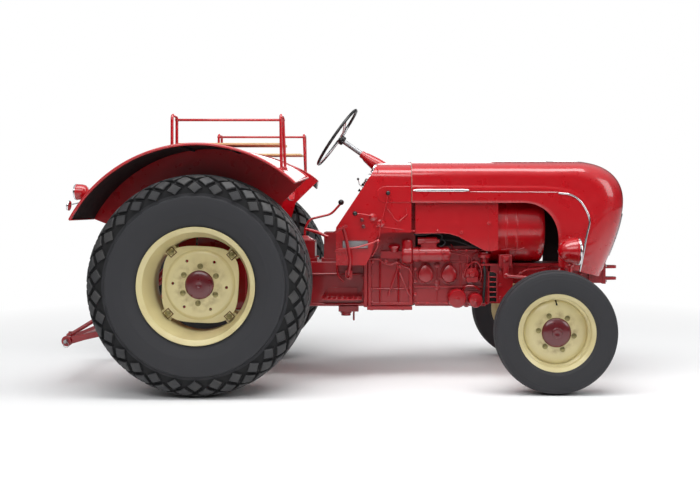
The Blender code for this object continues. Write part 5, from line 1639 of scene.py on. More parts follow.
@dataclass
class Cowl:
    """Rear cowl with its sloping dash, instruments, raised side bands and bulkhead."""

    front: float = 1.208
    top: float = 1.344
    half_width: float = 0.27
    wall: float = 0.005
    corner: float = 0.11
    bulkhead: float = 1.00
    outline: tuple = (
        (1.213, 1.40), (1.020, 1.40), (1.012, 1.352), (1.000, 1.330), (0.949, 1.242), (0.861, 1.110),
        (0.746, 0.938), (0.746, 0.707), (0.930, 0.707), (0.965, 0.780), (0.985, 0.860), (1.010, 0.900),
        (1.060, 0.908), (1.213, 0.908),
    )
    hollow: tuple = (
        (1.300, 1.40), (1.024, 1.40), (1.005, 1.330), (0.954, 1.240), (0.866, 1.108), (0.751, 0.936),
        (0.751, 0.600), (1.300, 0.600),
    )
    band: tuple = (0.998, 1.191)
    band_depth: float = 0.0995
    body: str = "chassis"

    def section(self, inset: float, bottom: float) -> list[tuple[float, float]]:
        """Cross section as (y, z) points, inset by a wall."""
        half = [(a, self.top - inset - d) for d, a in corner_section(self.corner - inset, self.half_width - inset, 22)]
        half.append((self.half_width - inset, bottom))
        return half + [(-y, z) for y, z in reversed(half[1:])]

    def on_dash(self, y: float, up: float, lift: float = 0.0) -> Vector:
        """A place on the dash plane, up metres along its slope from its foot."""
        low, high = Vector((0.861, 0, 1.110)), Vector((1.000, 0, 1.330))
        run = (high - low).normalized()
        out = Vector((-run.z, 0, run.x))
        return low + run * up + out * lift + Vector((0, y, 0))

    @property
    def facing(self) -> Vector:
        """The direction that the dash faces."""
        run = Vector((1.000 - 0.861, 0, 1.330 - 1.110)).normalized()
        return Vector((-run.z, 0, run.x))

    def build(self) -> None:
        """Builds and dresses the cowl."""
        limit = self.half_width + 0.01
        outer = Shape().prism(self.section(0.0, 0.60), 0.70, self.front, Facing.FORWARD)
        side = Shape().prism([(min(x, self.front + 0.02), z) for x, z in self.outline], -limit, limit, Facing.LEFTWARD)
        core_section = Shape().prism(self.section(self.wall, 0.50), 0.70, 1.30, Facing.FORWARD)
        inner = self.half_width - self.wall
        core = Shape().prism(self.hollow, -inner, inner, Facing.LEFTWARD).carved(core_section, keep_inside=True)
        gap = Shape().box((0.70, -0.20, 0.60), (0.99, 0.20, 0.93))
        column = Shape().rod((0.83, 0, 1.4502), (1.11, 0, 1.254), 0.0463, steps=48)
        shell = outer.carved(side, keep_inside=True).carved(core, gap).carved(column)
        half = self.half_width - 0.0055
        shell.box((self.bulkhead, -half, 0.98), (self.bulkhead + self.wall, half, 1.30))
        shell.box((self.bulkhead, -0.150, 0.751), (self.bulkhead + self.wall, 0.150, 1.00))
        shell.box((self.front - 0.015, -0.02, 1.324), (self.front + 0.028, 0.02, 1.3485))
        for y in (-1, 1):
            y0, y1 = sorted((y * 0.140, y * 0.146))
            shell.box((0.930, y0, 0.745), (1.236, y1, 0.985))
            shell.box((1.196, y0, 0.980), (1.236, y1, 1.105))
        shell.piece("cowl_panels", self.body, RED_SHEET, "cowl", sharp=36)
        bands = Shape()
        for side_of in Side:
            s = side_of.value
            x0, top = self.band
            half = self.band_depth / 2
            outline = [(self.front, top - 2 * half), (self.front, top)] + arc((x0 + half, top - half), half, 90, 270, 22)
            y0, y1 = sorted((s * (self.half_width - 0.001), s * (self.half_width + 0.0034)))
            bands.prism(outline, y0, y1, Facing.LEFTWARD)
        bands.piece("cowl_side_bands", self.body, RED_SHEET, bevel=0.0024)
        self.dash()

    def dash(self) -> None:
        """Adds the instruments, switches and the tool flap."""
        rims, faces, marks, lenses, knobs = Shape(), Shape(), Shape(), Shape(), Shape()
        out = self.facing
        for y, up, radius in ((-0.115, 0.150, 0.0375), (-0.105, 0.228, 0.030), (0.110, 0.150, 0.0375)):
            seat = self.on_dash(y, up)
            section = [(radius - 0.006, 0.0), (radius + 0.001, 0.0), (radius + 0.002, 0.004), (radius, 0.013)]
            section += [(radius - 0.002, 0.016), (radius - 0.005, 0.015), (radius - 0.006, 0.010)]
            rims.turned(section, seat, out, 48, closed=True)
            faces.turned([(0, -0.004), (radius - 0.003, -0.004), (radius - 0.003, 0.006), (0, 0.006)], seat, out, 48)
            lenses.ball(seat + out * 0.009, radius - 0.006, out, 0.10)
            for k in range(11):
                a = 225 - 27 * k
                p, q = polar(seat, out, a, radius * 0.68, 0.0066), polar(seat, out, a, radius * 0.80, 0.0066)
                marks.rod(p, q, 0.0007, steps=6)
            marks.rod(seat + out * 0.0072, polar(seat, out, 200, radius * 0.62, 0.0072), 0.0009, 0.0004, steps=8)
        for y, up in ((-0.045, 0.105), (0.045, 0.105), (0.0, 0.062)):
            seat = self.on_dash(y, up)
            knobs.turned([(0, 0), (0.012, 0), (0.012, 0.004), (0.006, 0.006), (0.006, 0.014), (0.010, 0.017), (0.010, 0.022), (0, 0.023)], seat, out, 28)
        rims.tube([self.on_dash(-0.145, 0.088), self.on_dash(-0.145, 0.094, 0.030), self.on_dash(-0.150, 0.115, 0.052)], 0.0032, 10)
        knobs.ball(self.on_dash(-0.151, 0.118, 0.055), 0.008)
        rims.piece("instrument_rims", self.body, CHROME)
        faces.piece("instrument_faces", self.body, GAUGE_FACE)
        marks.piece("instrument_marks", self.body, MARKING)
        lenses.piece("instrument_glasses", self.body, CLEAR_LENS)
        knobs.piece("dash_knobs", self.body, BLACK)
        plate = Shape()
        plate.box((0.787, -0.2755, 0.812), (0.942, -0.2695, 0.858))
        plate.piece("side_plate_blank", self.body, STEEL, bevel=0.0015)
        frame_edge = Shape()
        loop = [(0.787, -0.2758, 0.812), (0.942, -0.2758, 0.812), (0.942, -0.2758, 0.858), (0.787, -0.2758, 0.858)]
        frame_edge.tube(loop, 0.0030, 8, closed=True)
        frame_edge.piece("side_plate_edge", self.body, MAROON)


@dataclass
class Fender:
    """One arched fender with its beaded edge, inner skirt, rails and passenger board."""

    side: Side
    centre_z: float = 0.615
    radius: float = 0.80
    front_radius: float = 0.855
    rear_angle: float = 151.8
    front_angle: float = 47.0
    rise_angle: float = 80.0
    inner: float = 0.3655
    outer: float = 0.76
    wall: float = 0.004
    bead: float = 0.008
    skirt: tuple = ((0.430, 1.090), (0.400, 0.985), (0.360, 0.900), (0.290, 0.815), (0.210, 0.745), (0.120, 0.715), (-0.120, 0.715), (-0.210, 0.740), (-0.320, 0.800), (-0.420, 0.880))
    rail_stations: tuple[float, float] = (-0.145, 0.463)
    rail_ys: tuple[float, float] = (0.72, 0.61)
    rail_top: float = 1.5815
    rail_bar: float = 1.563
    rail_tube: float = 0.0085
    board_inner: float = 0.405
    board_outer: float = 0.6005
    board_thickness: float = 0.0135
    lamp: tuple[float, float, float] = (-0.690, 0.600, 1.150)
    body: str = "chassis"

    def point(self, angle: float, y: float, extra: float = 0.0) -> Vector:
        """A place on the sheet at an angle and a distance from the machine's middle."""
        share = (self.outer - y) / (self.outer - self.inner)
        lift = smooth((self.rise_angle - angle) / (self.rise_angle - self.front_angle))
        r = self.radius + (self.front_radius - self.radius) * lift * share + extra
        a = math.radians(angle)
        return Vector((r * math.cos(a), self.side.value * y, self.centre_z + r * math.sin(a)))

    def build(self) -> None:
        """Builds and dresses the fender, its rails, board and tail lamp."""
        name, s = self.side.label, self.side.value
        angles = spread(self.rear_angle, self.front_angle, 106)
        ys = spread(self.outer, self.inner, 26)
        rows = []
        for angle in angles:
            row = []
            for y in ys:
                crown = 0.004 * math.sin(math.pi * (self.outer - y) / (self.outer - self.inner)) ** 0.5
                row.append(self.point(angle, y, 0.001 + crown * 0.6))
            rows.append(row if s > 0 else row[::-1])
        # the underside takes coat 1, the underseal colour darkened as painted shade
        sheet = Shape().shell(rows, self.wall, inner_coat=1)
        inner_edge = [self.point(a, self.inner) for a in angles]
        outline = [(p.x, p.z) for p in inner_edge] + list(self.skirt)
        y0, y1 = sorted((s * self.inner, s * (self.inner + self.wall)))
        sheet.coat = 0
        sheet.prism(outline, y0, y1, Facing.LEFTWARD)
        sheet.tube([self.point(a, self.outer) for a in angles], self.bead, 14)
        for angle in (self.rear_angle, self.front_angle):
            sheet.tube([self.point(angle, y) for y in ys], 0.0048, 10)
        sheet.tube([self.point(a, self.inner + 0.002, 0.002) for a in angles], 0.0045, 10)
        # the stiffeners under the fender take the same darkened underseal colour, painted shade
        sheet.coat = 1
        for x in (-0.10, 0.18):
            a = math.degrees(math.acos(x / self.radius))
            path = [self.point(a, y, -0.008) for y in spread(self.inner + 0.01, self.outer - 0.03, 8)]
            sheet.tube(path, 0.007, 8)
        sheet.piece(f"fender_panel_{name}", self.body, [RED_SHEET, UNDERSEAL_AND_SHADE], f"fender_{name}", sharp=50)
        self.rails(name, s)
        self.tail_lamp(name, s)

    def rails(self, name: str, s: int) -> None:
        """Adds the hooped rails with their feet and the wooden board."""
        rail = Shape()
        outer, inner = self.rail_ys
        for x in self.rail_stations:
            angle = math.degrees(math.acos(x / self.radius))
            feet = [self.point(angle, y, 0.003) for y in (outer, inner)]
            path = [feet[0], (x, s * outer, self.rail_top), (x, s * inner, self.rail_top), feet[1]]
            rail.tube(eased(path, 0.030, 7), self.rail_tube, 20)
            for foot in feet:
                normal = (foot - Vector((0, foot.y, self.centre_z))).normalized()
                rail.turned([(0, -0.002), (0.020, -0.002), (0.020, 0.003), (0.012, 0.005), (0.0105, 0.010), (0, 0.010)], foot, normal, 28)
        ends = [(x, s * inner, self.rail_bar) for x in self.rail_stations]
        rail.rod(*ends, self.rail_tube - 0.001, steps=20)
        for x in self.rail_stations:
            rail.ball((x, s * inner, self.rail_bar), 0.0115)
        rail.piece(f"grab_rail_{name}", self.body, RED_SHEET, f"fender_rail_{name}", sharp=50)
        low = self.centre_z + self.radius + 0.0045
        board = Shape()
        x0, x1 = self.rail_stations[0], self.rail_stations[1]
        slats = 2
        width = (self.board_outer - self.board_inner) / slats
        for k in range(slats):
            y_low = self.board_inner + width * k + 0.001
            y0, y1 = sorted((s * y_low, s * (y_low + width - 0.002)))
            board.box((x0, y0, low), (x1, y1, low + self.board_thickness))
        board.piece(f"passenger_board_{name}", self.body, WOOD, f"seat_board_{name}", bevel=0.003)
        screws = Shape()
        for x in (x0 + 0.035, 0.13, x1 - 0.04):
            for y in (self.board_inner + 0.03, self.board_outer - 0.03):
                screws.ball((x, s * y, low + self.board_thickness), 0.006, squash=0.35)
        screws.piece(f"board_screws_{name}", self.body, STEEL)

    def tail_lamp(self, name: str, s: int) -> None:
        """Adds the round tail lamp, its stem and the reflector behind the fender."""
        x, y, z = self.lamp
        middle = Vector((x, s * y, z))
        towards = Vector((-x, 0.0, self.centre_z - z)).normalized()
        lamp = Shape()
        profile = [(0, -0.038), (0.014, -0.037), (0.030, -0.030), (0.040, -0.018), (0.0445, 0.0), (0.0455, 0.026)]
        profile += [(0.046, 0.030), (0.043, 0.033), (0, 0.033)]
        lamp.turned(profile, middle, (-1, 0, 0), 56)
        lamp.rod(middle + towards * 0.03, middle + towards * 0.0705, 0.010, 0.012, steps=20)
        lamp.turned([(0, 0), (0.022, 0), (0.022, 0.004), (0, 0.005)], middle + towards * 0.0715, -towards, 28)
        lamp.piece(f"tail_lamp_body_{name}", self.body, RED_SHEET, f"tail_lamp_{name}", sharp=45)
        ring = Shape().turned([(0.040, 0.030), (0.0465, 0.030), (0.0465, 0.037), (0.044, 0.0395), (0.040, 0.038)], middle, (-1, 0, 0), 56, closed=True)
        ring.piece(f"tail_lamp_rim_{name}", self.body, CHROME)
        lens = Shape().ball(middle + Vector((-0.036, 0, 0)), 0.041, (-1, 0, 0), 0.30)
        lens.piece(f"tail_lamp_lens_{name}", self.body, RED_LENS)
        spot = Vector((-0.768, s * 0.600, 1.072))
        anchor = self.point(147.0, 0.60, 0.004)
        bracket = Shape().tube(eased([anchor, (anchor.x - 0.006, s * 0.60, 1.095), (-0.756, s * 0.60, 1.078)], 0.012), 0.0035, 10)
        bracket.piece(f"reflector_bracket_{name}", self.body, STEEL)
        reflector = Shape().turned([(0, -0.005), (0.028, -0.005), (0.030, -0.001), (0.030, 0.003), (0.027, 0.006), (0, 0.007)], spot, (-1, 0, 0.12), 40)
        reflector.piece(f"rear_reflector_{name}", self.body, CHROME)


# ---------------------------------------------------------------- engine and drive line


@dataclass
class EngineSide:
    """Crankcase, cylinders, covers, filters, starter, pump and their pipes."""

    wall_y: float = -0.150
    cylinders: tuple[float, ...] = (1.31, 1.46, 1.61)
    cover_places: tuple = ((1.300, 0.648), (1.446, 0.648))
    body: str = "chassis"

    def egg(self, x: float, z: float) -> list[tuple[float, float]]:
        """Outline of a side cover: round below with a pointed top."""
        low = arc((x, z - 0.010), 0.058, 160, 380, 22)
        return low + [(x + 0.040, z + 0.038), (x + 0.020, z + 0.062), (x, z + 0.072), (x - 0.020, z + 0.062), (x - 0.040, z + 0.038)]

    def build(self) -> None:
        """Builds and dresses the engine."""
        w = self.wall_y
        block = Shape().box((1.2193, -0.150, 0.455), (1.70, 0.150, 0.80))
        for y in (-1, 1):
            for z in (0.463, 0.560, 0.722, 0.792):
                y0, y1 = sorted((y * 0.148, y * 0.158))
                block.box((1.224, y0, z - 0.006), (1.695, y1, z + 0.006))
            for x in (1.226, 1.372, 1.518, 1.690):
                y0, y1 = sorted((y * 0.148, y * 0.156))
                block.box((x - 0.006, y0, 0.460), (x + 0.006, y1, 0.795))
        block.box((1.235, -0.125, 0.440), (1.68, 0.125, 0.457))
        block.piece("crankcase_casting", self.body, RED_CAST, "engine_block", bevel=0.005)
        bolts = Shape()
        for y in (-1, 1):
            bolts.bolts([(x, y * 0.158, 0.463) for x in spread(1.25, 1.68, 8)], (0, y, 0), 0.007, 0.005)
            bolts.bolts([(x, y * 0.158, 0.792) for x in spread(1.25, 1.68, 8)], (0, y, 0), 0.007, 0.005)
        bolts.bolts([(1.235, -0.1585, z) for z in (0.52, 0.60, 0.68, 0.75)], (0, -1, 0), 0.009, 0.006)
        bolts.piece("crankcase_bolts", self.body, RED_SHEET)
        covers = Shape()
        for x, z in self.cover_places:
            outline = self.egg(x, z)
            rings = []
            for shrink, depth in ((1.0, -0.004), (1.0, 0.010), (0.97, 0.013), (0.86, 0.014), (0.84, 0.030), (0.76, 0.041), (0.55, 0.047), (0.25, 0.049)):
                rings.append([(x + (u - x) * shrink, w - depth, z + (v - z) * shrink) for u, v in outline])
            covers.rings(rings)
            covers.bolts([(x + 0.054 * math.cos(a), w - 0.013, z - 0.010 + 0.054 * math.sin(a)) for a in (3.5, 4.7, 5.9, 0.3, 2.8)], (0, -1, 0), 0.006, 0.005)
        covers.box((1.225, w - 0.013, 0.560), (1.66, w + 0.001, 0.572))
        for x, z in ((1.373, 0.700), (1.373, 0.590), (1.373, 0.560)):
            covers.turned([(0, 0), (0.017, 0), (0.017, 0.014), (0.010, 0.018), (0, 0.018)], (x, w, z), (0, -1, 0), 28)
            covers.bolt((x, w - 0.017, z), (0, -1, 0), 0.009, 0.006)
        self.pump(covers, w)
        covers.piece("side_covers", self.body, RED_CAST, "crankcase_covers", sharp=34)
        self.filters(w)
        self.starter()
        self.bank()

    def pump(self, covers: Shape, w: float) -> None:
        """Adds the injection pump's body and pipes.

        Args:
            covers: Shape to add to.
            w: Y of the engine's side.
        """
        middle = Vector((1.588, w, 0.645))
        covers.turned([(0, -0.003), (0.060, -0.003), (0.060, 0.010), (0.050, 0.013), (0.046, 0.030), (0.040, 0.046), (0.020, 0.050), (0.016, 0.062), (0, 0.063)], middle, (0, -1, 0), 48)
        covers.box((1.553, w - 0.058, 0.598), (1.622, w - 0.002, 0.628))
        for k in range(3):
            x = 1.560 + 0.026 * k
            covers.rod((x, w - 0.034, 0.628), (x, w - 0.034, 0.700), 0.0085, 0.007, steps=16)
            covers.bolt((x, w - 0.034, 0.699), (0, 0, 1), 0.009, 0.008)
            end = Vector((self.cylinders[k], -0.120, 0.860))
            path = flowing([(x, w - 0.034, 0.70), (x, w - 0.036, 0.735), (x - 0.02, w - 0.030, 0.765), (end.x + 0.03, -0.165, 0.79), (end.x, -0.140, 0.83)], 6)
            covers.tube(path, 0.0032, 8)
        covers.tube(flowing([(1.640, w - 0.02, 0.60), (1.648, w - 0.04, 0.655), (1.630, w - 0.05, 0.712), (1.598, w - 0.05, 0.722), (1.556, w - 0.045, 0.69), (1.540, w - 0.03, 0.64)], 7), 0.0055, 10)
        covers.bolts([(1.588 + 0.052 * math.cos(a), w - 0.012, 0.645 + 0.052 * math.sin(a)) for a in (0.4, 1.6, 2.8, 4.0, 5.2)], (0, -1, 0), 0.007, 0.006)

    def filters(self, w: float) -> None:
        """Adds the oil filter cans, their carrier and pipes."""
        cans = Shape()
        cans.box((1.450, w - 0.018, 0.455), (1.640, w + 0.002, 0.540))
        for x, z, radius, reach in ((1.493, 0.4975, 0.0585, 0.095), (1.607, 0.485, 0.0455, 0.085)):
            section = [(0, 0.005), (radius * 0.96, 0.005), (radius, 0.012), (radius, reach * 0.62), (radius * 0.97, reach * 0.66)]
            section += [(radius * 0.97, reach * 0.86), (radius * 0.86, reach * 0.97), (radius * 0.5, reach), (0, reach)]
            cans.turned(section, (x, w, z), (0, -1, 0), 56)
            cans.bolt((x, w - reach + 0.001, z), (0, -1, 0), 0.0115, 0.009)
        cans.tube(flowing([(1.53, w - 0.03, 0.545), (1.55, w - 0.05, 0.57), (1.60, w - 0.05, 0.572), (1.64, w - 0.03, 0.545)], 7), 0.006, 10)
        for x in (1.470, 1.515, 1.590, 1.630):
            cans.bolt((x, w - 0.018, 0.463), (0, -1, 0), 0.007, 0.005)
        cans.rod((1.56, -0.11, 0.462), (1.56, -0.11, 0.433), 0.013, steps=20)
        cans.piece("filter_cans", self.body, RED_CAST, "oil_filters", sharp=34)

    def starter(self) -> None:
        """Adds the starter, its solenoid and the cables."""
        y = -0.200
        motor = Shape()
        section = [(0, 0), (0.046, 0), (0.046, 0.030), (0.0425, 0.033), (0.0425, 0.040), (0.0455, 0.043), (0.0455, 0.175), (0.043, 0.178)]
        section += [(0.043, 0.184), (0.0455, 0.187), (0.0455, 0.216), (0.041, 0.226), (0.020, 0.228), (0.018, 0.236), (0, 0.236)]
        motor.turned(section, (1.2195, y, 0.77), (1, 0, 0), 56)
        motor.turned([(0, 0), (0.024, 0), (0.025, 0.004), (0.025, 0.040), (0.022, 0.042), (0.022, 0.048), (0.0245, 0.050), (0.0245, 0.112), (0.021, 0.120), (0.012, 0.122), (0.012, 0.134), (0, 0.134)], (1.250, y, 0.853), (1, 0, 0), 40)
        motor.box((1.270, y - 0.018, 0.79), (1.365, y + 0.018, 0.845))
        motor.bolts([(1.30, y - 0.0445, 0.785), (1.41, y - 0.0445, 0.785)], (0, -1, 0.3), 0.006, 0.004)
        motor.piece("starter_detail", self.body, RED_CAST, "starter_motor", sharp=34)
        cable = Shape()
        cable.tube(flowing([(1.384, y, 0.858), (1.405, y - 0.012, 0.862), (1.418, y - 0.014, 0.842), (1.402, y - 0.016, 0.822), (1.380, y - 0.024, 0.824)], 8), 0.0045, 10)
        cable.tube(flowing([(1.384, y + 0.006, 0.848), (1.40, y, 0.885), (1.35, y - 0.02, 0.900), (1.28, y - 0.02, 0.892), (1.225, y - 0.03, 0.895)], 8), 0.005, 10)
        cable.tube(flowing([(1.42, y, 0.86), (1.50, -0.17, 0.850), (1.60, -0.16, 0.815), (1.68, -0.16, 0.800)], 8), 0.0045, 10)
        cable.piece("starter_cables", self.body, HOSE)

    def bank(self) -> None:
        """Adds the three finned cylinders with their heads and rocker covers."""
        bank = Shape().box((1.239, -0.110, 0.8003), (1.69, 0.110, 0.820))
        for x in self.cylinders:
            bank.turned([(0, 0.80), (0.056, 0.80), (0.056, 1.02), (0, 1.02)], (x, 0, 0), (0, 0, 1), 48)
            for z in spread(0.832, 1.000, 15):
                bank.turned([(0.050, z - 0.0012), (0.069, z - 0.0008), (0.069, z + 0.0008), (0.050, z + 0.0012)], (x, 0, 0), (0, 0, 1), 48, closed=True)
            for z in spread(1.014, 1.086, 7):
                bank.box((x - 0.066, -0.110, z - 0.0016), (x + 0.066, 0.110, z + 0.0016))
            bank.box((x - 0.052, -0.096, 1.005), (x + 0.052, 0.096, 1.095))
            bank.box((x - 0.060, -0.090, 1.094), (x + 0.060, 0.090, 1.150))
            bank.box((x - 0.050, -0.075, 1.149), (x + 0.050, 0.075, 1.160))
            bank.rod((x, 0.095, 0.818), (x, 0.095, 1.02), 0.008, steps=16)
            bank.rod((x - 0.03, 0.095, 0.818), (x - 0.03, 0.095, 1.02), 0.008, steps=16)
            bank.bolts([(x, y, 1.159) for y in (-0.05, 0.05)], (0, 0, 1), 0.009, 0.008)
        # the baffle takes the darkened underseal colour, painted shade for the recess behind the cylinders
        baffle = Shape().box((1.2395, -0.1130, 0.818), (1.690, -0.1095, 1.146))
        baffle.piece("cylinder_baffle", self.body, UNDERSEAL_AND_SHADE)
        bank.piece("finned_cylinders", self.body, RED_CAST, "cylinder_bank", sharp=34)


@dataclass
class CoolingShroud:
    """Fan drum, its blades and the flat duct over the cylinders' right side."""

    radius: float = 0.22
    height: float = 0.93
    back: float = 1.7003
    length: float = 0.34
    duct_y: tuple[float, float] = (-0.243, -0.198)
    body: str = "chassis"

    def build(self) -> None:
        """Builds and dresses the shroud."""
        r, end = self.radius, self.length
        section = [(0, 0.0), (r - 0.004, 0.0), (r, 0.003), (r, 0.094), (r + 0.0028, 0.096), (r + 0.0028, 0.104), (r, 0.106)]
        section += [(r, 0.158), (r + 0.0028, 0.160), (r + 0.0028, 0.168), (r, 0.170), (r, end - 0.040), (r - 0.003, end - 0.020)]
        section += [(r - 0.009, end - 0.006), (r - 0.016, end), (r - 0.024, end - 0.002), (r - 0.034, end - 0.014), (r - 0.036, end - 0.03)]
        section += [(r - 0.036, 0.13), (r - 0.040, 0.12), (0.050, 0.12), (0.048, 0.14), (0, 0.14)]
        drum = Shape().turned(section, (self.back, 0, self.height), (1, 0, 0), 128)
        y0, y1 = self.duct_y
        outline = [(1.233, 1.148), (1.745, 1.148), (1.745, 0.800), (1.700, 0.790), (1.661, 0.797), (1.640, 0.812), (1.560, 0.852)]
        outline += [(1.500, 0.884), (1.450, 0.900), (1.400, 0.905), (1.233, 0.902)]
        drum.prism(outline, y0, y1, Facing.LEFTWARD)
        drum.box((1.245, y0 + 0.013, 1.110), (1.690, -0.1103, 1.148))
        drum.piece("fan_shroud", self.body, RED_SHEET, "cooling_shroud", bevel=0.003)
        trim = Shape()
        trim.box((1.233, y0 - 0.0016, 0.9415), (1.684, y0 + 0.001, 0.9445))
        trim.box((1.6835, y0 - 0.0022, 0.797), (1.6885, y0 + 0.001, 1.148))
        trim.bolts([(1.372, y0 - 0.0005, 0.915), (1.519, y0 - 0.0005, 0.910), (1.6865, y0 - 0.001, 0.965)], (0, -1, 0), 0.008, 0.006)
        trim.tube([(1.233, y0 - 0.001, 0.902), (1.400, y0 - 0.001, 0.905), (1.450, y0 - 0.001, 0.900), (1.500, y0 - 0.001, 0.884), (1.560, y0 - 0.001, 0.852), (1.661, y0 - 0.001, 0.797)], 0.003, 8)
        for k in range(8):
            x = 1.775 + 0.010 * k
            trim.box((x, -0.2195, 0.872 - 0.001 * (k % 3)), (x + 0.005, -0.2185, 0.874))
        trim.piece("shroud_trim", self.body, RED_SHEET)
        fan = Shape()
        hub = Vector((self.back + 0.14, 0, self.height))
        fan.turned([(0, -0.01), (0.060, -0.01), (0.060, 0.05), (0.050, 0.062), (0.020, 0.066), (0, 0.066)], hub, (1, 0, 0), 48)
        for k in range(12):
            a = 30 * k
            rings = []
            for share in spread(0.0, 1.0, 7):
                radius = 0.055 + (r - 0.044 - 0.055) * share
                twist = math.radians(a + 5 * share)
                pitch = 0.030 - 0.012 * share
                out = Vector((0, math.cos(twist), math.sin(twist)))
                along = Vector((0, -math.sin(twist), math.cos(twist)))
                middle = hub + out * radius + Vector((0.022, 0, 0))
                chord = 0.022 + 0.010 * share
                rings.append([middle + along * u * chord + Vector((pitch * u * 0.8 + t, 0, 0)) for u, t in ((-1, -0.001), (1, -0.001), (1, 0.001), (-1, 0.001))])
            fan.rings(rings)
        fan.piece("fan_blades", self.body, BLACK)


@dataclass
class DriveLine:
    """Gearbox, clutch housing, rear axle, lift, links, drawbar and exhaust."""

    body: str = "chassis"

    def build(self) -> None:
        """Builds and dresses the drive line."""
        self.gearbox()
        self.clutch()
        self.axle()
        self.hitch()
        self.exhaust()

    def gearbox(self) -> None:
        """Adds the gearbox with its tower, ribs and drain."""
        box = Shape().box((0.1803, -0.130, 0.44), (0.938, 0.130, 0.72))
        box.box((0.912, -0.19, 0.44), (0.938, 0.19, 0.77))
        for y in (-1, 1):
            for x in (0.30, 0.44, 0.58):
                y0, y1 = sorted((y * 0.128, y * 0.140))
                box.box((x - 0.007, y0, 0.452), (x + 0.007, y1, 0.712))
            y0, y1 = sorted((y * 0.128, y * 0.146))
            box.box((0.19, y0, 0.636), (0.915, y1, 0.650))
            box.box((0.19, y0, 0.445), (0.915, y1, 0.462))
        box.piece("gearbox_casting", self.body, RED_CAST, "gearbox", bevel=0.008)
        tower = Shape()
        tower.box((0.455, -0.085, 0.718), (0.615, 0.085, 0.738))
        tower.box((0.47, -0.065, 0.735), (0.60, 0.065, 0.850))
        tower.box((0.645, -0.110, 0.718), (0.755, 0.110, 0.738))
        tower.box((0.66, -0.10, 0.735), (0.74, 0.10, 0.905))
        tower.turned([(0, 0.848), (0.060, 0.848), (0.058, 0.856), (0.034, 0.868), (0.022, 0.8795), (0, 0.8795)], (0.53, 0, 0), (0, 0, 1), 40)
        tower.bolts([(x, y, 0.738) for x in (0.463, 0.607) for y in (-0.076, 0.076)], (0, 0, 1), 0.009, 0.007)
        tower.bolts([(x, y, 0.738) for x in (0.652, 0.748) for y in (-0.10, 0.10)], (0, 0, 1), 0.009, 0.007)
        tower.bolts([(0.9118, y, z) for z in (0.46, 0.54, 0.62, 0.70, 0.755) for y in (-0.178, 0.178)], (-1, 0, 0), 0.010, 0.008)
        tower.rod((0.55, -0.141, 0.56), (0.55, -0.162, 0.56), 0.024, 0.020)
        tower.bolt((0.55, -0.161, 0.56), (0, -1, 0), 0.012, 0.008)
        tower.piece("gearbox_covers", self.body, RED_CAST, bevel=0.004)
        low = Shape()
        low.box((0.755, -0.150, 0.408), (0.880, -0.060, 0.442))
        low.turned([(0, 0), (0.036, 0), (0.036, 0.012), (0.030, 0.018), (0.030, 0.030), (0, 0.032)], (0.80, -0.105, 0.410), (0, 0, -1), 36)
        low.tube([(0.850 + 0.0000, -0.135 + 0.018 * math.cos(a), 0.420 - 0.0016 * a) for a in spread(0, 32, 90)], 0.0028, 7)
        low.rod((0.850, -0.135, 0.442), (0.850, -0.135, 0.352), 0.006)
        low.piece("brake_spring", self.body, RED_CAST, sharp=34)

    def clutch(self) -> None:
        """Adds the clutch housing with its flanges, starter nose, filler and wavy pipe."""
        housing = Shape().box((0.9383, -0.170, 0.455), (1.219, 0.170, 0.75))
        housing.box((0.9383, -0.190, 0.44), (0.962, 0.190, 0.77))
        housing.box((1.195, -0.182, 0.450), (1.219, 0.182, 0.775))
        for y in (-1, 1):
            y0, y1 = sorted((y * 0.168, y * 0.184))
            housing.box((0.955, y0, 0.548), (1.20, y1, 0.560))
            housing.box((0.955, y0, 0.448), (1.20, y1, 0.470))
            for x in (1.015, 1.13):
                housing.box((x - 0.006, y0, 0.46), (x + 0.006, y1, 0.745))
        housing.piece("clutch_casting", self.body, RED_CAST, "clutch_housing", bevel=0.006)
        extra = Shape()
        extra.turned([(0, 0), (0.048, 0), (0.060, 0.018), (0.060, 0.058), (0.052, 0.066), (0, 0.066)], (1.150, -0.200, 0.77), (1, 0, 0), 48)
        extra.turned([(0, 0), (0.034, 0), (0.034, 0.100), (0.028, 0.108), (0.012, 0.110), (0, 0.110)], (1.185, -0.215, 0.752), (0, 0, 1), 40)
        extra.turned([(0, 0), (0.027, 0), (0.027, 0.020), (0.036, 0.022), (0.036, 0.034), (0.030, 0.040), (0, 0.042)], (1.105, -0.19, 0.790), (0, -0.25, 1), 40)
        extra.box((1.02, -0.205, 0.745), (1.19, -0.08, 0.790))
        path = [(0.947, -0.200, 0.741), (1.009, -0.200, 0.741), (1.040, -0.200, 0.716), (1.084, -0.200, 0.704), (1.121, -0.200, 0.722), (1.158, -0.200, 0.697), (1.196, -0.200, 0.685), (1.214, -0.200, 0.635)]
        extra.tube(eased(path, 0.012, 5), 0.006, 12)
        extra.tube(flowing([(1.065, -0.190, 0.510), (1.090, -0.200, 0.586), (1.121, -0.200, 0.673), (1.121, -0.200, 0.722)], 7), 0.0055, 10)
        extra.tube(flowing([(1.202, -0.190, 0.510), (1.165, -0.200, 0.586), (1.134, -0.200, 0.660)], 7), 0.0055, 10)
        extra.bolts([(1.053, -0.210, 0.729), (1.140, -0.210, 0.692), (0.972, -0.210, 0.723), (1.202, -0.190, 0.560)], (0, -1, 0), 0.008, 0.006)
        extra.bolts([(0.9625, y, z) for z in (0.47, 0.55, 0.63, 0.71) for y in (-0.180, 0.180)], (1, 0, 0), 0.009, 0.007)
        extra.box((0.935, -0.205, 0.425), (1.215, -0.165, 0.447))
        extra.piece("clutch_fittings", self.body, RED_CAST, sharp=34)

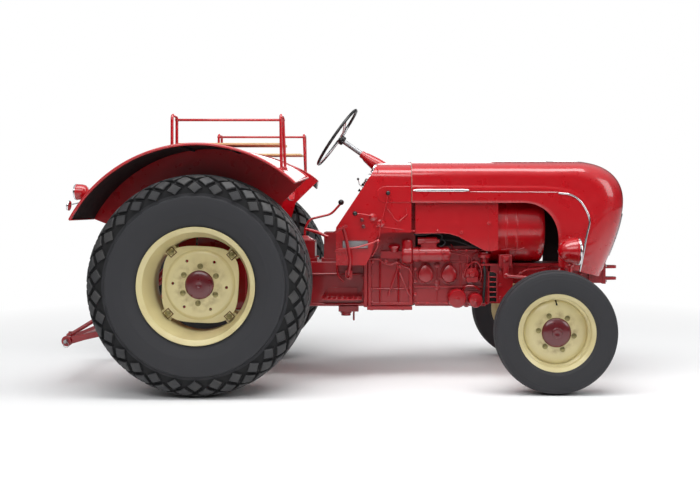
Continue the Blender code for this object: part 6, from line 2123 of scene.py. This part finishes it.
    def axle(self) -> None:
        """Adds the differential case, trumpets, brackets and the lift cover."""
        case = Shape().box((-0.17, -0.16, 0.42), (0.18, 0.16, 0.80))
        case.box((-0.200, -0.05, 0.65), (-0.15, 0.05, 0.75))
        for y in (-1, 1):
            for x0, x1, z0, z1 in ((-0.07, 0.07, 0.64, 0.80),):
                y0, y1 = sorted((y * 0.335, y * 0.3652))
                case.box((x0, y0, z0), (x1, y1, z1))
            y0, y1 = sorted((y * 0.12, y * 0.155))
            case.box((-0.13, y0, 0.40), (-0.07, y1, 0.47))
        case.piece("axle_case", self.body, RED_CAST, "rear_axle_housing", bevel=0.010)
        tubes = Shape()
        for y in (-1, 1):
            section = [(0, 0.0), (0.120, 0.0), (0.120, 0.018), (0.104, 0.026), (0.092, 0.10), (0.078, 0.26), (0.074, 0.345), (0.105, 0.358), (0.105, 0.380), (0, 0.380)]
            tubes.turned(section, (0, y * 0.14, 0.625), (0, y, 0), 64)
            tubes.bolts([polar((0, y * 0.158, 0.625), (0, y, 0), 45 * k, 0.108, 0) for k in range(8)], (0, y, 0), 0.009, 0.008)
            tubes.rod((-0.10, y * 0.12, 0.42), (-0.10, y * 0.1817, 0.42), 0.028)
        tubes.piece("axle_trumpets", self.body, RED_CAST, sharp=34)
        lift = Shape().box((-0.15, -0.12, 0.8003), (0.16, 0.12, 0.87))
        for y in (-1, 1):
            y0, y1 = sorted((y * 0.185, y * 0.205))
            lift.prism([(0.050, 0.865), (0.050, 0.805), (0.010, 0.795), (-0.250, 0.780), (-0.262, 0.800), (-0.250, 0.825)], y0, y1, Facing.LEFTWARD)
        lift.rod((0.02, -0.215, 0.835), (0.02, 0.215, 0.835), 0.022)
        lift.bolts([(x, y, 0.870) for x in (-0.13, 0.14) for y in (-0.10, 0.10)], (0, 0, 1), 0.009, 0.007)
        lift.piece("lift_cover", self.body, RED_CAST, "lift_housing", bevel=0.004)

    def hitch(self) -> None:
        """Adds the lower links, drawbar, stays, lift rods and lynch pins."""
        front, rear = Vector((-0.10, 0.20, 0.42)), Vector((-0.867, 0.36, 0.258))
        pins = Shape()
        for side in Side:
            s, name = side.value, side.label
            start, end = Vector((front.x, s * front.y, front.z)), Vector((rear.x, s * rear.y, rear.z))
            run = (end - start).normalized()
            across = run.cross(Vector((0, 0, 1))).normalized()
            up = across.cross(run)
            link = Shape()
            rings = []
            for t in (0.0, 0.06, 0.12, 0.5, 0.88, 0.95, 1.0):
                here, tall, thin = start.lerp(end, t), (0.018 if 0.1 < t < 0.9 else 0.022), 0.0085
                rings.append([here + up * a * tall + across * b * thin for a, b in ((-1, -1), (1, -1), (1, 1), (-1, 1))])
            link.rings(rings)
            for place in (start, end):
                link.turned([(0.011, -0.017), (0.028, -0.017), (0.032, -0.010), (0.032, 0.010), (0.028, 0.017), (0.011, 0.017)], place, (0, s, 0), 40, closed=True)
                link.ball(place, 0.019)
            link.piece(f"lower_link_bar_{name}", self.body, RED_CAST, f"lower_link_{name}", bevel=0.0025)
            rod = Shape()
            foot = start.lerp(end, 0.55) + Vector((0, 0, 0.034))
            top = Vector((-0.235, s * 0.225, 0.800))
            rod.rod(top, foot, 0.011)
            rod.rod(top.lerp(foot, 0.45), top.lerp(foot, 0.72), 0.0165, steps=8)
            rod.rod((top.x, s * 0.2053, top.z), (top.x, s * 0.240, top.z), 0.022)
            rod.box((foot.x - 0.020, foot.y - 0.016, foot.z - 0.0135), (foot.x + 0.020, foot.y + 0.016, foot.z + 0.014))
            rod.piece(f"lift_rod_detail_{name}", self.body, RED_CAST, f"lift_rod_{name}", bevel=0.002)
            tip = end + Vector((0, s * 0.020, 0))
            pins.rod(end + Vector((0, -s * 0.018, 0)), end + Vector((0, s * 0.036, 0)), 0.0108)
            loop = [tip + Vector((0.004, s * 0.012, -0.014)) + Vector((0.016 * math.cos(a), 0.002, 0.016 * math.sin(a) - 0.006)) for a in spread(0, 2 * math.pi, 25)[:-1]]
            pins.tube(loop, 0.0016, 7, closed=True)
        pins.piece("hitch_pins", self.body, STEEL)
        bar = Shape().box((-0.897, -0.3417, 0.2455), (-0.837, 0.3417, 0.2705))
        drills = Shape()
        for y in (-0.20, 0.0, 0.20):
            drills.rod((-0.867, y, 0.22), (-0.867, y, 0.30), 0.011)
        bar.carved(drills).piece("drawbar_flat", self.body, RED_CAST, "drawbar", bevel=0.002)
        stays = Shape().box((-0.250, -0.045, 0.67), (-0.2003, 0.045, 0.73))
        for s in (-1, 1):
            foot = Vector((-0.867, s * 0.3067, 0.2858))
            stays.rod((-0.225, s * 0.03, 0.70), foot, 0.013)
            stays.turned([(0, -0.015), (0.024, -0.015), (0.024, 0.006), (0.018, 0.010), (0, 0.010)], foot, (0, 0, 1), 32)
            stays.bolt(foot + Vector((0, 0, 0.009)), (0, 0, 1), 0.014, 0.010)
        stays.piece("drawbar_stay_rods", self.body, RED_CAST, "drawbar_stays", bevel=0.003)

    def exhaust(self) -> None:
        """Adds the manifold, down pipe and silencer."""
        pipe = Shape()
        y = 0.165
        corners = [(1.66, y, 1.06), (1.262, y, 1.06), (1.262, 0.235, 0.90), (1.262, 0.235, 0.42), (0.70, 0.235, 0.42)]
        pipe.tube(eased(corners, 0.06, 10), 0.022, 24)
        for x in (1.31, 1.46, 1.61):
            pipe.rod((x, 0.1103, 1.06), (x, y, 1.06), 0.022)
            pipe.box((x - 0.034, 0.1103, 1.036), (x + 0.034, 0.119, 1.084))
            pipe.bolts([(x - 0.027, 0.119, 1.06), (x + 0.027, 0.119, 1.06)], (0, 1, 0), 0.007, 0.006)
        pipe.turned([(0, 0.92), (0.020, 0.92), (0.046, 0.940), (0.048, 0.946), (0.048, 1.174), (0.046, 1.180), (0.020, 1.20), (0, 1.20)], (0, 0.235, 0.42), (1, 0, 0), 40)
        for x in (0.955, 1.165):
            pipe.turned([(0.046, x - 0.010), (0.0505, x - 0.010), (0.0505, x + 0.010), (0.046, x + 0.010)], (0, 0.235, 0.42), (1, 0, 0), 40, closed=True)
        pipe.piece("exhaust_pipework", self.body, HOT_STEEL, "exhaust", sharp=34)


# ---------------------------------------------------------------- front end and controls


@dataclass
class FrontEnd:
    """Carrier casting, axle beam, knuckles, steering links, towing jaw and headlamps."""

    lamp: tuple[float, float, float] = (2.160, 0.365, 0.798)
    lamp_radius: float = 0.0835
    arm_z: float = 0.655
    body: str = "chassis"

    def build(self) -> None:
        """Builds and dresses the front end."""
        self.carrier()
        self.axle()
        self.knuckles()
        self.links()
        self.jaw()
        for side in Side:
            self.headlamp(side)

    def carrier(self) -> None:
        """Adds the carrier casting with its slotted side box and steering box."""
        base = Shape().box((1.7003, -0.200, 0.465), (1.84, 0.200, 0.7097))
        base.box((1.81, -0.110, 0.58), (2.36, 0.110, 0.7097))
        base.box((2.33, -0.070, 0.58), (2.43, 0.070, 0.7097))
        for x0, x1 in ((1.940, 1.975), (2.065, 2.100)):
            base.box((x0, -0.045, 0.49), (x1, 0.045, 0.59))
        base.box((1.750, -0.236, 0.690), (1.830, -0.165, 0.770))
        for y in (-1, 1):
            y0, y1 = sorted((y * 0.108, y * 0.122))
            base.box((1.86, y0, 0.690), (2.34, y1, 0.7085))
            base.box((1.86, y0, 0.582), (2.34, y1, 0.598))
            for x in (1.95, 2.09, 2.23, 2.335):
                base.box((x - 0.005, y0, 0.585), (x + 0.005, y1, 0.705))
        base.rod((1.79, -0.20, 0.742), (1.79, -0.2417, 0.742), 0.020)
        base.piece("carrier_casting", self.body, RED_CAST, "front_carrier", bevel=0.006)
        # a black plate behind the slot bars, painted shade for the hollow behind them
        slot = Shape().prism([(1.685, 0.475), (1.740, 0.475), (1.740, 0.648), (1.722, 0.660), (1.685, 0.660)], -0.2035, -0.1995, Facing.LEFTWARD)
        slot.piece("carrier_slot_back", self.body, BLACK)
        bars = Shape()
        for z in spread(0.505, 0.630, 5):
            bars.rod((1.690, -0.2045, z), (1.735, -0.2045, z), 0.0042, steps=14)
        loop = [(1.690, -0.205, 0.475), (1.742, -0.205, 0.475), (1.742, -0.205, 0.650), (1.724, -0.205, 0.663), (1.690, -0.205, 0.663)]
        bars.tube(loop, 0.0045, 10, closed=True)
        bars.bolts([(1.765, -0.2003, z) for z in (0.50, 0.58, 0.66)] + [(1.82, -0.2003, z) for z in (0.50, 0.64)], (0, -1, 0), 0.009, 0.007)
        bars.turned([(0, 0), (0.036, 0), (0.040, 0.006), (0.040, 0.020), (0.030, 0.026), (0.030, 0.034), (0.014, 0.038), (0, 0.038)], (1.665, -0.185, 0.748), (0, 0, 1), 44)
        bars.rod((1.665, -0.185, 0.68), (1.665, -0.185, 0.750), 0.020)
        bars.box((1.640, -0.212, 0.700), (1.735, -0.165, 0.712))
        bars.tube(flowing([(1.767, -0.2000, 0.797), (1.809, -0.2100, 0.803), (1.859, -0.2100, 0.797), (1.908, -0.2100, 0.810)], 6), 0.0035, 8)
        bars.tube(flowing([(1.848, -0.2000, 0.623), (1.891, -0.2000, 0.654), (1.928, -0.2000, 0.673), (1.980, -0.1900, 0.678), (2.048, -0.1600, 0.688)], 6), 0.0055, 10)
        bars.bolts([(x, -0.1222, 0.645) for x in (1.90, 2.02, 2.16, 2.28)], (0, -1, 0), 0.010, 0.007)
        bars.bolts([(x, 0.1222, 0.645) for x in (1.90, 2.02, 2.16, 2.28)], (0, 1, 0), 0.010, 0.007)
        bars.bolts([(1.79 + dx, -0.2362, 0.73 + dz) for dx, dz in ((-0.03, -0.03), (0.03, -0.03), (-0.03, 0.03), (0.03, 0.03))], (0, -1, 0), 0.006, 0.0022)
        bars.piece("carrier_fittings", self.body, RED_CAST, sharp=34)
        hose = Shape().tube(flowing([(1.658, -0.2000, 0.722), (1.666, -0.2100, 0.642), (1.660, -0.2100, 0.549), (1.655, -0.2000, 0.468)], 8), 0.0085, 12)
        hose.piece("carrier_hose", self.body, HOSE)

    def axle(self) -> None:
        """Adds the axle beam with its kingpin bosses and pivot."""
        beam = Shape().box((1.985, -0.480, 0.512), (2.055, 0.480, 0.5797))
        for s in (-1, 1):
            section = [(0.0198, 0.435), (0.036, 0.435), (0.038, 0.440), (0.038, 0.580), (0.036, 0.585), (0.0198, 0.585)]
            beam.turned(section, (2.02, s * 0.50, 0), (0, 0, 1), 48, closed=True)
            y0, y1 = sorted((s * 0.30, s * 0.47))
            beam.box((1.992, y0, 0.500), (2.048, y1, 0.516))
        beam.rod((1.93, 0, 0.545), (2.11, 0, 0.545), 0.020)
        beam.piece("axle_beam", self.body, RED_CAST, "front_axle", bevel=0.006)

    def knuckles(self) -> None:
        """Adds the kingpins with their stub axles and steering arms."""
        for side in Side:
            s, name = side.value, side.label
            y = s * 0.50
            knuckle = Shape()
            section = [(0, 0.322), (0.030, 0.322), (0.034, 0.328), (0.034, 0.430), (0.030, 0.4344), (0.0188, 0.4344), (0.0188, 0.5856), (0.030, 0.5856), (0.030, 0.612), (0.026, 0.618), (0, 0.618)]
            knuckle.turned(section, (2.02, y, 0), (0, 0, 1), 48)
            knuckle.turned([(0, 0), (0.034, 0), (0.034, 0.040), (0.0225, 0.050), (0.0215, 0.128), (0, 0.130)], (2.02, y, 0.352), (0, s, 0), 40)
            eye_x, eye_y = 1.88, s * 0.46
            knuckle.prism([(2.04, y - 0.022), (2.04, y + 0.022), (1.95, y + 0.004 + s * -0.016 + 0.018), (eye_x - 0.014, eye_y + 0.014), (eye_x - 0.014, eye_y - 0.014), (1.95, y - 0.004 + s * -0.016 - 0.018)], 0.327, 0.345, Facing.UPWARD)
            knuckle.bolt((2.02, y, 0.618), (0, 0, 1), 0.015, 0.008)
            if s < 0:
                knuckle.prism([(1.998, y), (2.042, y), (2.036, -0.384), (2.004, -0.384)], 0.602, 0.618, Facing.UPWARD)
            knuckle.piece(f"knuckle_detail_{name}", f"knuckle_{name}", RED_CAST, f"knuckle_{name}", bevel=0.002)

    def links(self) -> None:
        """Adds the tie rod, drop arm and drag link."""
        tie = Shape().rod((1.88, -0.46, 0.3605), (1.88, 0.46, 0.3605), 0.012)
        for s in (-1, 1):
            tie.turned([(0, 0.3453), (0.014, 0.3453), (0.017, 0.350), (0.017, 0.366), (0.012, 0.3745), (0, 0.3745)], (1.88, s * 0.46, 0), (0, 0, 1), 32)
            tie.rod((1.88, s * 0.36, 0.3605), (1.88, s * 0.40, 0.3605), 0.0165, steps=6)
        tie.piece("tie_rod_detail", "tie_rod", RED_CAST, "tie_rod", sharp=34)
        arm = Shape().prism([(1.770, 0.762), (1.777, 0.629), (1.803, 0.629), (1.810, 0.762)], -0.262, -0.242, Facing.LEFTWARD)
        arm.piece("drop_arm_detail", "drop_arm", RED_CAST, "drop_arm", bevel=0.003)
        nut = Shape().bolt((1.79, -0.262, 0.742), (0, -1, 0), 0.015, 0.010)
        nut.piece("drop_arm_nut", "drop_arm", RED_CAST)
        rear, front = Vector((1.79, -0.2743, 0.642)), Vector((2.02, -0.40, 0.6345))
        link = Shape().rod(rear, front, 0.009)
        link.turned([(0, 0.0), (0.013, 0.0), (0.015, 0.004), (0.015, 0.020), (0.010, 0.024), (0, 0.024)], (1.79, -0.2623, 0.642), (0, -1, 0), 32)
        link.turned([(0, 0.6183), (0.013, 0.6183), (0.015, 0.623), (0.015, 0.640), (0.010, 0.6475), (0, 0.6475)], (2.02, -0.40, 0), (0, 0, 1), 32)
        link.piece("drag_link_detail", "drag_link", RED_CAST, "drag_link", sharp=34)

    def jaw(self) -> None:
        """Adds the towing jaw with its prongs and pin."""
        f = 2.4303
        hole = Shape().rod((f + 0.080, 0, 0.56), (f + 0.080, 0, 0.73), 0.010)
        jaw = Shape().box((f, -0.070, 0.575), (f + 0.020, 0.070, 0.705))
        prongs = Shape()
        for z in (0.606, 0.680):
            outline = [(f + 0.015, -0.045), (f + 0.070, -0.034)] + [(f + 0.074 + 0.030 * math.cos(a), 0.034 * math.sin(a)) for a in spread(-1.2, 1.2, 12)]
            outline += [(f + 0.070, 0.034), (f + 0.015, 0.045)]
            prongs.prism(outline, z - 0.009, z + 0.009, Facing.UPWARD)
        drilled = prongs.carved(hole)
        jaw.add(drilled.vertices, drilled.faces)
        jaw.piece("towing_jaw", self.body, RED_CAST, "front_hitch_jaw", bevel=0.003)
        bolts = Shape().bolts([(f + 0.020, y, z) for y in (-0.057, 0.057) for z in (0.592, 0.688)], (1, 0, 0), 0.009, 0.007)
        bolts.piece("jaw_bolts", self.body, STEEL)

    def headlamp(self, side: Side) -> None:
        """Adds one bullet headlamp with its bracket.

        Args:
            side: Which side it stands on.
        """
        s, name, r = side.value, side.label, self.lamp_radius
        x, y, z = self.lamp[0], s * self.lamp[1], self.lamp[2]
        profile = [(0, -0.072), (0.010, -0.0715), (0.024, -0.068), (0.040, -0.058), (0.054, -0.044), (0.065, -0.026), (0.073, -0.004)]
        profile += [(0.078, 0.018), (0.0805, 0.034), (r, 0.036), (r + 0.0006, 0.044), (r - 0.002, 0.046), (0.078, 0.046), (0.0, 0.030)]
        bowl = Shape().turned(profile, (x, y, z), (1, 0, 0), 80)
        bowl.rod((x - 0.004, y, z + 0.079), (x - 0.004, y, z + 0.088), 0.006, 0.004, steps=16)
        start = (x, s * 0.1103, self.arm_z)
        bowl.tube(eased([start, (x, y, self.arm_z), (x, y, z - 0.070)], 0.03, 7), 0.012, 20)
        bowl.turned([(0, 0), (0.020, 0), (0.022, 0.005), (0.018, 0.014), (0, 0.016)], (x, y, z - 0.090), (0, 0, 1), 32)
        bowl.turned([(0, 0), (0.026, 0), (0.026, 0.006), (0.016, 0.012), (0, 0.013)], start, (0, s, 0), 32)
        bowl.piece(f"headlamp_bowl_{name}", self.body, RED_SHEET, f"headlamp_{name}", sharp=45)
        ring = Shape().turned([(0.070, 0.046), (r, 0.046), (r + 0.001, 0.051), (r - 0.002, 0.058), (0.074, 0.061), (0.070, 0.058)], (x, y, z), (1, 0, 0), 80, closed=True)
        ring.piece(f"headlamp_rim_{name}", self.body, CHROME)
        dish = Shape().turned([(0.071, 0.047), (0.071, 0.055), (0.052, 0.040), (0.020, 0.033), (0, 0.032), (0, 0.0305)], (x, y, z), (1, 0, 0), 64)
        dish.piece(f"headlamp_reflector_{name}", self.body, REFLECTOR)
        lens = Shape().ball((x + 0.056, y, z), 0.0725, (1, 0, 0), 0.22)
        lens.piece(f"headlamp_lens_{name}", self.body, CLEAR_LENS)


@dataclass
class DriverPlace:
    """Seat, steering wheel and column, pedals, levers and foot plates."""

    hub: tuple[float, float, float] = (0.761, 0.0, 1.4985)
    pitch: float = math.radians(35.0)
    wheel_radius: float = 0.2125
    rim: float = 0.0095
    dish: float = 0.027
    seat_height: float = 1.115
    body: str = "chassis"

    def column_point(self, t: float) -> Vector:
        """A place on the column's line, t metres ahead of the hub."""
        return Vector(self.hub) + Vector((math.cos(self.pitch), 0, -math.sin(self.pitch))) * t

    def build(self) -> None:
        """Builds and dresses the driver's place."""
        self.column()
        self.wheel()
        self.seat()
        self.pedals()
        self.levers()

    def column(self) -> None:
        """Adds the column with its cone boss."""
        along = Vector((math.cos(self.pitch), 0, -math.sin(self.pitch)))
        boss = [(0, 0.160), (0.021, 0.160), (0.024, 0.166), (0.024, 0.185), (0.031, 0.200), (0.043, 0.270), (0.0455, 0.300), (0.0458, 0.400), (0, 0.400)]
        Shape().turned(boss, self.hub, along, 56).piece("column_boss", self.body, RED_SHEET, "steering_column", sharp=34)
        tube = Shape().turned([(0, 0.0255), (0.0155, 0.0255), (0.0155, 0.175), (0, 0.175)], self.hub, along, 32)
        tube.piece("column_tube", self.body, STEEL)

    def wheel(self) -> None:
        """Adds the dished wheel with its thin rim, bright spokes and hub cap."""
        hub = Vector(self.hub)
        back = Vector((-math.cos(self.pitch), 0, math.sin(self.pitch)))
        up = Vector((math.sin(self.pitch), 0, math.cos(self.pitch)))
        centre = hub + back * self.dish
        across = Vector((0, 1, 0))
        rim = Shape()
        ring = [centre + (up * math.cos(a) + across * math.sin(a)) * self.wheel_radius for a in spread(0, 2 * math.pi, 97)[:-1]]
        radii = [self.rim * (1.0 - 0.05 * (k % 3 == 0)) for k in range(96)]
        rim.tube(ring, radii, 16, closed=True)
        rim.turned([(0, -0.025), (0.026, -0.025), (0.030, -0.018), (0.030, -0.004), (0.026, 0.006), (0.024, 0.012), (0.012, 0.0155), (0, 0.016)], hub, back, 48)
        rim.piece("steering_wheel_rim", "steering_wheel", BLACK, "steering_wheel", sharp=45)
        spokes = Shape()
        for k in range(3):
            a = 2 * math.pi * k / 3 + math.pi
            for off in (-0.011, 0.011):
                radial = up * math.cos(a) + across * math.sin(a)
                side = back.cross(radial)
                start = hub + radial * 0.018 + side * off * 0.8
                tip = centre + radial * (self.wheel_radius - 0.003) + side * off
                spokes.tube(flowing([start, start.lerp(tip, 0.5) - back * 0.004, tip], 5), 0.0032, 10)
        spokes.piece("steering_wheel_spokes", "steering_wheel", CHROME)

    def seat(self) -> None:
        """Adds the pressed pan with its rolled edge and the leaf spring."""
        front, rear, count, width = 0.440, 0.030, 48, 34
        rows = []
        for i in range(count + 1):
            x = front + (rear - front) * i / count
            back = max(0.0, (0.17 - (x - rear)) / 0.17)
            lip = max(0.0, (x - 0.38) / 0.06)
            row = []
            for j in range(width + 1):
                v = 1 - 2 * j / width
                narrow = 1.0 - 0.18 * back * back - 0.10 * max(0.0, (x - 0.36) / 0.08) ** 2 * abs(v) ** 3
                rise = 0.190 * back**1.6 * (1 - 0.25 * v * v)
                hollow = 0.006 * math.cos(v * math.pi) * (1 - back)
                z = self.seat_height + 0.002 + rise + 0.055 * abs(v) ** 3 - 0.012 * lip + hollow * 0.6
                row.append(Vector((x - 0.05 * back * back + 0.05 * v * v * back, 0.23 * v * narrow, z)))
            rows.append(row[::-1])
        pan = Shape().shell(rows, 0.004)
        edge = rows[0] + [r[-1] for r in rows[1:]] + rows[-1][-2::-1] + [r[0] for r in rows[-2:0:-1]]
        pan.tube(edge, 0.0045, 8, closed=True)
        pan.piece("seat_pan", self.body, RED_SHEET, "driver_seat", sharp=60)
        holes = Shape()
        for x, y in ((0.16, 0.0), (0.22, 0.05), (0.22, -0.05), (0.30, 0.05), (0.30, -0.05)):
            holes.ball((x, y, self.seat_height + 0.004), 0.010, squash=0.35)
        holes.piece("seat_bolts", self.body, STEEL)
        foot, top, half = 0.8774, 1.1045, 0.030
        path = flowing([(-0.12, 0, foot), (0.03, 0, foot), (0.12, 0, foot + 0.033), (0.19, 0, foot + 0.113), (0.215, 0, top - 0.045), (0.25, 0, top - 0.002), (0.36, 0, top - 0.001)], 7)
        spring = Shape()
        rings = []
        for i, p in enumerate(path):
            run = (path[min(i + 1, len(path) - 1)] - path[max(i - 1, 0)]).normalized()
            n = Vector((-run.z, 0, run.x)) * 0.0062
            rings.append([p + n + Vector((0, half, 0)), p + n - Vector((0, half, 0)), p - n - Vector((0, half, 0)), p - n + Vector((0, half, 0))])
        spring.rings(rings)
        spring.bolts([(-0.09, y, foot + 0.006) for y in (-0.015, 0.015)], (0, 0, 1), 0.010, 0.008)
        spring.piece("seat_leaf_spring", self.body, RED_CAST, "seat_spring", bevel=0.0015)

    def pedals(self) -> None:
        """Adds the foot plates and both pedals."""
        for side in Side:
            s, name = side.value, side.label
            y0, y1 = sorted((s * 0.1303, s * 0.335))
            plate = Shape().box((0.660, y0, 0.500), (0.905, y1, 0.506))
            plate.box((0.660, y0, 0.500), (0.666, y1, 0.518))
            a, b = sorted((s * 0.1303, s * 0.1423))
            plate.box((0.690, a, 0.470), (0.875, b, 0.560))
            for k in range(7):
                for j in range(5):
                    x, y = 0.690 + 0.032 * k, s * (0.165 + 0.036 * j)
                    plate.box((x - 0.008, y - 0.002, 0.5055), (x + 0.008, y + 0.002, 0.5085))
            plate.piece(f"foot_plate_tread_{name}", self.body, RED_CAST, f"foot_plate_{name}", bevel=0.001)
            node = "clutch_pedal" if s > 0 else "brake_pedal"
            pedal = Shape()
            path = [(0.820, s * 0.1303, 0.640), (0.820, s * 0.318, 0.640), (0.840, s * 0.345, 0.740), (0.802, s * 0.345, 0.915), (0.790, s * 0.345, 0.936)]
            pedal.tube(eased(path, 0.04, 7), 0.0105, 16)
            y0, y1 = sorted((s * 0.305, s * 0.370))
            pedal.prism([(0.745, 0.905), (0.820, 0.945), (0.814, 0.957), (0.739, 0.917)], y0, y1, Facing.LEFTWARD)
            for k in range(5):
                x = 0.752 + 0.013 * k
                z = 0.9235 + (x - 0.745) * 0.533
                pedal.box((x - 0.002, y0 + 0.004, z - 0.004), (x + 0.002, y1 - 0.004, z + 0.0035))
            pedal.turned([(0, 0), (0.026, 0), (0.026, 0.035), (0.018, 0.040), (0, 0.040)], (0.820, s * 0.135, 0.640), (0, s, 0), 36)
            pedal.piece(f"{node}_detail", self.body, RED_CAST, node, bevel=0.002)

    def levers(self) -> None:
        """Adds the gear lever, throttle, hand levers and their linkages."""
        lever = Shape()
        path = [(0.530, 0, 0.8803), (0.530, 0, 0.925), (0.560, 0, 0.985), (0.700, 0, 1.018), (0.757, 0, 1.082)]
        lever.tube(eased(path, 0.03, 7), 0.0075, 16)
        lever.piece("gear_lever_rod", self.body, RED_SHEET, "gear_lever")
        knobs = Shape().ball((0.763, 0, 1.094), 0.0185)
        rods, steels = Shape(), Shape()
        throttle = [(1.065, -0.2900, 1.149), (1.047, -0.2900, 1.064), (1.022, -0.2900, 0.972), (1.010, -0.2850, 0.881)]
        rods.tube(flowing(throttle, 7), 0.0045, 10)
        knobs.ball(throttle[0], 0.014)
        rods.turned([(0, 0), (0.020, 0), (0.022, 0.004), (0.022, 0.010), (0.012, 0.014), (0, 0.014)], (1.022, -0.2733, 0.966), (0, -1, 0), 32)
        side = [(0.864, -0.3000, 1.024), (0.919, -0.2900, 1.018), (0.973, -0.2850, 1.009)]
        rods.tube(side, 0.0042, 10)
        knobs.ball(side[0], 0.0150)
        rods.turned([(0, 0), (0.024, 0), (0.024, 0.006), (0.014, 0.010), (0.014, 0.018), (0, 0.020)], (0.973, -0.2705, 1.003), (0, -1, 0), 32)
        rods.bolt((0.974, -0.2890, 1.003), (0, -1, 0), 0.010, 0.006)
        rods.box((0.955, -0.2775, 0.985), (0.985, -0.2698, 1.045))
        rods.tube([(0.992, -0.2800, 0.948), (1.108, -0.2770, 0.932), (1.225, -0.2550, 0.916)], 0.0034, 8)
        rods.ball((1.225, -0.2550, 0.916), 0.007)
        cable = [(1.059, -0.2820, 1.052), (1.083, -0.2800, 1.027), (1.108, -0.2790, 0.990), (1.132, -0.2790, 0.978), (1.157, -0.2790, 0.997), (1.181, -0.2760, 1.021), (1.175, -0.2760, 1.058)]
        rods.tube(flowing(cable, 6), 0.0026, 8)
        rods.turned([(0.0, 0), (0.012, 0), (0.012, 0.005), (0, 0.006)], (1.065, -0.2733, 1.058), (0, -1, 0), 24)
        rods.tube(eased([(0.742, -0.3000, 0.796), (0.773, -0.3100, 0.808), (0.864, -0.3100, 0.815), (0.974, -0.3000, 0.845), (1.004, -0.2800, 0.862)], 0.02, 5), 0.0055, 12)
        rods.tube(flowing([(1.004, -0.2800, 0.862), (0.998, -0.2600, 0.818), (0.966, -0.2200, 0.761)], 6), 0.0055, 10)
        rods.ball((1.004, -0.2850, 0.856), 0.012)
        rods.turned([(0, 0), (0.017, 0), (0.017, 0.012), (0, 0.014)], (0.823, -0.2000, 0.629), (0, -1, 0), 32)
        rods.box((0.800, -0.235, 0.625), (0.845, -0.150, 0.672))
        rods.tube([(0.546, -0.1000, 0.924), (0.618, -0.1200, 0.906), (0.688, -0.1300, 0.875)], 0.010, 12)
        rods.tube(flowing([(0.765, -0.1700, 0.795), (0.747, -0.1800, 0.721), (0.754, -0.1900, 0.641), (0.792, -0.2000, 0.598)], 7), 0.006, 10)
        rods.piece("control_rods", self.body, RED_SHEET)
        knobs.piece("control_knobs", self.body, BLACK)
        for x, z in ((0.905, 0.985), (0.915, 0.945)):
            steels.rod((x, -0.2695, z), (x, -0.2815, z), 0.011, steps=24)
            steels.bolt((x, -0.281, z), (0, -1, 0), 0.008, 0.005)
        steels.piece("side_switches", self.body, MAROON)


# ---------------------------------------------------------------- the whole machine


@dataclass
class CarriedOver:
    """Frame nodes that stay as they are, with procedural finishes and rounded edges."""

    bevel: float = 0.0025

    def dress(self) -> None:
        """Gives each node that is still shown its finish."""
        finishes = {
            "red_paint": RED_CAST, "cream_paint": CREAM, "tyre_rubber": RUBBER, "black_plastic": BLACK,
            "varnished_wood": WOOD, "bare_steel": HOT_STEEL, "dark_mesh": DARK_MESH,
        }
        slots = {n: m["slot"] for m in frame["record"].get("materials", []) for n in m.get("nodes", [])}
        for name, node in frame["nodes"].items():
            if node.hide_render:
                continue
            finish = finishes.get(slots.get(name, "red_paint"), RED_CAST)
            node.data.materials.clear()
            node.data.materials.append(finish.material())
            rounding = node.modifiers.new("rounded_edges", "BEVEL")
            rounding.width = self.bevel
            rounding.segments = 2
            rounding.angle_limit = math.radians(35)
            log.info("carried over %s as %s", name, finish.name)


def main() -> None:
    """Builds the sub-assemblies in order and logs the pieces."""
    logging.basicConfig(level=logging.INFO, format="%(name)s: %(message)s")
    Studio().build()
    for side in Side:
        RearWheel(side).build()
        FrontWheel(side).build()
        Fender(side).build()
    Bonnet().build()
    Cowl().build()
    EngineSide().build()
    CoolingShroud().build()
    DriveLine().build()
    FrontEnd().build()
    DriverPlace().build()
    CarriedOver().dress()


if __name__ == "__main__":
    main()
